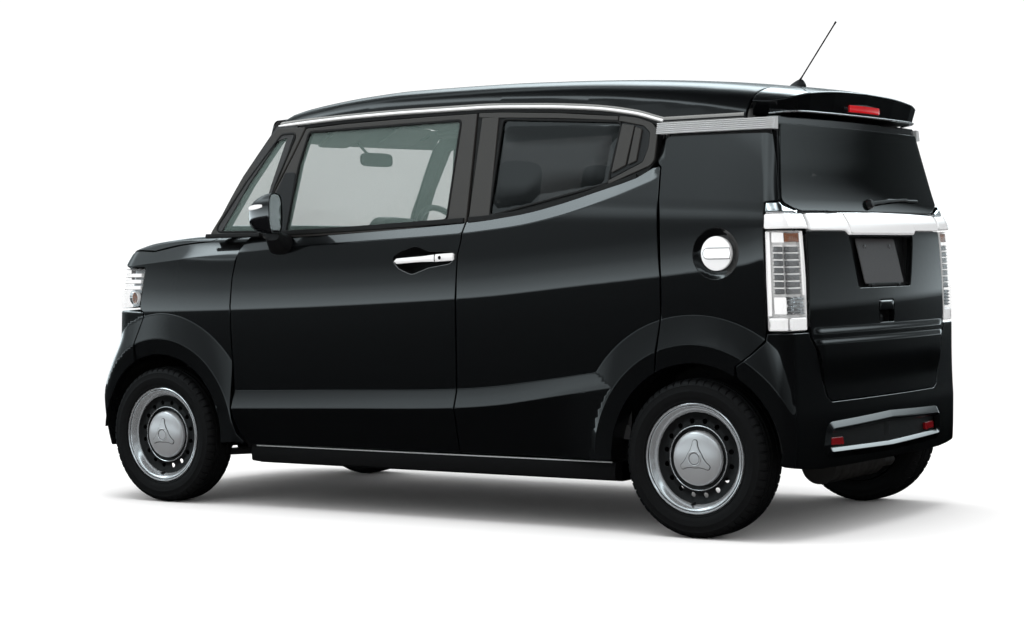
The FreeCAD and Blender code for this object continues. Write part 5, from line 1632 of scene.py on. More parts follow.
P_GATE = Proj(lambda P: rear_x(P[..., 1], P[..., 2]) - gate_step(P[..., 1], P[..., 2]) - P[..., 0], "rear")
ledges = [np.array([(y, z0) for y in np.linspace(-548, 548, 110)]) for z0 in (730, 724, 717, 710, 704, 690, 684, 679, 673, 668)]
gt = shell(P_GATE, full, [well_o, latch], roll=2.8, depth=20, step=(22, 12), edge=10, lines=ledges, mi=0, mi_in=1, back=False)
# inner lining of the gate
gt.join(shell(Proj(lambda P: rear_x(P[..., 1], P[..., 2]) + 40 - P[..., 0], "rear"),
              [(-430, 490, 20), (430, 490, 20), (545, 700, 30), (540, 1120, 20), (-540, 1120, 20), (-545, 700, 30)], roll=3, depth=8, step=(80, 60), edge=30, mi=1))


def well_floor(x, outline, mi, r=8, g=gt):
    """Flat floor of a recess, and its walls down from the skin."""
    o = densify(offset(rounded(outline), 1), 8)
    vs, fs, rg = trimesh([o], (40, 40))
    P = np.stack([x(vs[:, 1]), vs[:, 0], vs[:, 1]], 1)
    N = np.tile([-1.0, 0, 0], (len(P), 1))
    a = P[fs]
    if np.cross(a[:, 1] - a[:, 0], a[:, 2] - a[:, 0])[:, 0].sum() > 0:
        fs = fs[:, ::-1]
    g.add(P, fs, N, mi)
    S = P_REAR(o[:, 0], o[:, 1]) + np.array([2.5, 0, 0])
    Q = np.stack([x(o[:, 1]), o[:, 0], o[:, 1]], 1)
    loft([list(S) + [S[0]], list(Q) + [Q[0]]], mi, 50, False, g, closed=False)


well_floor(lambda z: -1712 + 39 * (z - 874) / 159.0, well_o, 1)
well_floor(lambda z: -1698 + 0 * z, latch, 1)
# latch grip and its button
rings = []
for t in np.linspace(0, 1, 14):
    y = -60 + 120 * t
    e = 1 - abs(2 * t - 1) ** 4
    rings.append([(-1722, y, 811), (-1735 - 2 * e, y, 811), (-1737 - 3 * e, y, 807), (-1738 - 3 * e, y, 780), (-1736 - 2 * e, y, 774), (-1718, y, 772)])
loft(rings, 0, 30, True, gt)
lathe([(0, 3), (9, 2.4), (13, 0.5), (14, -3)], (-1714, 0, 748), (-1, 0, 0), 28, 1, 40, gt)
# upper frame behind the glass
gu = [(553, 1126, 4), (592, 1137, 10), (636, 1153, 14), (650, 1166, 14), (610, 1300, 200), (572, 1428, 12), (570, 1462, 6)]
gu_f = [(-y, z, r) for y, z, r in gu] + [(y, z, r) for y, z, r in reversed(gu)]
gt.join(shell(P_RF, gu_f, [[(-565, 1192, 30), (565, 1192, 30), (508, 1432, 26), (-508, 1432, 26)]], roll=2, depth=34, step=(40, 30), edge=14, mi=2, push=-4))
piece("tailgate_skin", gt, [PAINT, BLACKP, GLOSSB], "tailgate", ["tailgate"])

gl = [(546, 1130, 4), (592, 1140, 10), (634, 1156, 14), (646, 1168, 14), (606, 1300, 200), (569, 1420, 18), (562, 1434, 14)]
gl_f = [(-y, z, r) for y, z, r in gl] + [(y, z, r) for y, z, r in reversed(gl)]
gw = shell(P_RF, gl_f, roll=2, depth=4, step=(40, 30), edge=12, mi=0, push=3)
piece("tailgate_window", gw, [DARKG], "tailgate", ["tailgate_glass"])

# ---- bright bar over the plate
bar = [(546, 1062, 6), (540, 1120, 10), (300, 1125, 60), (0, 1128, 200)]
cb = [(-y, z, r) for y, z, r in bar[:-1]] + [(0, 1128, 200)] + [(y, z, r) for y, z, r in reversed(bar[:-1])] + [(296, 1062, 10), (271, 1047, 8), (-271, 1047, 8), (-296, 1062, 10)]
gcb = shell(P_RF, cb, roll=6, depth=12, step=(30, 8), edge=9, mi=0, push=9, r=8)
gcb.join(shell(P_RF, [(-262, 1041, 4), (262, 1041, 4), (262, 1056, 4), (-262, 1056, 4)], roll=2, depth=10, step=(40, 8), mi=1, push=-4))
gcb.join(shell(P_RF, [(-288, 1118, 6), (288, 1118, 6), (269, 1050, 6), (-269, 1050, 6)], roll=6, depth=6, step=(30, 8), edge=9, mi=0, push=14, r=6))
rbox((-1700, 318, 1126), (-1690, 400, 1133), 2, 2, 1, gcb)
piece("gate_bar", gcb, [BRIGHT, BLACKP], "tailgate")

# ---- plate: blank, with two screw heads
gpl = Geo()
nrm = unit(np.array([-1.0, 0, -0.18]))


def plate_pt(y, z):
    t = (z - 874) / (1033 - 874)
    return (-1729 + 39 * t, y, z)


rings = []
for d, o in ((0.0, 0), (1.6, 1.2), (2.2, 4)):
    o2 = rounded([(-165 + o, 872 + o, 10), (165 - o, 872 + o, 10), (165 - o, 1036 - o, 10), (-165 + o, 1036 - o, 10)])
    rings.append([np.array(plate_pt(y, z)) + nrm * d for y, z in o2])
bk = [p - nrm * 1.2 for p in rings[0]]
loft([bk] + rings, 0, 50, True, gpl)
for s in (1, -1):
    lathe([(0, 4), (6, 3.6), (8, 2.4), (8.5, 0)], np.array(plate_pt(s * 105, 1005)) + nrm * 2, nrm, 24, 1, 40, gpl)
pb = np.array(plate_pt(0, 866))
rbox((pb[0] - 1, -140, 862), (pb[0] + 9, 140, 876), 3, 2, 2, gpl)
for yb in (-120, 105):
    rbox((pb[0] - 4, yb - 13, 860), (pb[0] + 4, yb + 13, 872), 3, 2, 2, gpl)
piece("plate_blank", gpl, [PLATE, GREYR, BLACKP], "tailgate")

# ---- wiper: motor cap, arm and blade
gwp = Geo()
c = P_RF(np.array([40.0]), np.array([1158.0]))[0]
lathe([(0, 20), (12, 19), (17, 14), (19, 6), (20, 0)], c + np.array([-3, 0, 0]), (-1, 0, 0.25), 32, 0, 40, gwp)
ap = np.array([[40, 1158], [0, 1164], [-120, 1172], [-250, 1178], [-300, 1180]], float)
ap = resample(ap, 14)
P = P_RF(ap[:, 0], ap[:, 1]) + np.array([-14.0, 0, 0])
sweep(P, np.array([-1.0, 0, 0.2]), round_prof(14, 7, 2.5, 2), False, 0, g=gwp, scale=np.linspace(1.0, 0.6, len(P)))
bl = np.linspace(-420, -120, 24)
P = P_RF(bl, 1176 + 0 * bl) + np.array([-8.0, 0, 0])
sweep(P, np.array([-1.0, 0, 0.2]), [(-5, -1), (5, -1), (5, 3), (2, 6), (-2, 6), (-5, 3)], False, 0, g=gwp)
piece("rear_wiper", gwp, [BLACKP], "tailgate")

# ---- roof spoiler with the high lamp
P_SPO = P_BAR
sp = [(-1493.5, 574), (-1560, 568), (-1612, 545), (-1642, 500), (-1655, 430), (-1663, 250), (-1666, 0)]
sp_z = [float(z) for z in (1470, 1470, 1478, 1490, 1500, 1520, 1528)]


def spo_uv(x, y):
    z = float(P_BARTOP(np.array([x], float), np.array([y], float))[0][2])
    return P_BAR.uv([(x, y, z)])[0]


P_BARTOP = Proj(g_roof2, "top")
su = [(*spo_uv(x, y * 0.985), 30) for x, y in sp]
su = [(su[0][0], su[0][1], 6)] + su[1:-1] + [(su[-1][0], 0.0, 200)]
spo = su + [(u, -v, r) for u, v, r in reversed(su[:-1])]


def under(u, v):
    P = P_BAR(u, v).copy()
    t = np.clip((-P[:, 0] - 1500) / 165.0, 0, 1)
    P[:, 2] = 1468 + 14 * t
    P[:, 0] += 16 * t
    P[:, 1] *= 0.985
    return P


gsp = shell(P_BAR, spo, roll=5, step=(18, 16), edge=10, inner=under, mi=0, mi_in=1, inner_step=(50, 50))
# high lamp: ribbed red lens, its housing and a small round cap at one end
lp_ = [(-1656.5, -128, 1486), (-1656.5, 128, 1486), (-1657.5, 128, 1518), (-1657.5, -128, 1518)]
rings = []
for y in np.linspace(-127, 127, 33):
    xo = -1655.5 + 6 * (y / 127.0) ** 2
    k = 1.2 if int((y + 127) / 8) % 2 else 0.0
    rings.append([(xo - 7 - k, y, 1491), (xo - 9 - k, y, 1503), (xo - 7 - k, y, 1515), (xo + 4, y, 1518), (xo + 4, y, 1488)])
loft(rings, 2, 30, True, gsp)
rings = []
for y in np.linspace(-136, 136, 20):
    xo = -1653 + 6 * (y / 127.0) ** 2
    rings.append([(xo - 4, y, 1485), (xo - 6, y, 1489), (xo - 6, y, 1517), (xo - 4, y, 1521), (xo + 6, y, 1521), (xo + 6, y, 1485)])
loft(rings, 1, 30, True, gsp)
lathe([(0, 12), (4, 11), (6, 6), (7, 0)], (-1655, 160, 1500), (-1, 0.1, 0), 20, 1, 40, gsp)
# pale lip along the lower edge
us_ = resample(np.array([(u, v) for u, v, r in spo[1:-1]]), 12)
Pl = under(us_[:, 0], us_[:, 1])
sweep(Pl + np.array([0, 0, -1.0]), np.array([0, 0, -1.0]), round_prof(14, 6, 2.5, 2, lift=-1), False, 3, g=gsp)
piece("spoiler", gsp, [PAINT, BLACKP, REDL, SILVER], "tailgate", [])

# ---- rear bumper
lb = ([(*suv(-1618, 713), 5), (*suv(-1612, 682), 20), (*suv(-1560, 637), 8), (*suv(-1508, 600), 6)] + [(*suv(x, z), 20) for x, z in arc(RX, 331, 122, 176, 14)]
      + [(*suv(-1664, 262), 12), (*ruv(600, 246), 40), (*ruv(500, 240), 40), (*ruv(480, 240), 8)])
tb = [(*ruv(y, z), r) for y, z, r in ((436, 468.5, 10), (470, 487, 20), (494.5, 544, 30), (529, 653, 20), (566.5, 693, 20), (574, 713, 6))]
bo_ = lb + [(-u, v, r) for u, v, r in reversed(lb)] + [(-u, v, r) for u, v, r in reversed(tb)] + tb
bo_ = [(*suv(-1618, 713), 5)] + lb[1:] + [(-u, v, r) for u, v, r in reversed(lb)] + [(-u, v, r) for u, v, r in reversed(tb)] + [(u, v, r) for u, v, r in tb]
inset = [(*ruv(y, z), r) for y, z, r in ((470, 300, 16), (455, 372, 16), (0, 384, 200), (-455, 372, 16), (-470, 300, 16), (0, 292, 200))]
grb = shell(P_RB, bo_, [inset], roll=3, depth=30, step=(11, 9), edge=9,
            lines=[suvs(b) for b in bars([FL_LINES[3][45:150], FL_LINES[2][60:150]], (-4, -1.6, 0, 1.6, 4))], mi=0, mi_in=1, back=False)
ins = offset(rounded(inset), 4)
grb.join(shell(P_RB, ins, roll=2, depth=4, step=(30, 20), edge=12, mi=1, push=-12, round_done=True))
# lip round the inset: it faces up above it and out below it
ring2 = densify(offset(rounded(inset), 1.0), 12)
lp2 = P_RB(ring2[:, 0], ring2[:, 1])
ln2 = P_RB.normal(lp2)
if area2(ring2) < 0:
    lp2, ln2 = lp2[::-1], ln2[::-1]
lT = unit(np.roll(lp2, -1, 0) - np.roll(lp2, 1, 0))
lS = np.cross(lT, ln2)
sgn = 1.0 if lS[int(np.argmax(lp2[:, 2]))][2] > 0 else -1.0
sweep(lp2, ln2, [(sgn * u, v) for u, v in ((-12, -5), (30, -8), (31, -2.5), (6, 11), (2, 11.5), (-9, 3), (-12, -2))], True, 0, 30, g=grb)
# red reflectors on the inset
for s in (1, -1):
    ro2 = [(*ruv(s * (395 + a), 329 + b), r) for a, b, r in ((-46, -15, 4), (46, -12, 4), (s * 8 + 44, 15, 4), (s * 8 - 44, 13, 4))]
    grb.join(shell(P_RB, ro2, roll=2.5, depth=8, step=(8, 8), edge=6, mi=2, push=-3))
wl = np.radians(np.linspace(110, 178, 22))
for s in (1, -1):
    rings = [[(RX + (334 if y > 690 else 340) * math.cos(a), s * y, HZ + 338 * math.sin(a)) for a in wl] for y in (700, 640, 560, 500)]
    loft(rings, 3, 60, False, grb, closed=False)
piece("rear_bumper_skin", grb, [PAINT, BLACKP, REDD, UNDER], "body", ["rear_bumper"])

# ---- tail lamps
P_RL = P_RB


def lamp_z(pts, push, mi, roll=2.0, depth=6.0, step=(8, 8), g=None):
    q = shell(P_RL, pts, roll=roll, depth=depth, step=step, edge=6, mi=mi, push=push, r=3)
    g.join(q)


LZ = np.linspace(715, 1070, 40)
LT = (LZ - 771) / (1063 - 771)
LUI = ruvs(np.stack([580 - 2 * LT, LZ], 1))[:, 0]
LUO = suvs(np.stack([-1619 + 6 * LT, LZ], 1))[:, 0]


def L(a, z):
    """Lamp coordinates: a runs from 0 at the inner edge to 1 at the side edge."""
    ui, uo = float(np.interp(z, LZ, LUI)), float(np.interp(z, LZ, LUO))
    return ui + (uo - ui) * a, z


gtl = Geo()
lens_o = [(*L(0, 720), 8), (*L(1, 719), 8), (*L(1, 900), 60), (*L(1, 1064), 8), (*L(0, 1064), 6), (*L(0, 900), 60)]
lamp_z(lens_o, 0.0, 0, 4, 8, (14, 14), gtl)
# housing behind the lens
hp = densify(offset(rounded(lens_o), -3), 10)
o1 = P_RL(hp[:, 0], hp[:, 1]); n1 = P_RL.normal(o1)
vs3, fs3, _ = trimesh([hp], (20, 20))
Pq = P_RL(vs3[:, 0], vs3[:, 1]); nq = P_RL.normal(Pq)
a_ = Pq[fs3]
if np.einsum("ij,ij->i", np.cross(a_[:, 1] - a_[:, 0], a_[:, 2] - a_[:, 0]), nq[fs3[:, 0]]).sum() < 0:
    fs3 = fs3[:, ::-1]
gtl.add(Pq - nq * 26, fs3, nq, 4)
loft([list(o1 - n1 * 2) + [o1[0] - n1[0] * 2], list(o1 - n1 * 26) + [o1[0] - n1[0] * 26]], 4, 60, False, gtl, closed=False)
# thin white outer and inner columns, top blocks, two columns of dark rows, crystal and bright foot
lamp_z([(*L(0.90, 772), 2), (*L(0.99, 772), 2), (*L(0.99, 1058), 2), (*L(0.90, 1058), 2)], -7, 2, 2, 10, (10, 20), gtl)
lamp_z([(*L(0.015, 842), 2), (*L(0.09, 842), 2), (*L(0.09, 1058), 2), (*L(0.015, 1058), 2)], -9, 2, 2, 8, (10, 20), gtl)
lamp_z([(*L(0.57, 1022), 3), (*L(0.885, 1022), 3), (*L(0.885, 1057), 3), (*L(0.57, 1057), 3)], -8, 2, 2, 8, (10, 10), gtl)
lamp_z([(*L(0.10, 1024), 3), (*L(0.55, 1024), 3), (*L(0.55, 1056), 3), (*L(0.10, 1056), 3)], -9, 3, 2, 8, (8, 8), gtl)
for k in range(7):
    z0 = 846 + 24.0 * k
    for a0, a1 in ((0.12, 0.53), (0.60, 0.87)):
        lamp_z([(*L(a0, z0), 2), (*L(a1, z0), 2), (*L(a1, z0 + 18.5), 2), (*L(a0, z0 + 18.5), 2)], -11 - 2 * (a0 > 0.3), 1, 3, 6, (8, 5), gtl)
        lamp_z([(*L(a0 + 0.02, z0 + 19.5), 1), (*L(a1 - 0.02, z0 + 19.5), 1), (*L(a1 - 0.02, z0 + 22), 1), (*L(a0 + 0.02, z0 + 22), 1)], -9, 2, 0.8, 4, (8, 4), gtl)
lamp_z([(*L(0.57, 778), 3), (*L(0.885, 778), 3), (*L(0.885, 836), 3), (*L(0.57, 836), 3)], -9, 2, 3, 8, (10, 10), gtl)
for k in range(5):
    for i in range(5):
        a0 = 0.03 + 0.105 * i
        z0 = 776 + 12.4 * k
        jx, jz = ((i * 7 + k * 3) % 5 - 2) * 0.012, ((i * 3 + k * 5) % 5 - 2) * 1.5
        ca, cz = L(a0 + 0.05 + jx, z0 + 5.8 + jz)
        c = P_RL(np.array([ca]), np.array([cz]))[0]
        n = P_RL.normal(c[None])[0]
        q = [P_RL(*[np.array([t]) for t in L(a0 + da, z0 + dz)])[0] - n * 15 for da, dz in ((0, 0), (0.1, 0), (0.1, 11.6), (0, 11.6))]
        Vq = np.array(q + [c - n * 4])
        Tq = np.array([(0, 1, 4), (1, 2, 4), (2, 3, 4), (3, 0, 4)])
        nn = np.cross(Vq[1] - Vq[0], Vq[4] - Vq[0])
        if nn @ n < 0:
            Tq = Tq[:, ::-1]
        gtl.add(Vq, Tq, None, 7)
lamp_z([(*L(0.02, 722), 4), (*L(0.54, 722), 4), (*L(0.54, 766), 4), (*L(0.02, 766), 4)], -1, 6, 5, 10, (10, 10), gtl)
lamp_z([(*L(0.55, 722), 4), (*L(0.985, 722), 4), (*L(0.985, 766), 4), (*L(0.55, 766), 4)], 0, 6, 8, 10, (10, 10), gtl)
both("tail_lamp_units", gtl, [LENS, ROWS, WHITE, AMBER, WHITE, LENS, BRIGHT, CHROME], "body", ["tail_lamps"])

# bright horn on the body over each lamp
ho = [(*ruv(553, 1068), 4), (*suv(-1611, 1068), 6), (*suv(-1609, 1119), 8), (*ruv(553, 1119), 4)]
gho = shell(P_RB, ho, roll=6, depth=14, step=(10, 10), edge=7, mi=0, push=9)
h2 = [(*ruv(566, 1121), 4), (*suv(-1610, 1121), 6), (*suv(-1608, 1140), 14), (*suv(-1607, 1160), 12), (*ruv(660, 1160), 10), (*ruv(645, 1146), 20), (*ruv(596, 1133), 16)]
gho.join(shell(P_RB, h2, roll=7, depth=14, step=(8, 8), edge=6, mi=1, push=7))
both("lamp_horns", gho, [BRIGHT, CHROME], "body", [])


# ============================================================ wheels and tyres
def moved(g, d, flip=False):
    V, T, N, M = g.merged()
    if flip:
        f = np.array([1, -1, 1])
        V, T, N = V * f, T[:, ::-1], (N * f)[:, ::-1]
    o = Geo()
    o.V, o.T, o.N, o.M, o.n = [V + np.asarray(d, float)], [T], [N], [M], len(V)
    return o


YC = HT
HALF = 78.0
tyre_half = [(278.3, 6), (278.3, 17), (272.6, 18), (272.6, 23), (278.2, 24), (277.9, 40), (272.4, 41), (272.4, 46), (277.4, 47), (276.2, 56), (272.0, 65), (265.5, 71),
             (258.5, 74.6), (256.6, 75.2), (255.6, 76.2), (254.0, 76.2), (252.5, 75.7), (244, 77.2), (238.5, 77.8), (236.5, 79.0), (233.0, 79.2), (230.6, 78.2), (222, 77.6), (213, 75.8),
             (206, 73.0), (203.5, 72.4), (202.5, 73.2), (200.5, 73.0), (199, 70.6), (196.2, 68.2), (194.0, 64.0), (192.0, 60.0), (190.4, 52)]
full_t = [(r, -y) for r, y in reversed(tyre_half)] + tyre_half
full_t = full_t + [(186, 40), (186, -40)]
prof = np.array(full_t)
nt_, pitch = 54, [(0.0, 0), (0.74, 0), (0.80, 1), (0.94, 1)]
ang, flg = [], []
for i in range(nt_):
    for t, f in pitch:
        ang.append(2 * math.pi * (i + t) / nt_)
        flg.append(f)
m_ = len(prof)
V = np.zeros((len(ang), m_, 3))
for i, (a, f) in enumerate(zip(ang, flg)):
    r = prof[:, 0].copy()
    if f:
        blk = (np.abs(prof[:, 1]) > 46.5) & (np.abs(prof[:, 1]) < 72) & (r > 263)
        r[blk] -= 4.2
    shift = a + 0.012 * np.sin(np.clip(prof[:, 1] / 60, -1, 1) * 1.5)
    V[i, :, 0] = r * np.cos(shift)
    V[i, :, 1] = prof[:, 1]
    V[i, :, 2] = r * np.sin(shift)
V = V.reshape(-1, 3)
tr = []
na = len(ang)
for i in range(na):
    j = (i + 1) % na
    for k in range(m_):
        l = (k + 1) % m_
        tr += [(i * m_ + k, j * m_ + k, j * m_ + l), (i * m_ + k, j * m_ + l, i * m_ + l)]
tyre = Geo().smooth(V, outward(V, np.array(tr)), 0, 32)

DISC = Curve([90, 97, 104, 112, 120, 131, 142, 150, 161], [33, 33, 36, 38.5, 37, 34.5, 35, 37.5, 41])
P_DISC = Proj(lambda P: P[..., 1] - YC - DISC(np.hypot(P[..., 0], P[..., 2])), "side")


def ring_pts(r, n=72, cx=0.0, cz=0.0):
    return [(cx + r * math.cos(t), cz + r * math.sin(t)) for t in np.linspace(0, 2 * math.pi, n, endpoint=False)]


whl = Geo()
holes_ = [ring_pts(9.0, 18, 131 * math.cos(2 * math.pi * (k + 0.5) / 16), 131 * math.sin(2 * math.pi * (k + 0.5) / 16)) for k in range(16)]
whl.join(shell(P_DISC, ring_pts(161.0, 90), holes_, roll=1.6, depth=3.5, step=(12, 12), edge=5, mi=0, round_done=True))
rim = [(193.4, 61), (194.4, 65), (193.6, 68.6), (191.0, 70.4), (188.2, 69.8), (186.0, 67.2), (185.4, 65.6), (184.0, 65.2), (183.4, 66.2), (181.6, 66.6), (178.0, 65.2),
       (172.5, 60.4), (167.0, 53.0), (162.6, 45.4), (160.4, 40.4), (160.0, 36.6), (161.4, 30), (166, 14), (166, -38), (171, -50), (181, -58), (190, -60.5), (192.5, -62), (193, -66), (189, -67),
       (179, -64), (168, -54), (161, -40), (161, 10), (157.5, 28), (158, 34)]
rim = rim[:16] + [(157.4, 35.4), (157.0, 31), (160, 10), (160, -42), (170, -58), (182, -66), (192, -68), (193.4, -64), (191, -60), (176, -52), (168, -40), (168, 16), (176, 40), (187, 54)]
mis_ = [1, 1, 1, 1, 1, 0, 0, 0, 1, 1, 1, 1, 1, 1, 0, 0] + [0] * 20
lathe([(r, y) for r, y in rim], (0, YC, 0), (0, 1, 0), 120, mis_[:len(rim)], 34, whl, closed=True)
# bright bead round the cap, then the cap and its three-armed relief
lathe([(114.8, 37.4), (114.2, 40.2), (112.6, 41.0), (111.2, 40.0), (110.8, 37.0)], (0, YC, 0), (0, 1, 0), 90, 1, 40, whl, closed=True)
DOME = Curve([0, 20, 45, 65, 80, 90, 95, 96.5], [66.5, 66.0, 64.0, 60.8, 56.8, 52.4, 46.5, 38.0])
lathe([(0, 66.5), (8, 66.42), (20, 66.0), (32, 65.2), (45, 64.0), (55, 62.6), (65, 60.8), (73, 59.0), (80, 56.8), (86, 54.4), (90, 52.4), (93.4, 49.4), (95, 46.5), (96.4, 42), (96.6, 34)],
      (0, YC, 0), (0, 1, 0), 90, 2, 36, whl)
P_CAP = Proj(lambda P: P[..., 1] - YC - DOME(np.hypot(P[..., 0], P[..., 2])), "side")
star = []
for k in range(3):
    a = math.radians(90 + 120 * k)
    c, s = math.cos(a), math.sin(a)
    for u, v, r in ((30, -17, 10), (46, -10.5, 30), (60, -8, 4), (64, -4.5, 3), (64, 4.5, 3), (60, 8, 4), (46, 10.5, 30), (30, 17, 10)):
        star.append((u * c - v * s, u * s + v * c, r))
    a2 = math.radians(150 + 120 * k)
    star.append((31 * math.cos(a2), 31 * math.sin(a2), 20))
# painted shade: a black plate a little larger than the star lies under it, so the star shows dark outlines where its
# edges fall into shade
whl.join(shell(P_CAP, offset(rounded(star), 2.4), roll=0.8, depth=2, step=(6, 6), edge=3, mi=3, push=0.9, back=False, round_done=True))
whl.join(shell(P_CAP, star, roll=1.8, depth=2, step=(6, 6), edge=3, mi=2, push=3.4, back=False))
lathe([(27, 66.5), (26.4, 71.0), (24.6, 72.4), (22.4, 72.0), (21, 69.8), (19, 69.6), (15, 69.8), (0, 70.2)], (0, YC, 0), (0, 1, 0), 48, [2, 2, 2, 2, 3, 2, 2, 2], 34, whl)
# valve
va = math.radians(-84)
vc = np.array([162 * math.cos(va), YC + 40, 162 * math.sin(va)])
lathe([(0, 22), (3.6, 21), (4.2, 18), (4.2, 8), (6, 5), (8, 0), (8.5, -6)], vc, (0, 1, 0), 20, 3, 40, whl)
lathe([(0, 1.5), (9, 1), (12, -1), (13, -6)], vc + np.array([0.4, 4.5, -2.0]), unit(np.array([0.05, 1, 0.75])), 28, 3, 40, whl)
# hub, studs and drum behind the disc
lathe([(0, 20), (30, 19), (34, 16), (36, 6), (90, 4), (98, 0), (100, -6), (100, -44), (60, -48), (0, -48)], (0, YC, 0), (0, 1, 0), 56, 4, 34, whl)
for k in range(4):
    a = 2 * math.pi * (k + 0.5) / 4
    lathe([(0, 30), (5, 29), (6, 26), (8, 24), (9, 12)], (50 * math.cos(a), YC, 50 * math.sin(a)), (0, 1, 0), 6, 4, 20, whl)
for key, x in (("front", FX), ("rear", RX)):
    for sd, fl in (("left", False), ("right", True)):
        k = key + "_" + sd
        piece("tyre_piece_" + k, moved(tyre, (x, -YC if fl else YC, HZ)) if not fl else moved(moved(tyre, (0, 0, 0), True), (x, -YC, HZ)), [TYRE], "wheel_" + k, ["tyre_" + k])
        piece("rim_piece_" + k, moved(whl, (x, 0, HZ), fl), [STEELB, TRIMS, CAPS, BLACKP, AXLE], "wheel_" + k, ["wheel_" + k])


# ================================================================ side details
def dish(proj, outline, depth, fall, mi, g, step=(7, 7), push=0.0, shape=1.6, done=False):
    """A hollow in a panel, deepest away from its edge."""
    o = densify(np.asarray(outline, float) if done else rounded(outline), 6)
    vs, fs, _ = trimesh([o], step)
    P = proj(vs[:, 0], vs[:, 1])
    d = np.clip(seg_dist(vs, o) / fall, 0, 1)
    P = P + proj.ray(vs[:, 0], vs[:, 1])[1] * (depth * (1 - (1 - d) ** shape) + push)[:, None]
    a = P[fs]
    f = np.cross(a[:, 1] - a[:, 0], a[:, 2] - a[:, 0])
    dd = proj.ray(vs[:1, 0], vs[:1, 1])[1][0]
    if (f @ dd).sum() > 0:
        fs = fs[:, ::-1]
    return g.smooth(P, fs, mi, 50)


# ---- front door handle
HR = [(-20, 988, 16), (-60, 1014, 30), (-134, 1034, 60), (-200, 1012, 40), (-306, 1010, 16), (-318, 984, 14), (-300, 966, 20), (-201, 952, 40), (-121, 926, 50), (-58, 950, 30)]
gh_ = Geo()
# painted shade: the dish behind the handle takes a darker matt black instead of the body paint, standing in for the
# shade in the hollow
dish(P_SIDE, [(x, z, r) for x, z, r in HR], 20, 26, 0, gh_, push=1.2)
hx = np.linspace(-42, -318, 60)
rings = []
for x in hx:
    t = (x + 42) / (-318 + 42)
    zc = 978.5 + 14 * t
    hh = 11.0 + 3.5 * min(1, max(0, (t - 0.5) * 4)) if t > 0.02 else 7
    e0 = min(1.0, (-40 - x) / 14.0)
    e1 = min(1.0, (x + 322) / 12.0)
    e = math.sqrt(max(0.05, 1 - (1 - min(e0, e1)) ** 2))
    yo = float(main_y(np.array(x), np.array(970.0))) + 24 - 16 * (2 * t - 1) ** 2
    yi = yo - 15
    h_ = hh * e
    rings.append([(x, yo - 15, zc - h_ * 0.8), (x, yo - 8, zc - h_), (x, yo - 2.5, zc - h_ * 0.86), (x, yo, zc - h_ * 0.35), (x, yo, zc + h_ * 0.35), (x, yo - 2.5, zc + h_ * 0.86), (x, yo - 8, zc + h_), (x, yo - 15, zc + h_ * 0.8)])
loft(rings, 1, 40, True, gh_)
# feet of the handle, seam and keyhole
for x0, x1 in ((-52, -74), (-286, -312)):
    yb = float(main_y(np.array(x0), np.array(980.0)))
    rbox((x1, yb - 14, 974 if x0 > -100 else 982), (x0, yb + 12, 988 if x0 > -100 else 998), 4, 2, 1, gh_)
yk = float(main_y(np.array(-266.0), np.array(988.0)))
rbox((-243.2, yk + 2, 976), (-241.4, yk + 24, 1003), 0.6, 1, 0, gh_)
lathe([(0, 1.2), (6.0, 1.2), (7.0, 2.4), (8.0, 2.2), (8.8, 0.4), (9.0, -6)], (-268, yk + 22.8, 989.5), (0, 1, 0.02), 32, [0, 0, 1, 1, 1], 34, gh_)
rbox((-269, yk + 22, 985.6), (-267, yk + 24.4, 993.4), 0.5, 1, 0, gh_)
# painted highlight: a grey metallic strip along the lower edge of the handle recess stands for the bright line that
# edge catches
hro = rounded([(x, z, r) for x, z, r in HR])
hro = hro[(hro[:, 1] < 985) & (hro[:, 0] < -30)]
hro = hro[np.argsort(hro[:, 0])]
hp2 = P_SIDE(hro[:, 0], hro[:, 1])
sweep(resample(hp2, 8), np.array([0, 1.0, 0.1]), [(-1.3, -1.0), (1.3, -1.0), (1.0, 0.8), (-1.0, 0.8)], False, 2, g=gh_)
# the recess material is painted shade in the dish; it also colours the dark seam and the keyhole face
RECESS_SHADE_AND_SEAM = mat("handle_recess_painted_shade_and_seam", (0.0012, 0.0012, 0.0013), 0.7, spec=0.08, var=(200.0, 0.2), rvar=(300.0, 0.05), bump=(1200.0, 0.08))
# the grey metal of the strip under the recess is a painted highlight
HANDLE_RIM_HIGHLIGHT = mat("handle_rim_painted_highlight", (0.20, 0.21, 0.215), 0.22, metal=0.5, var=(300.0, 0.1), rvar=(300.0, 0.04), bump=None)
both("handle_front", gh_, [RECESS_SHADE_AND_SEAM, BRIGHT, HANDLE_RIM_HIGHLIGHT], FD, None)

# ---- fuel lid in its dished ring
gfl = Geo()
lc = np.array(side_pt(-1430, 988, g_rear))
o = np.array([(-1430 + 90 * math.cos(a), 988 + 90 * math.sin(a)) for a in np.linspace(0, 2 * math.pi, 72, endpoint=False)])
P_Q2 = Proj(g_rear, "side")
dish(P_Q2, o, 15, 34, 0, gfl, step=(9, 9), push=0.6, shape=2.2, done=True)
piece("fuel_recess", gfl, [PAINT], "body")
gli = Geo()
ly = float(lc[1])
tilt = unit(P_Q2.normal(lc[None])[0])
slot_o = [(-1383, 970, 18), (-1383, 1007, 18), (-1492, 1007, 3), (-1492, 970, 3)]
gw_ = shell(Proj(lambda P: P[..., 1] - (ly - 2 - 0.00035 * ((P[..., 0] + 1430) ** 2 + (P[..., 2] - 988) ** 2)), "side"),
            ring_pts(60, 72, -1430, 988), roll=4, depth=12, step=(10, 10), edge=5, mi=0, round_done=True)
gli.join(gw_)
rings = []
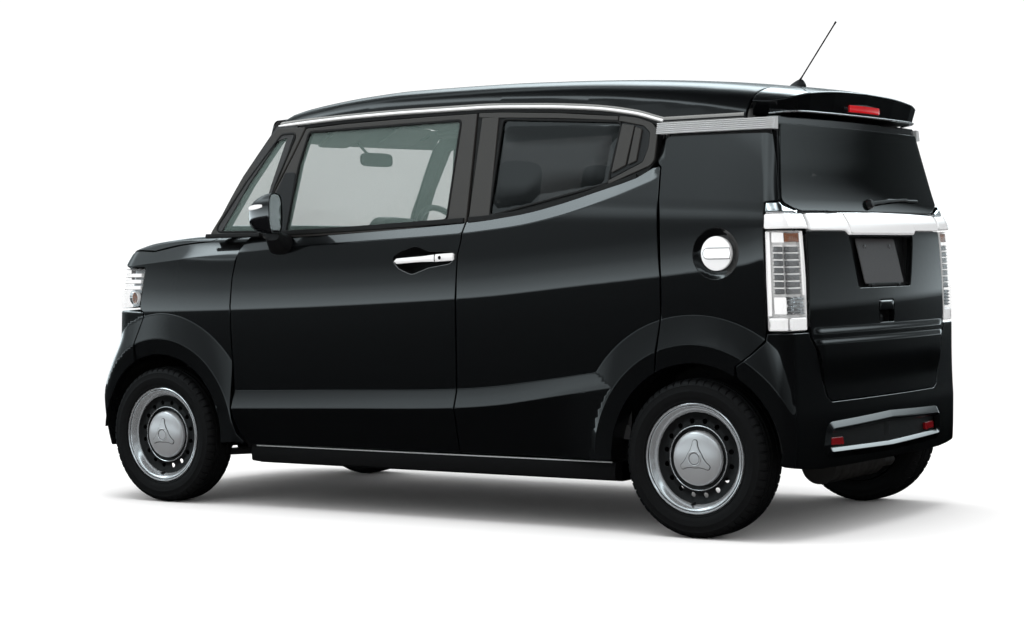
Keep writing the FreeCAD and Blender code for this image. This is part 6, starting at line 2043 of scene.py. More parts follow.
for x in np.linspace(-1384, -1489, 30):
    e0 = math.sqrt(max(0.02, 1 - max(0.0, 1 - (-1382 - x) / 17.0) ** 2))
    y0 = ly - 2 + 5.5
    w_ = 17.5 * e0
    dx2 = math.sqrt(max(0.0, 58.5 ** 2 - (x + 1430) ** 2))
    w_ = min(w_, max(2.0, dx2))
    rings.append([(x, y0 - 9, 988 - w_), (x, y0 - 1.5, 988 - w_), (x, y0, 988 - w_ + 2), (x, y0, 988 + w_ - 2), (x, y0 - 1.5, 988 + w_), (x, y0 - 9, 988 + w_)])
loft(rings, 0, 30, True, gli)
pill = [(-1486.0, 0.0, 1006.0), (-1400.0, 0.0, 1006.0)] + [(-1400 + 18 * math.sin(t), 0.0, 988 + 18 * math.cos(t)) for t in np.linspace(0.15, math.pi - 0.15, 14)] + [(-1400.0, 0.0, 970.0), (-1486.0, 0.0, 970.0)]
pill = np.array(pill) + np.array([0, ly - 2 + 2.2, 0])
sweep(pill, np.array([0, 1.0, 0]), [(-1.7, -1), (1.7, -1), (1.7, 0.6), (-1.7, 0.6)], False, 1, g=gli)
piece("fuel_lid_disc", gli, [BRIGHT, BLACKP], "fuel_lid", ["fuel_lid"])

# ---- door mirror
gmr = Geo()


def egg(cx, cy, cz, a, b, c, p=3.0, n=28, m=20, rng=(-math.pi / 2, math.pi / 2)):
    """Rounded housing: rings along x."""
    rings = []
    for t in np.linspace(rng[0], rng[1], m):
        x = cx + a * math.sin(t)
        s = max(0.02, math.cos(t)) ** (2 / p)
        ring = []
        for k in range(n):
            q = 2 * math.pi * k / n
            cq, sq = math.cos(q), math.sin(q)
            ring.append((x, cy + b * s * math.copysign(abs(cq) ** (2 / p), cq), cz + c * s * math.copysign(abs(sq) ** (2 / p), sq)))
        rings.append(ring)
    return rings


def mx_(x, y, z):
    """The glass looks inwards to the driver: its inner edge lies further forward."""
    return x + 84 * (1 - max(0.0, (x - 404) / 176.0)) * min(1.0, max(0.0, (927 - y) / 178.0))


def mxr(rs):
    return [[(mx_(*p), p[1], p[2]) for p in r] for r in rs]


rings = []
for t in np.linspace(0, 1, 22):
    # from the glass rim at the back to the nose in front
    x = 404 + 176 * t
    k = (1 - t ** 2.6) ** 0.42 if t < 1 else 0.03
    k = max(k, 0.06)
    b, c = 89 * k, 80 * (0.93 + 0.07 * math.cos(3 * t)) * k
    cy, cz = 838 - 34 * t, 1172 - 12 * t
    ring = []
    for j in range(40):
        q = 2 * math.pi * j / 40
        cq, sq = math.cos(q), math.sin(q)
        p = 3.4
        ring.append((x, cy + b * math.copysign(abs(cq) ** (2 / p), cq), cz + c * math.copysign(abs(sq) ** (2 / p), sq)))
    rings.append(ring)
rings = [[(mx_(*p), p[1], p[2]) for p in r] for r in rings]
loft(rings, 0, 50, True, gmr)
rim_r = [(404, p[1], p[2]) for p in rings[0]]
cen_ = np.mean(rim_r, 0)
inner_r = [tuple(cen_ + (np.array(p) - cen_) * 0.93) for p in rim_r]
loft(mxr([rim_r, [(401, p[1], p[2]) for p in (tuple(cen_ + (np.array(q) - cen_) * 0.985) for q in rim_r)], [(401.5, p[1], p[2]) for p in inner_r], [(410, p[1], p[2]) for p in inner_r]]), 1, 30, False, gmr)
loft(mxr([[(409, p[1], p[2]) for p in (tuple(cen_ + (np.array(q) - cen_) * s) for q in rim_r)] for s in (0.94, 0.5, 0.05)]), 2, 60, True, gmr)
# clear turn lens along the nose
rings = []
for t in np.linspace(0, 1, 24):
    x = 440 + 118 * t
    tt = (x - 404) / 176.0
    k = max((1 - tt ** 2.6) ** 0.42, 0.06)
    cy, cz = 838 - 34 * tt, 1172 - 12 * tt
    b, c = 89 * k, 80 * (0.93 + 0.07 * math.cos(3 * tt)) * k
    hz = 9 * math.sin(math.pi * min(1, max(0, t * 0.94 + 0.05))) ** 0.4
    row = []
    for zz, off in ((-1, -3), (-1, 1.2), (-0.5, 2.4), (0.5, 2.4), (1, 1.2), (1, -3)):
        z = 8 + zz * hz
        s = min(0.98, abs(z) / c)
        yy_ = b * (1 - s ** 3.4) ** (1 / 3.4)
        row.append((x, cy + yy_ + off, cz + z + 22))
    rings.append(row)
loft(mxr(rings), 3, 40, True, gmr)
# foot and the triangular base at the door's corner
rings = []
for t in np.linspace(0, 1, 14):
    y = 694 + (800 - 694) * t
    w_, h_ = 62 - 26 * t, 44 - 20 * t
    cx, cz = 545 - 46 * t, 1052 + 40 * t ** 1.5
    rings.append([(cx + w_ * math.copysign(abs(math.cos(q)) ** 0.7, math.cos(q)), y, cz + h_ * math.copysign(abs(math.sin(q)) ** 0.7, math.sin(q))) for q in np.linspace(0, 2 * math.pi, 28, endpoint=False)])
loft(rings, 1, 50, True, gmr)
gmr.join(shell(P_FRM, [(524, 1100, 8), (646, 1098, 8), (622, 1222, 14), (572, 1340, 10), (516, 1340, 20), (520, 1200, 40)], roll=3, depth=10, step=(24, 24), edge=9, mi=1, push=3))
both("mirror_piece", gmr, [GLOSSB, BLACKP, MIRR, WHITE], FD, "door_mirror")

# ---- moulding under the doors
gsl = Geo()
xs_ = np.linspace(715, -1000, 60)
P = np.stack([xs_, np.full(60, 640.0), np.full(60, 178.0)], 1)
rings = []
for x in xs_:
    e = 4 * max(0.0, (x - 640) / 75.0) ** 2
    rings.append([(x, 600, 182 + e), (x, 664, 180 + e), (x, 690, 184 + e), (x, 696, 190 + e), (x, 698, 214), (x, 694, 236), (x, 690, 248), (x, 676, 251), (x, 640, 252), (x, 600, 250)])
loft(rings, 0, 25, True, gsl)
SILLM = mat("sill_plastic", (0.0030, 0.0030, 0.0032), 0.6, spec=0.10, var=(120.0, 0.2), rvar=(300.0, 0.06), bump=(1500.0, 0.10))
# painted highlight: the pale metallic colour of the strip on the sill's top edge stands for the bright line that edge
# catches
SILL_EDGE_HIGHLIGHT = mat("sill_edge_painted_highlight", (0.42, 0.44, 0.44), 0.28, metal=0.35, var=(200.0, 0.08), rvar=(300.0, 0.04), bump=(900.0, 0.02))
# painted highlight: a thin pale strip along the top outer edge of the black sill
xe_ = np.linspace(690, -985, 50)
sweep(np.stack([xe_, np.full(50, 692.5), np.full(50, 250.0)], 1), np.array([0, 0.8, 0.6]), [(-2.0, -2.0), (2.0, -2.0), (1.8, 1.2), (0.0, 2.0), (-1.8, 1.2)], False, 1, g=gsl)
both("sill_moulding", gsl, [SILLM, SILL_EDGE_HIGHLIGHT], "body", [])

# ---- aerial
gan = Geo()
zr = float(roof_z(np.array(-1392.0), np.array(0.0)))
rings = []
for t in np.linspace(0, 1, 12):
    s = (1 - t ** 1.7) * 0.74 + 0.26
    cx = -1388 - 12 * t
    rings.append([(cx + 36 * s * math.cos(q) * (1.12 if math.cos(q) > 0 else 0.9), 24 * s * math.sin(q), zr - 5 + 30 * t) for q in np.linspace(0, 2 * math.pi, 28, endpoint=False)])
loft(rings, 0, 50, True, gan)
a36 = math.radians(36)
dirm = np.array([-math.sin(a36), 0, math.cos(a36)])
b0 = np.array([-1392.0, 0, zr + 16])
Lm = (1836.37 - 3 - b0[2]) / math.cos(a36)
ts = np.linspace(0, Lm, 240)
wob = 1.0 + 0.10 * (np.arange(240) % 4 < 2)
sc_ = np.where(ts < 26, 2.0 - ts / 26 * 0.9, np.where(ts > Lm - 10, 1.35, wob))
tube(b0 + dirm * ts[:, None], 2.7, 10, False, 0, gan, N=np.tile([0.0, 1.0, 0.0], (240, 1)), scale=sc_)
piece("aerial", gan, [BLACKP], "body", ["antenna"])

# ===================================================================== seats
def coords(me):
    co = np.zeros(len(me.vertices) * 3)
    me.vertices.foreach_get("co", co)
    return co.reshape(-1, 3)


def baked(o):
    """The object's evaluated mesh takes the place of its own, without modifiers."""
    dg = bpy.context.evaluated_depsgraph_get()
    me = bpy.data.meshes.new_from_object(o.evaluated_get(dg))
    o.modifiers.clear()
    old = o.data
    o.data = me
    bpy.data.meshes.remove(old)
    return o


def tri_arrays(me):
    me.calc_loop_triangles()
    t = np.zeros(len(me.loop_triangles) * 3, np.int32)
    me.loop_triangles.foreach_get("vertices", t)
    return t.reshape(-1, 3)


def pad(half, p=6.0, cuts=12, voxel=9.0, shrink=0.95, cap=24.0, pressure=4.0, shape=None, carve=None, keep=1.0):
    """A stuffed form in its own frame: width u, length v, thickness w, in mm.

    It is remeshed, blown up as cloth, capped, smoothed and then sewn.
    """
    hu, hv, hw = half
    bm = bmesh.new()
    bmesh.ops.create_cube(bm, size=2.0)
    bmesh.ops.subdivide_edges(bm, edges=bm.edges[:], cuts=cuts, use_grid_fill=True)
    V = np.array([v.co[:] for v in bm.verts])
    V /= ((np.abs(V) ** p).sum(1) ** (1 / p))[:, None]
    V = V * np.array([hu, hv, hw]) * np.array([shrink + 0.02, shrink + 0.02, shrink - 0.12])
    # the sides pull in between the corners
    V[:, 0] *= 1 - 0.022 * (1 - (V[:, 1] / hv) ** 2)
    V[:, 1] *= 1 - 0.018 * (1 - (V[:, 0] / hu) ** 2)
    if shape:
        V = shape(V)
    for v, c in zip(bm.verts, V):
        v.co = Vector(c / 1000.0)
    me = bpy.data.meshes.new("pad_work")
    bm.to_mesh(me)
    bm.free()
    o = bpy.data.objects.new("pad_work", me)
    scene.collection.objects.link(o)
    rm = o.modifiers.new("remesh", "REMESH")
    rm.mode, rm.voxel_size, rm.use_smooth_shade = "VOXEL", voxel / 1000.0, True
    baked(o)
    rest = coords(o.data)
    cl = o.modifiers.new("cloth", "CLOTH")
    st = cl.settings
    st.quality = 4
    st.mass = 0.25
    st.tension_stiffness = st.compression_stiffness = 22
    st.bending_stiffness = 0.6
    st.use_pressure = True
    st.uniform_pressure_force = pressure
    st.effector_weights.gravity = 0
    cl.point_cache.frame_start, cl.point_cache.frame_end = 1, 20
    for f in range(1, 21):
        scene.frame_set(f)
    ev = o.evaluated_get(bpy.context.evaluated_depsgraph_get())
    d = coords(ev.data) - rest
    L = np.linalg.norm(d, axis=1, keepdims=True)
    d *= np.minimum(1.0, (cap / 1000.0) / np.maximum(L, 1e-9))
    o.modifiers.clear()
    scene.frame_set(1)
    o.data.vertices.foreach_set("co", (rest + d).ravel())
    o.data.update()
    sb = o.modifiers.new("fine", "SUBSURF")
    sb.levels = sb.render_levels = 1
    baked(o)
    P = coords(o.data) * 1000.0
    T = tri_arrays(o.data)
    # it never leaves the room of its solid
    for k, h in enumerate((hu, hv, hw)):
        q = P[:, k] / h
        P[:, k] = h * np.where(np.abs(q) > 0.9, np.sign(q) * (0.9 + 0.1 * np.tanh((np.abs(q) - 0.9) / 0.1)), q)
    if carve:
        a = P[T]
        fn = np.cross(a[:, 1] - a[:, 0], a[:, 2] - a[:, 0])
        vn = np.zeros_like(P)
        for c in range(3):
            np.add.at(vn, T[:, c], fn)
        vn = unit(vn)
        P = P - vn * carve(P, vn)[:, None]
    if keep < 1.0:
        o.data.vertices.foreach_set("co", (P / 1000.0).ravel())
        o.data.update()
        dm = o.modifiers.new("fewer", "DECIMATE")
        dm.ratio = keep
        baked(o)
        P, T = coords(o.data) * 1000.0, tri_arrays(o.data)
    me = o.data
    bpy.data.objects.remove(o)
    bpy.data.meshes.remove(me)
    return P, T


def pad_geo(PT, at, v_dir, w_dir, g=None, mi=0):
    """Places a pad with its length along v_dir and its face along w_dir."""
    P, T = PT
    v = unit(v_dir)
    w = np.asarray(w_dir, float) - np.dot(w_dir, v) * v
    w = unit(w)
    u = np.array([0.0, 1.0, 0.0])
    if np.dot(np.cross(u, v), w) < 0:
        u = -u
    Q = np.asarray(at, float) + P[:, :1] * u + P[:, 1:2] * v + P[:, 2:] * w
    a = Q[T]
    fn = np.cross(a[:, 1] - a[:, 0], a[:, 2] - a[:, 0])
    vn = np.zeros_like(Q)
    for c in range(3):
        np.add.at(vn, T[:, c], fn)
    vn = unit(vn)
    g = g or Geo()
    g.add(Q, T, vn, mi)
    return g


def gz(d, w):
    return np.exp(-(d / w) ** 2)


def sewn(hu, hv, lines_u, lines_v, depth=5.5, width=6.0, rim=None):
    """Grooves on the face (w > 0): along v at each of lines_u, across at lines_v."""
    def carve(P, vn):
        up = np.clip(vn[:, 2] * 2.5, 0, 1)
        out = np.zeros(len(P))
        mid = np.clip((lines_u[0] * 1.0 + 4 - np.abs(P[:, 0])) / 8.0, 0, 1) if lines_u else 1.0
        for q in lines_u:
            out = np.maximum(out, gz(np.abs(P[:, 0]) - q, width))
        for q in lines_v:
            out = np.maximum(out, gz(P[:, 1] - q, width) * mid)
        out *= up
        # piped seam round the border of the face
        e = gz(vn[:, 2] - 0.62, 0.13) * 0.55
        return depth * out + 3.0 * e * np.clip(1 - up * 0, 0, 1)
    return carve


def bolster(hu, amount=16.0, start=0.62):
    def shape(V):
        s = np.clip((np.abs(V[:, 0]) / hu - start) / (1 - start), 0, 1)
        V[:, 2] += np.where(V[:, 2] > 0, amount * s * (1 - 0.35 * s), 0)
        return V
    return shape


fc = pad((236, 206, 68), shape=bolster(236, 12), carve=sewn(236, 206, [150], [-70, 40]), keep=0.6)
fb = pad((232, 318, 56), shape=bolster(232, 14), carve=sewn(232, 318, [146], [-150, 20, 170]), keep=0.6)
fh = pad((126, 88, 48), p=4.5, voxel=8.0, cap=16.0, carve=sewn(126, 88, [], [-30], 2.5), keep=1.0)
rc = pad((452, 206, 64), cuts=16, voxel=10.0, carve=sewn(452, 206, [300, 12], [-60, 50]), keep=0.6)
rb = pad((452, 280, 54), cuts=16, voxel=10.0, carve=sewn(452, 280, [300, 12], [-110, 60]), keep=0.6)
rh = pad((116, 70, 38), p=4.5, voxel=8.0, cap=14.0, carve=sewn(116, 70, [], [-22], 2.0), keep=1.0)

c16, s16 = math.cos(math.radians(13.7)), math.sin(math.radians(13.7))
c20, s20 = math.cos(math.radians(17.4)), math.sin(math.radians(17.4))
FS, RS = np.array([-230.0, 300.0, 430.0]), np.array([-1120.0, 0.0, 430.0])
g_cu = pad_geo(fc, FS + (292, 0, 76), (1, 0, 0.05), (0, 0, 1))
g_bk = pad_geo(fb, FS + (-44, 0, 424), (-s16, 0, c16), (c16, 0, s16))
g_hd = pad_geo(fh, (-334, 300, 1275), (-0.16, 0, 1), (1, 0, 0.16))
q_cu = pad_geo(rc, RS + (292, 0, 72), (1, 0, 0.04), (0, 0, 1))
q_bk = pad_geo(rb, RS + (-46, 0, 372), (-s20, 0, c20), (c20, 0, s20))
q_hd = pad_geo(rh, (-1244, 270, 1146), (-0.22, 0, 1), (1, 0, 0.22))

# posts, side shields, rails and levers of a front seat
g_fr = Geo()
for yp in (-58, 58):
    tube(np.array([(-352.0, 300 + yp, 1120), (-346, 300 + yp, 1165), (-338, 300 + yp, 1215)]), 6.2, 14, mi=1, g=g_fr)
    lathe([(0, 9), (10, 9), (12, 7), (12, -8), (0, -8)], (-353, 300 + yp, 1150), (-0.2, 0, 1), 24, 0, 34, g_fr)
for sy in (-1, 1):
    y0 = 300 + sy * 238
    rings = []
    for t in np.linspace(0, 1, 12):
        x = -290 + 520 * t
        top = 500 - 40 * t + (62 * math.exp(-((x + 235) / 60.0) ** 2))
        bot = 428 + 8 * math.sin(math.pi * t)
        rings.append([(x, y0 - sy * 10, bot), (x, y0 - sy * 2, bot), (x, y0, bot + 6), (x, y0, top - 8), (x, y0 - sy * 3, top), (x, y0 - sy * 10, top)])
    loft(rings, 0, 28, True, g_fr)
    yr = 300 + sy * 170
    rbox((-215, yr - 17, 266), (250, yr + 17, 284), 3, 2, 2, g_fr)
    rbox((-190, yr - 12, 284), (235, yr + 12, 296), 2, 2, 2, g_fr)
    for x0 in (-165, 165):
        rbox((x0, yr - 14, 290), (x0 + 42, yr + 14, 436), 5, 2, 2, g_fr, taper=(0.8, 1))
rbox((-150, 140, 300), (200, 460, 332), 12, 3, 0, g_fr)
rings = []
for t in np.linspace(0, 1, 10):
    x = -180 + 410 * t
    rings.append([(x, 110, 398), (x, 104, 410), (x, 104, 430), (x, 496, 430), (x, 496, 410), (x, 490, 398)])
loft(rings, 0, 30, True, g_fr)
tube(np.array([(238.0, 190, 300), (268, 190, 302), (282, 200, 304), (284, 300, 304), (282, 400, 304), (268, 410, 302), (238, 410, 300)]), 5.5, 12, mi=2, g=g_fr)
lathe([(0, 14), (24, 14), (28, 10), (28, 0), (0, 0)], (-200, 538, 520), (0, 1, 0), 36, 0, 34, g_fr)
# back shell of the seat
rings = []
for t in np.linspace(0, 1, 14):
    v = -300 + 600 * t
    cx, cz = FS[0] - 44 - s16 * v, FS[2] + 424 + c16 * v
    b = 222 * (1 - 0.10 * t ** 4)
    k = 52.0
    P0 = np.array([cx - c16 * k, 300, cz - s16 * k])
    n = np.array([-c16, 0, -s16])
    rings.append([tuple(P0 + np.array([0, yy, 0]) + n * dd) for yy, dd in ((-b, -14), (-b, -2), (-b + 14, 6), (-b * 0.5, 9), (b * 0.5, 9), (b - 14, 6), (b, -2), (b, -14))])
loft(rings, 0, 40, True, g_fr)

for nm, gg, mt_ in (("cushion", g_cu, [FABRIC]), ("back", g_bk, [FABRIC]), ("head_pad", g_hd, [FABRIC]), ("frame", g_fr, [INTP, CHROME, AXLE])):
    for side in ("left", "right"):
        o = piece("front_seat_%s_%s" % (nm, side), gg if side == "left" else gg.mirror(), mt_, "body", ["front_seats"])

g_rf = Geo()
for y0 in (-270, 270):
    for yp in (-52, 52):
        tube(np.array([(-1262.0, y0 + yp, 1046), (-1256, y0 + yp, 1080), (-1250, y0 + yp, 1112)]), 5.8, 14, mi=1, g=g_rf)
rings = []
for y in np.linspace(-470, 470, 30):
    e = 6 * math.cos(y / 470 * math.pi / 2)
    rings.append([(-1010 - e, y, 268), (-1012 - e, y, 400), (-1000, y, 428), (-700, y, 428), (-690 + e, y, 400), (-702 + e, y, 300), (-716, y, 268)])
loft(rings, 2, 30, True, g_rf)
rings = []
for t in np.linspace(0, 1, 14):
    v = -262 + 524 * t
    cx, cz = RS[0] - 46 - s20 * v, RS[2] + 372 + c20 * v
    k = 50.0
    P0 = np.array([cx - c20 * k, 0, cz - s20 * k])
    n = np.array([-c20, 0, -s20])
    rings.append([tuple(P0 + np.array([0, yy, 0]) + n * dd) for yy, dd in ((-444, -12), (-444, -2), (-432, 5), (-12, 6), (-4, 1), (4, 1), (12, 6), (432, 5), (444, -2), (444, -12))])
loft(rings, 2, 30, True, g_rf)
for y0 in (-440, 440):
    lathe([(0, 8), (12, 8), (15, 5), (15, -6), (0, -6)], (-1262, y0 * 0.97, 1052), (-0.3, 0, 0.95), 28, 0, 34, g_rf)
piece("rear_seat_frame", g_rf, [INTP, CHROME, CARPET], "body", ["rear_seat"])
for nm, gg in (("rear_seat_cushion", q_cu), ("rear_seat_back", q_bk), ("rear_head_pad_left", q_hd), ("rear_head_pad_right", q_hd.mirror())):
    o = piece(nm, gg, [FABRIC], "body", ["rear_seat"])

# ================================================================= dashboard
gda = Geo()
base_pr = [(842, 650), (842, 1062), (826, 1082), (770, 1090), (705, 1076), (650, 1042), (612, 996), (592, 948), (586, 912), (600, 890), (642, 818), (676, 720), (700, 650)]
rings = []
for y in np.linspace(-556, 556, 112):
    hood = math.exp(-(abs(y + 300) / 158.0) ** 6)
    mid = math.exp(-(abs(y) / 120.0) ** 6)
    edge = 1 - 0.02 * max(0.0, (abs(y) - 500) / 56.0)
    ring = []
    for x, z in base_pr:
        zz, xx = z, x
        k = math.exp(-((x - 720) / 95.0) ** 4) if z > 1000 else 0.0
        zz += 92 * hood * k
        if 900 <= z <= 1045 and x < 680:
            xx += 26 * hood * (1 if z < 1030 else 0.2)
        if z < 1000 and x < 660:
            xx -= 34 * mid * math.exp(-((z - 880) / 120.0) ** 2)
        ring.append((xx * (1 if x > 800 else edge), y, zz))
    rings.append(ring)
loft(rings, 0, 30, True, gda)
# instrument face with two dials under the hood
fdir = unit((-0.80, 0, 0.60))
fc0 = np.array([655.0, -300, 1080])
rbox(fc0 - (6, 132, 46), fc0 + (6, 132, 46), 10, 3, 1, gda, rot=Matrix.Rotation(math.radians(-30), 3, "Y"))
for yo, rr in ((-66, 38), (66, 38), (0, 22)):
    cc = fc0 + (0, yo, 0) + fdir * 6
    lathe([(rr - 3, 0), (rr - 3, 3.5), (rr - 1, 5), (rr + 1, 3.5), (rr + 1.5, 0)], cc, fdir, 48, 2, 34, gda)
    for k in range(9):
        a = math.radians(-30 + 240 * k / 8)
        uu, vv = np.array([0, 1.0, 0]), np.cross(fdir, [0, 1.0, 0])
        q = cc + (uu * math.cos(a) + vv * math.sin(a)) * (rr - 8) + fdir * 1.0
        rbox(q - 1.4, q + 1.4, 0.6, 1, 4, gda)
    tube(np.array([cc + fdir * 2.0, cc + fdir * 2.0 + (np.array([0, -0.8, 0]) + np.cross(fdir, [0, 1.0, 0]) * 0.5) * (rr * 0.7)]), 1.1, 8, mi=3, g=gda)
# centre panel: display, knobs, keys and shelf
cp = np.array([556.0, 0, 900])
rbox((552, -92, 930), (596, 92, 1030), 8, 3, 1, gda, rot=Matrix.Rotation(math.radians(14), 3, "Y"))
rbox((549, -84, 940), (556, 84, 1018), 4, 2, 5, gda, rot=Matrix.Rotation(math.radians(14), 3, "Y"), at=Vector((574, 0, 980)))
rbox((546, -92, 826), (600, 92, 912), 10, 3, 0, gda)
for yo in (-58, 0, 58):
    lathe([(0, 20), (17, 20), (20, 17), (22, 2), (25, 0), (0, 0)], (548, yo, 868), (-1, 0, 0.05), 44, [1, 2, 1, 2, 1], 32, gda)
    rbox((526, yo - 1.2, 872), (530, yo + 1.2, 886), 0.6, 1, 3, gda)
for k in range(6):
    rbox((541, -80 + 27 * k, 832), (549, -80 + 27 * k + 21, 840), 2, 2, 1, gda)
# vents: a framed opening with slats
for yv, w_, zc in ((-500, 44, 985), (500, 44, 985), (-134, 34, 985), (134, 34, 985)):
    xf = 590 if abs(yv) > 200 else 580
    path = np.array([(xf, yv + w_ * math.copysign(abs(math.cos(q)) ** 0.5, math.cos(q)), zc + 34 * math.copysign(abs(math.sin(q)) ** 0.5, math.sin(q))) for q in np.linspace(0, 2 * math.pi, 40, endpoint=False)])
    tube(path, 3.4, 10, True, 2, gda, N=np.tile([-1.0, 0, 0], (40, 1)))
    for k in range(5):
        zz = zc - 26 + 13 * k
        rbox((xf + 1, yv - w_ + 2, zz - 1.4), (xf + 26, yv + w_ - 2, zz + 1.4), 0.7, 1, 1, gda)
    rbox((xf + 22, yv - w_, zc - 33), (xf + 40, yv + w_, zc + 33), 6, 2, 1, gda)
# glove box lid with its latch, and the lower knee panel
rbox((566, 150, 760), (640, 520, 872), 14, 3, 0, gda, rot=Matrix.Rotation(math.radians(18), 3, "Y"))
rbox((578, 306, 838), (596, 366, 856), 4, 2, 1, gda)
rbox((574, -520, 770), (636, -420, 872), 12, 3, 0, gda, rot=Matrix.Rotation(math.radians(18), 3, "Y"))
# gear lever on the centre panel
tube(np.array([(572.0, 0, 800), (548, 0, 812), (520, 0, 838), (506, 0, 862)]), 6, 12, mi=2, g=gda)
loft([[(506 + a * 0.5 + rr * math.cos(q) * 0.8, rr * math.sin(q), 860 + a + 8 * math.cos(q)) for q in np.linspace(0, 2 * math.pi, 24, endpoint=False)] for a, rr in ((-6, 6), (0, 15), (14, 19), (28, 18), (38, 12), (42, 3))], 1, 50, True, gda)
rbox((566, -36, 776), (606, 36, 828), 10, 3, 1, gda)
NEEDLE = mat("dial_needle", (0.5, 0.03, 0.02), 0.4, var=(80.0, 0.1), rvar=(200.0, 0.04), bump=None)
MARK = mat("dial_mark", (0.75, 0.76, 0.78), 0.5, var=(80.0, 0.08), rvar=(200.0, 0.04), bump=None)
SCREEN = mat("display_glass", (0.008, 0.009, 0.011), 0.06, coat=1.0, var=(60.0, 0.15), rvar=(80.0, 0.02), bump=None)
piece("dash_panel", gda, [INTP, BLACKP, SILVER, NEEDLE, MARK, SCREEN], "body", ["dashboard"])

# ============================================================= steering wheel
AX = np.array([-math.sin(math.radians(64)), 0, math.cos(math.radians(64))])
SC = np.array([450.0, -300.0, 1050.0])
SU, SV_ = np.array([0.0, 1.0, 0.0]), np.cross(AX, [0.0, 1.0, 0.0])
if SV_[2] < 0:
    SV_ = -SV_
gsw = Geo()
n_ = 120
aa = np.linspace(0, 2 * math.pi, n_, endpoint=False)
rim = SC + 178 * (np.cos(aa)[:, None] * SU + np.sin(aa)[:, None] * SV_)
grip = 1.0 + 0.09 * (np.exp(-((np.abs(np.degrees(aa) - 35)) / 14) ** 2) + np.exp(-((np.abs(np.degrees(aa) - 145)) / 14) ** 2))
sweep(rim, np.tile(AX, (n_, 1)), circ(13.2, 18), True, 0, 70, True, grip, gsw)
tube(SC + AX * 0 + 165.2 * (np.cos(aa)[:, None] * SU + np.sin(aa)[:, None] * SV_), 1.4, 6, True, 2, gsw, N=np.tile(AX, (n_, 1)))


def on_wheel(u, v, w):
    return tuple(SC + u * SU + v * SV_ + w * AX)


for a0, wd in ((8, 25), (172, 25), (-90, 30)):
    a = math.radians(a0)
    d = np.array([math.cos(a), math.sin(a)])
    nn = np.array([-d[1], d[0]])
    rings = []
    for t in np.linspace(0, 1, 12):
        r_ = 46 + 124 * t
        w_ = wd * (1 - 0.42 * math.sin(math.pi * min(1, t * 1.1)) ** 0.8)
        h0 = -24 + 18 * t
        rings.append([on_wheel(*(d * r_ + nn * q), h) for q, h in ((-w_, h0), (-w_, h0 + 9), (-w_ + 4, h0 + 13), (w_ - 4, h0 + 13), (w_, h0 + 9), (w_, h0))])
    loft(rings, 1, 30, True, gsw)
rings = []
for t in np.linspace(0, 1, 12):
    k = 1 - t ** 3 * 0.55
    ring = []
    for q in np.linspace(0, 2 * math.pi, 44, endpoint=False):
        cq, sq = math.cos(q), math.sin(q)
        ring.append(on_wheel(72 * k * math.copysign(abs(cq) ** 0.6, cq), 58 * k * math.copysign(abs(sq) ** 0.7, sq) - 6, -30 + 34 * math.sin(t * math.pi / 2)))
    rings.append(ring)
loft(rings, 0, 50, True, gsw)
tube(np.array([on_wheel(0, 0, -112), on_wheel(0, 0, -60), on_wheel(0, 0, -28)]), 24, 28, mi=1, g=gsw)
for sy in (-1, 1):
    tube(np.array([on_wheel(sy * 20, 6, -62), on_wheel(sy * 90, 18, -58), on_wheel(sy * 132, 24, -52)]), 6.5, 12, mi=1, g=gsw)
LEATH = mat("wheel_grip", (0.020, 0.020, 0.021), 0.52, var=(150.0, 0.2), rvar=(260.0, 0.06), bump=(420.0, 0.35), sheen=0.1)
piece("steering_ring", gsw, [LEATH, INTP, SILVER], [b for b in frame["bodies"] if "steering" in b][0], ["steering_wheel"])

# ======================================================= mirror, visors, lining
gin = Geo()
rings = []
for t in np.linspace(0, 1, 7):
    x = 596 + 26 * t
    k = (1.0, 1.0, 0.99, 0.96, 0.88, 0.7, 0.4)[int(round(t * 6))]
    rings.append([(x, 106 * k * math.copysign(abs(math.cos(q)) ** 0.35, math.cos(q)), 1411 + 29 * k * math.copysign(abs(math.sin(q)) ** 0.6, math.sin(q))) for q in np.linspace(0, 2 * math.pi, 48, endpoint=False)])
loft(rings, 0, 40, True, gin)
loft([[(595.4, p[1] * s, 1411 + (p[2] - 1411) * s) for p in rings[0]] for s in (0.94, 0.5, 0.04)], 1, 60, True, gin)
tube(np.array([(620.0, 0, 1416), (638, 0, 1428), (668, 0, 1456), (700, 0, 1488)]), 6, 14, mi=0, g=gin)
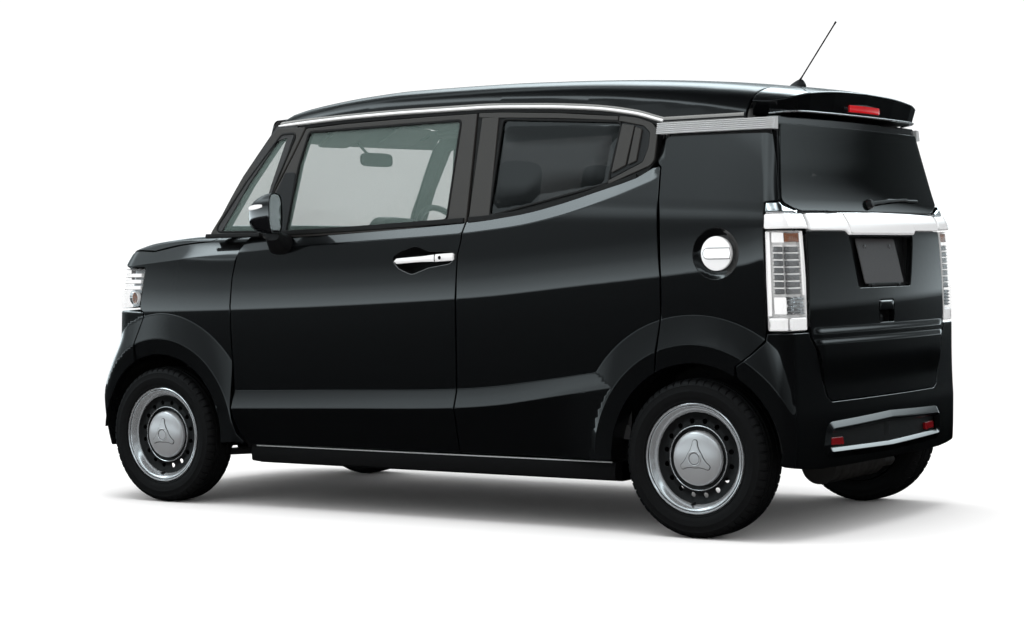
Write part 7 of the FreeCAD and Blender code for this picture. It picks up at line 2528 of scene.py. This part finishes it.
# lined header over the screen
rings = []
for y in np.linspace(-528, 528, 50):
    col = [(float(screen_x(np.array(y), np.array(float(z)))) - 15, y, float(z)) for z in (1477, 1500, 1530, 1556)]
    rings.append(col + [(p[0] - 9, p[1], p[2] - (0 if i else 3)) for i, p in reversed(list(enumerate(col)))])
loft(rings, 2, 40, True, gin)
for sy in (-1, 1):
    rings = []
    for t in np.linspace(0, 1, 16):
        y = sy * (112 + 205 * t)
        e = min(1.0, 0.35 + 4 * min(t, 1 - t))
        drop = 4 * t * t - (26 if sy < 0 else 0)
        x0, x1 = 676 - 18 * t, 545
        rings.append([(x0, y, 1470 - drop - 3), (x0 - 4, y, 1470 - drop + 4 * e), (x1 + 10, y, 1526 - drop + 5 * e), (x1, y, 1528 - drop), (x1 + 4, y, 1522 - drop - 4 * e), (x0 - 6, y, 1462 - drop - 4 * e)])
    loft(rings, 2, 35, True, gin)
    tube(np.array([(600.0, sy * 322, 1506), (560, sy * 322, 1520)]), 4, 10, mi=0, g=gin)
    # grab handle over the front and the rear door
    for xc in (60, -760):
        ys = 560
        zz = 1540
        path = np.array([(xc + 95, sy * ys, zz + 6), (xc + 88, sy * (ys - 26), zz - 12), (xc + 50, sy * (ys - 36), zz - 20), (xc - 50, sy * (ys - 36), zz - 20), (xc - 88, sy * (ys - 26), zz - 12), (xc - 95, sy * ys, zz + 6)])
        tube(resample(path, 12), 7, 12, mi=0, g=gin)
piece("cabin_fittings", gin, [INTP, MIRR, HEAD], "body")

# =============================================================== door linings
def door_card(name, x0, x1, bodies):
    g = Geo()
    y = 652
    o = [(x0, 300, 26), (x1, 300, 26), (x1, 930, 12), (x0, 930, 12)]
    rings = []
    # arm rest with its pull cup, map pocket and speaker ring
    for t in np.linspace(0, 1, 20):
        x = x0 + 60 + (x1 - x0 - 120) * t
        e = min(1.0, 0.3 + 6 * min(t, 1 - t))
        d = 46 * e
        rings.append([(x, y, 700), (x, y - d * 0.55, 716), (x, y - d, 758), (x, y - d, 770), (x, y - d + 4, 775), (x, y, 778)])
    loft(rings, 0, 30, True, g)
    xm = (x0 + x1) / 2
    rbox((xm - 60, y - 40, 773), (xm + 60, y - 16, 781), 3, 2, 1, g)
    rings = []
    for t in np.linspace(0, 1, 18):
        x = x0 + 80 + (x1 - x0 - 160) * t
        e = min(1.0, 0.3 + 6 * min(t, 1 - t))
        rings.append([(x, y, 330), (x, y - 30 * e, 340), (x, y - 36 * e, 430), (x, y - 31 * e, 434), (x, y - 22 * e, 380), (x, y, 380)])
    loft(rings, 0, 30, True, g)
    lathe([(76, 0), (78, -8), (70, -12), (60, -9), (20, -5), (0, -4)], (max(x0, x1) - 140, y, 540), (0, 1, 0), 56, [0, 0, 1, 1, 1], 30, g)
    # inner handle in its cup
    rbox((max(x0, x1) - 190, y - 14, 852), (max(x0, x1) - 90, y + 2, 890), 9, 3, 1, g)
    rings = []
    for t in np.linspace(0, 1, 12):
        x = max(x0, x1) - 104 - 70 * t
        rings.append([(x, y - 12, 864), (x, y - 18 - 6 * math.sin(math.pi * t), 868), (x, y - 18 - 6 * math.sin(math.pi * t), 878), (x, y - 12, 881)])
    loft(rings, 2, 30, True, g)
    both(name, g, [INTP, BLACKP, SILVER], bodies, None)


door_card("front_door_card", 650, -220, FD)
door_card("rear_door_card", -470, -960, RD)

# ================================================ nodes that keep their shape
CABIN = mat("cabin_trim", (0.035, 0.036, 0.037), 0.62, var=(70.0, 0.15), rvar=(220.0, 0.06), bump=(800.0, 0.25))
ALU = mat("engine_metal", (0.20, 0.20, 0.205), 0.46, metal=0.8, var=(18.0, 0.35), rvar=(40.0, 0.12), bump=(220.0, 0.45))
for nn_, mt_ in (("door_pillars", CABIN), ("floor_pan", UNDER), ("engine_block", ALU), ("front_subframe", AXLE), ("rear_axle", AXLE), ("fuel_tank", BLACKP), ("exhaust", EXH),
                 ("hub_carrier_left", CAST), ("hub_carrier_right", CAST)):
    if nn_ in frame["nodes"]:
        ob = frame["nodes"][nn_]
        ob.data.materials.clear()
        ob.data.materials.append(mt_)
    else:
        print("no node", nn_)
for nn_, ob in frame["nodes"].items():
    if not ob.hide_render and nn_ not in ("door_pillars", "floor_pan", "engine_block", "front_subframe", "rear_axle", "fuel_tank", "exhaust", "hub_carrier_left", "hub_carrier_right"):
        print("still plain:", nn_)
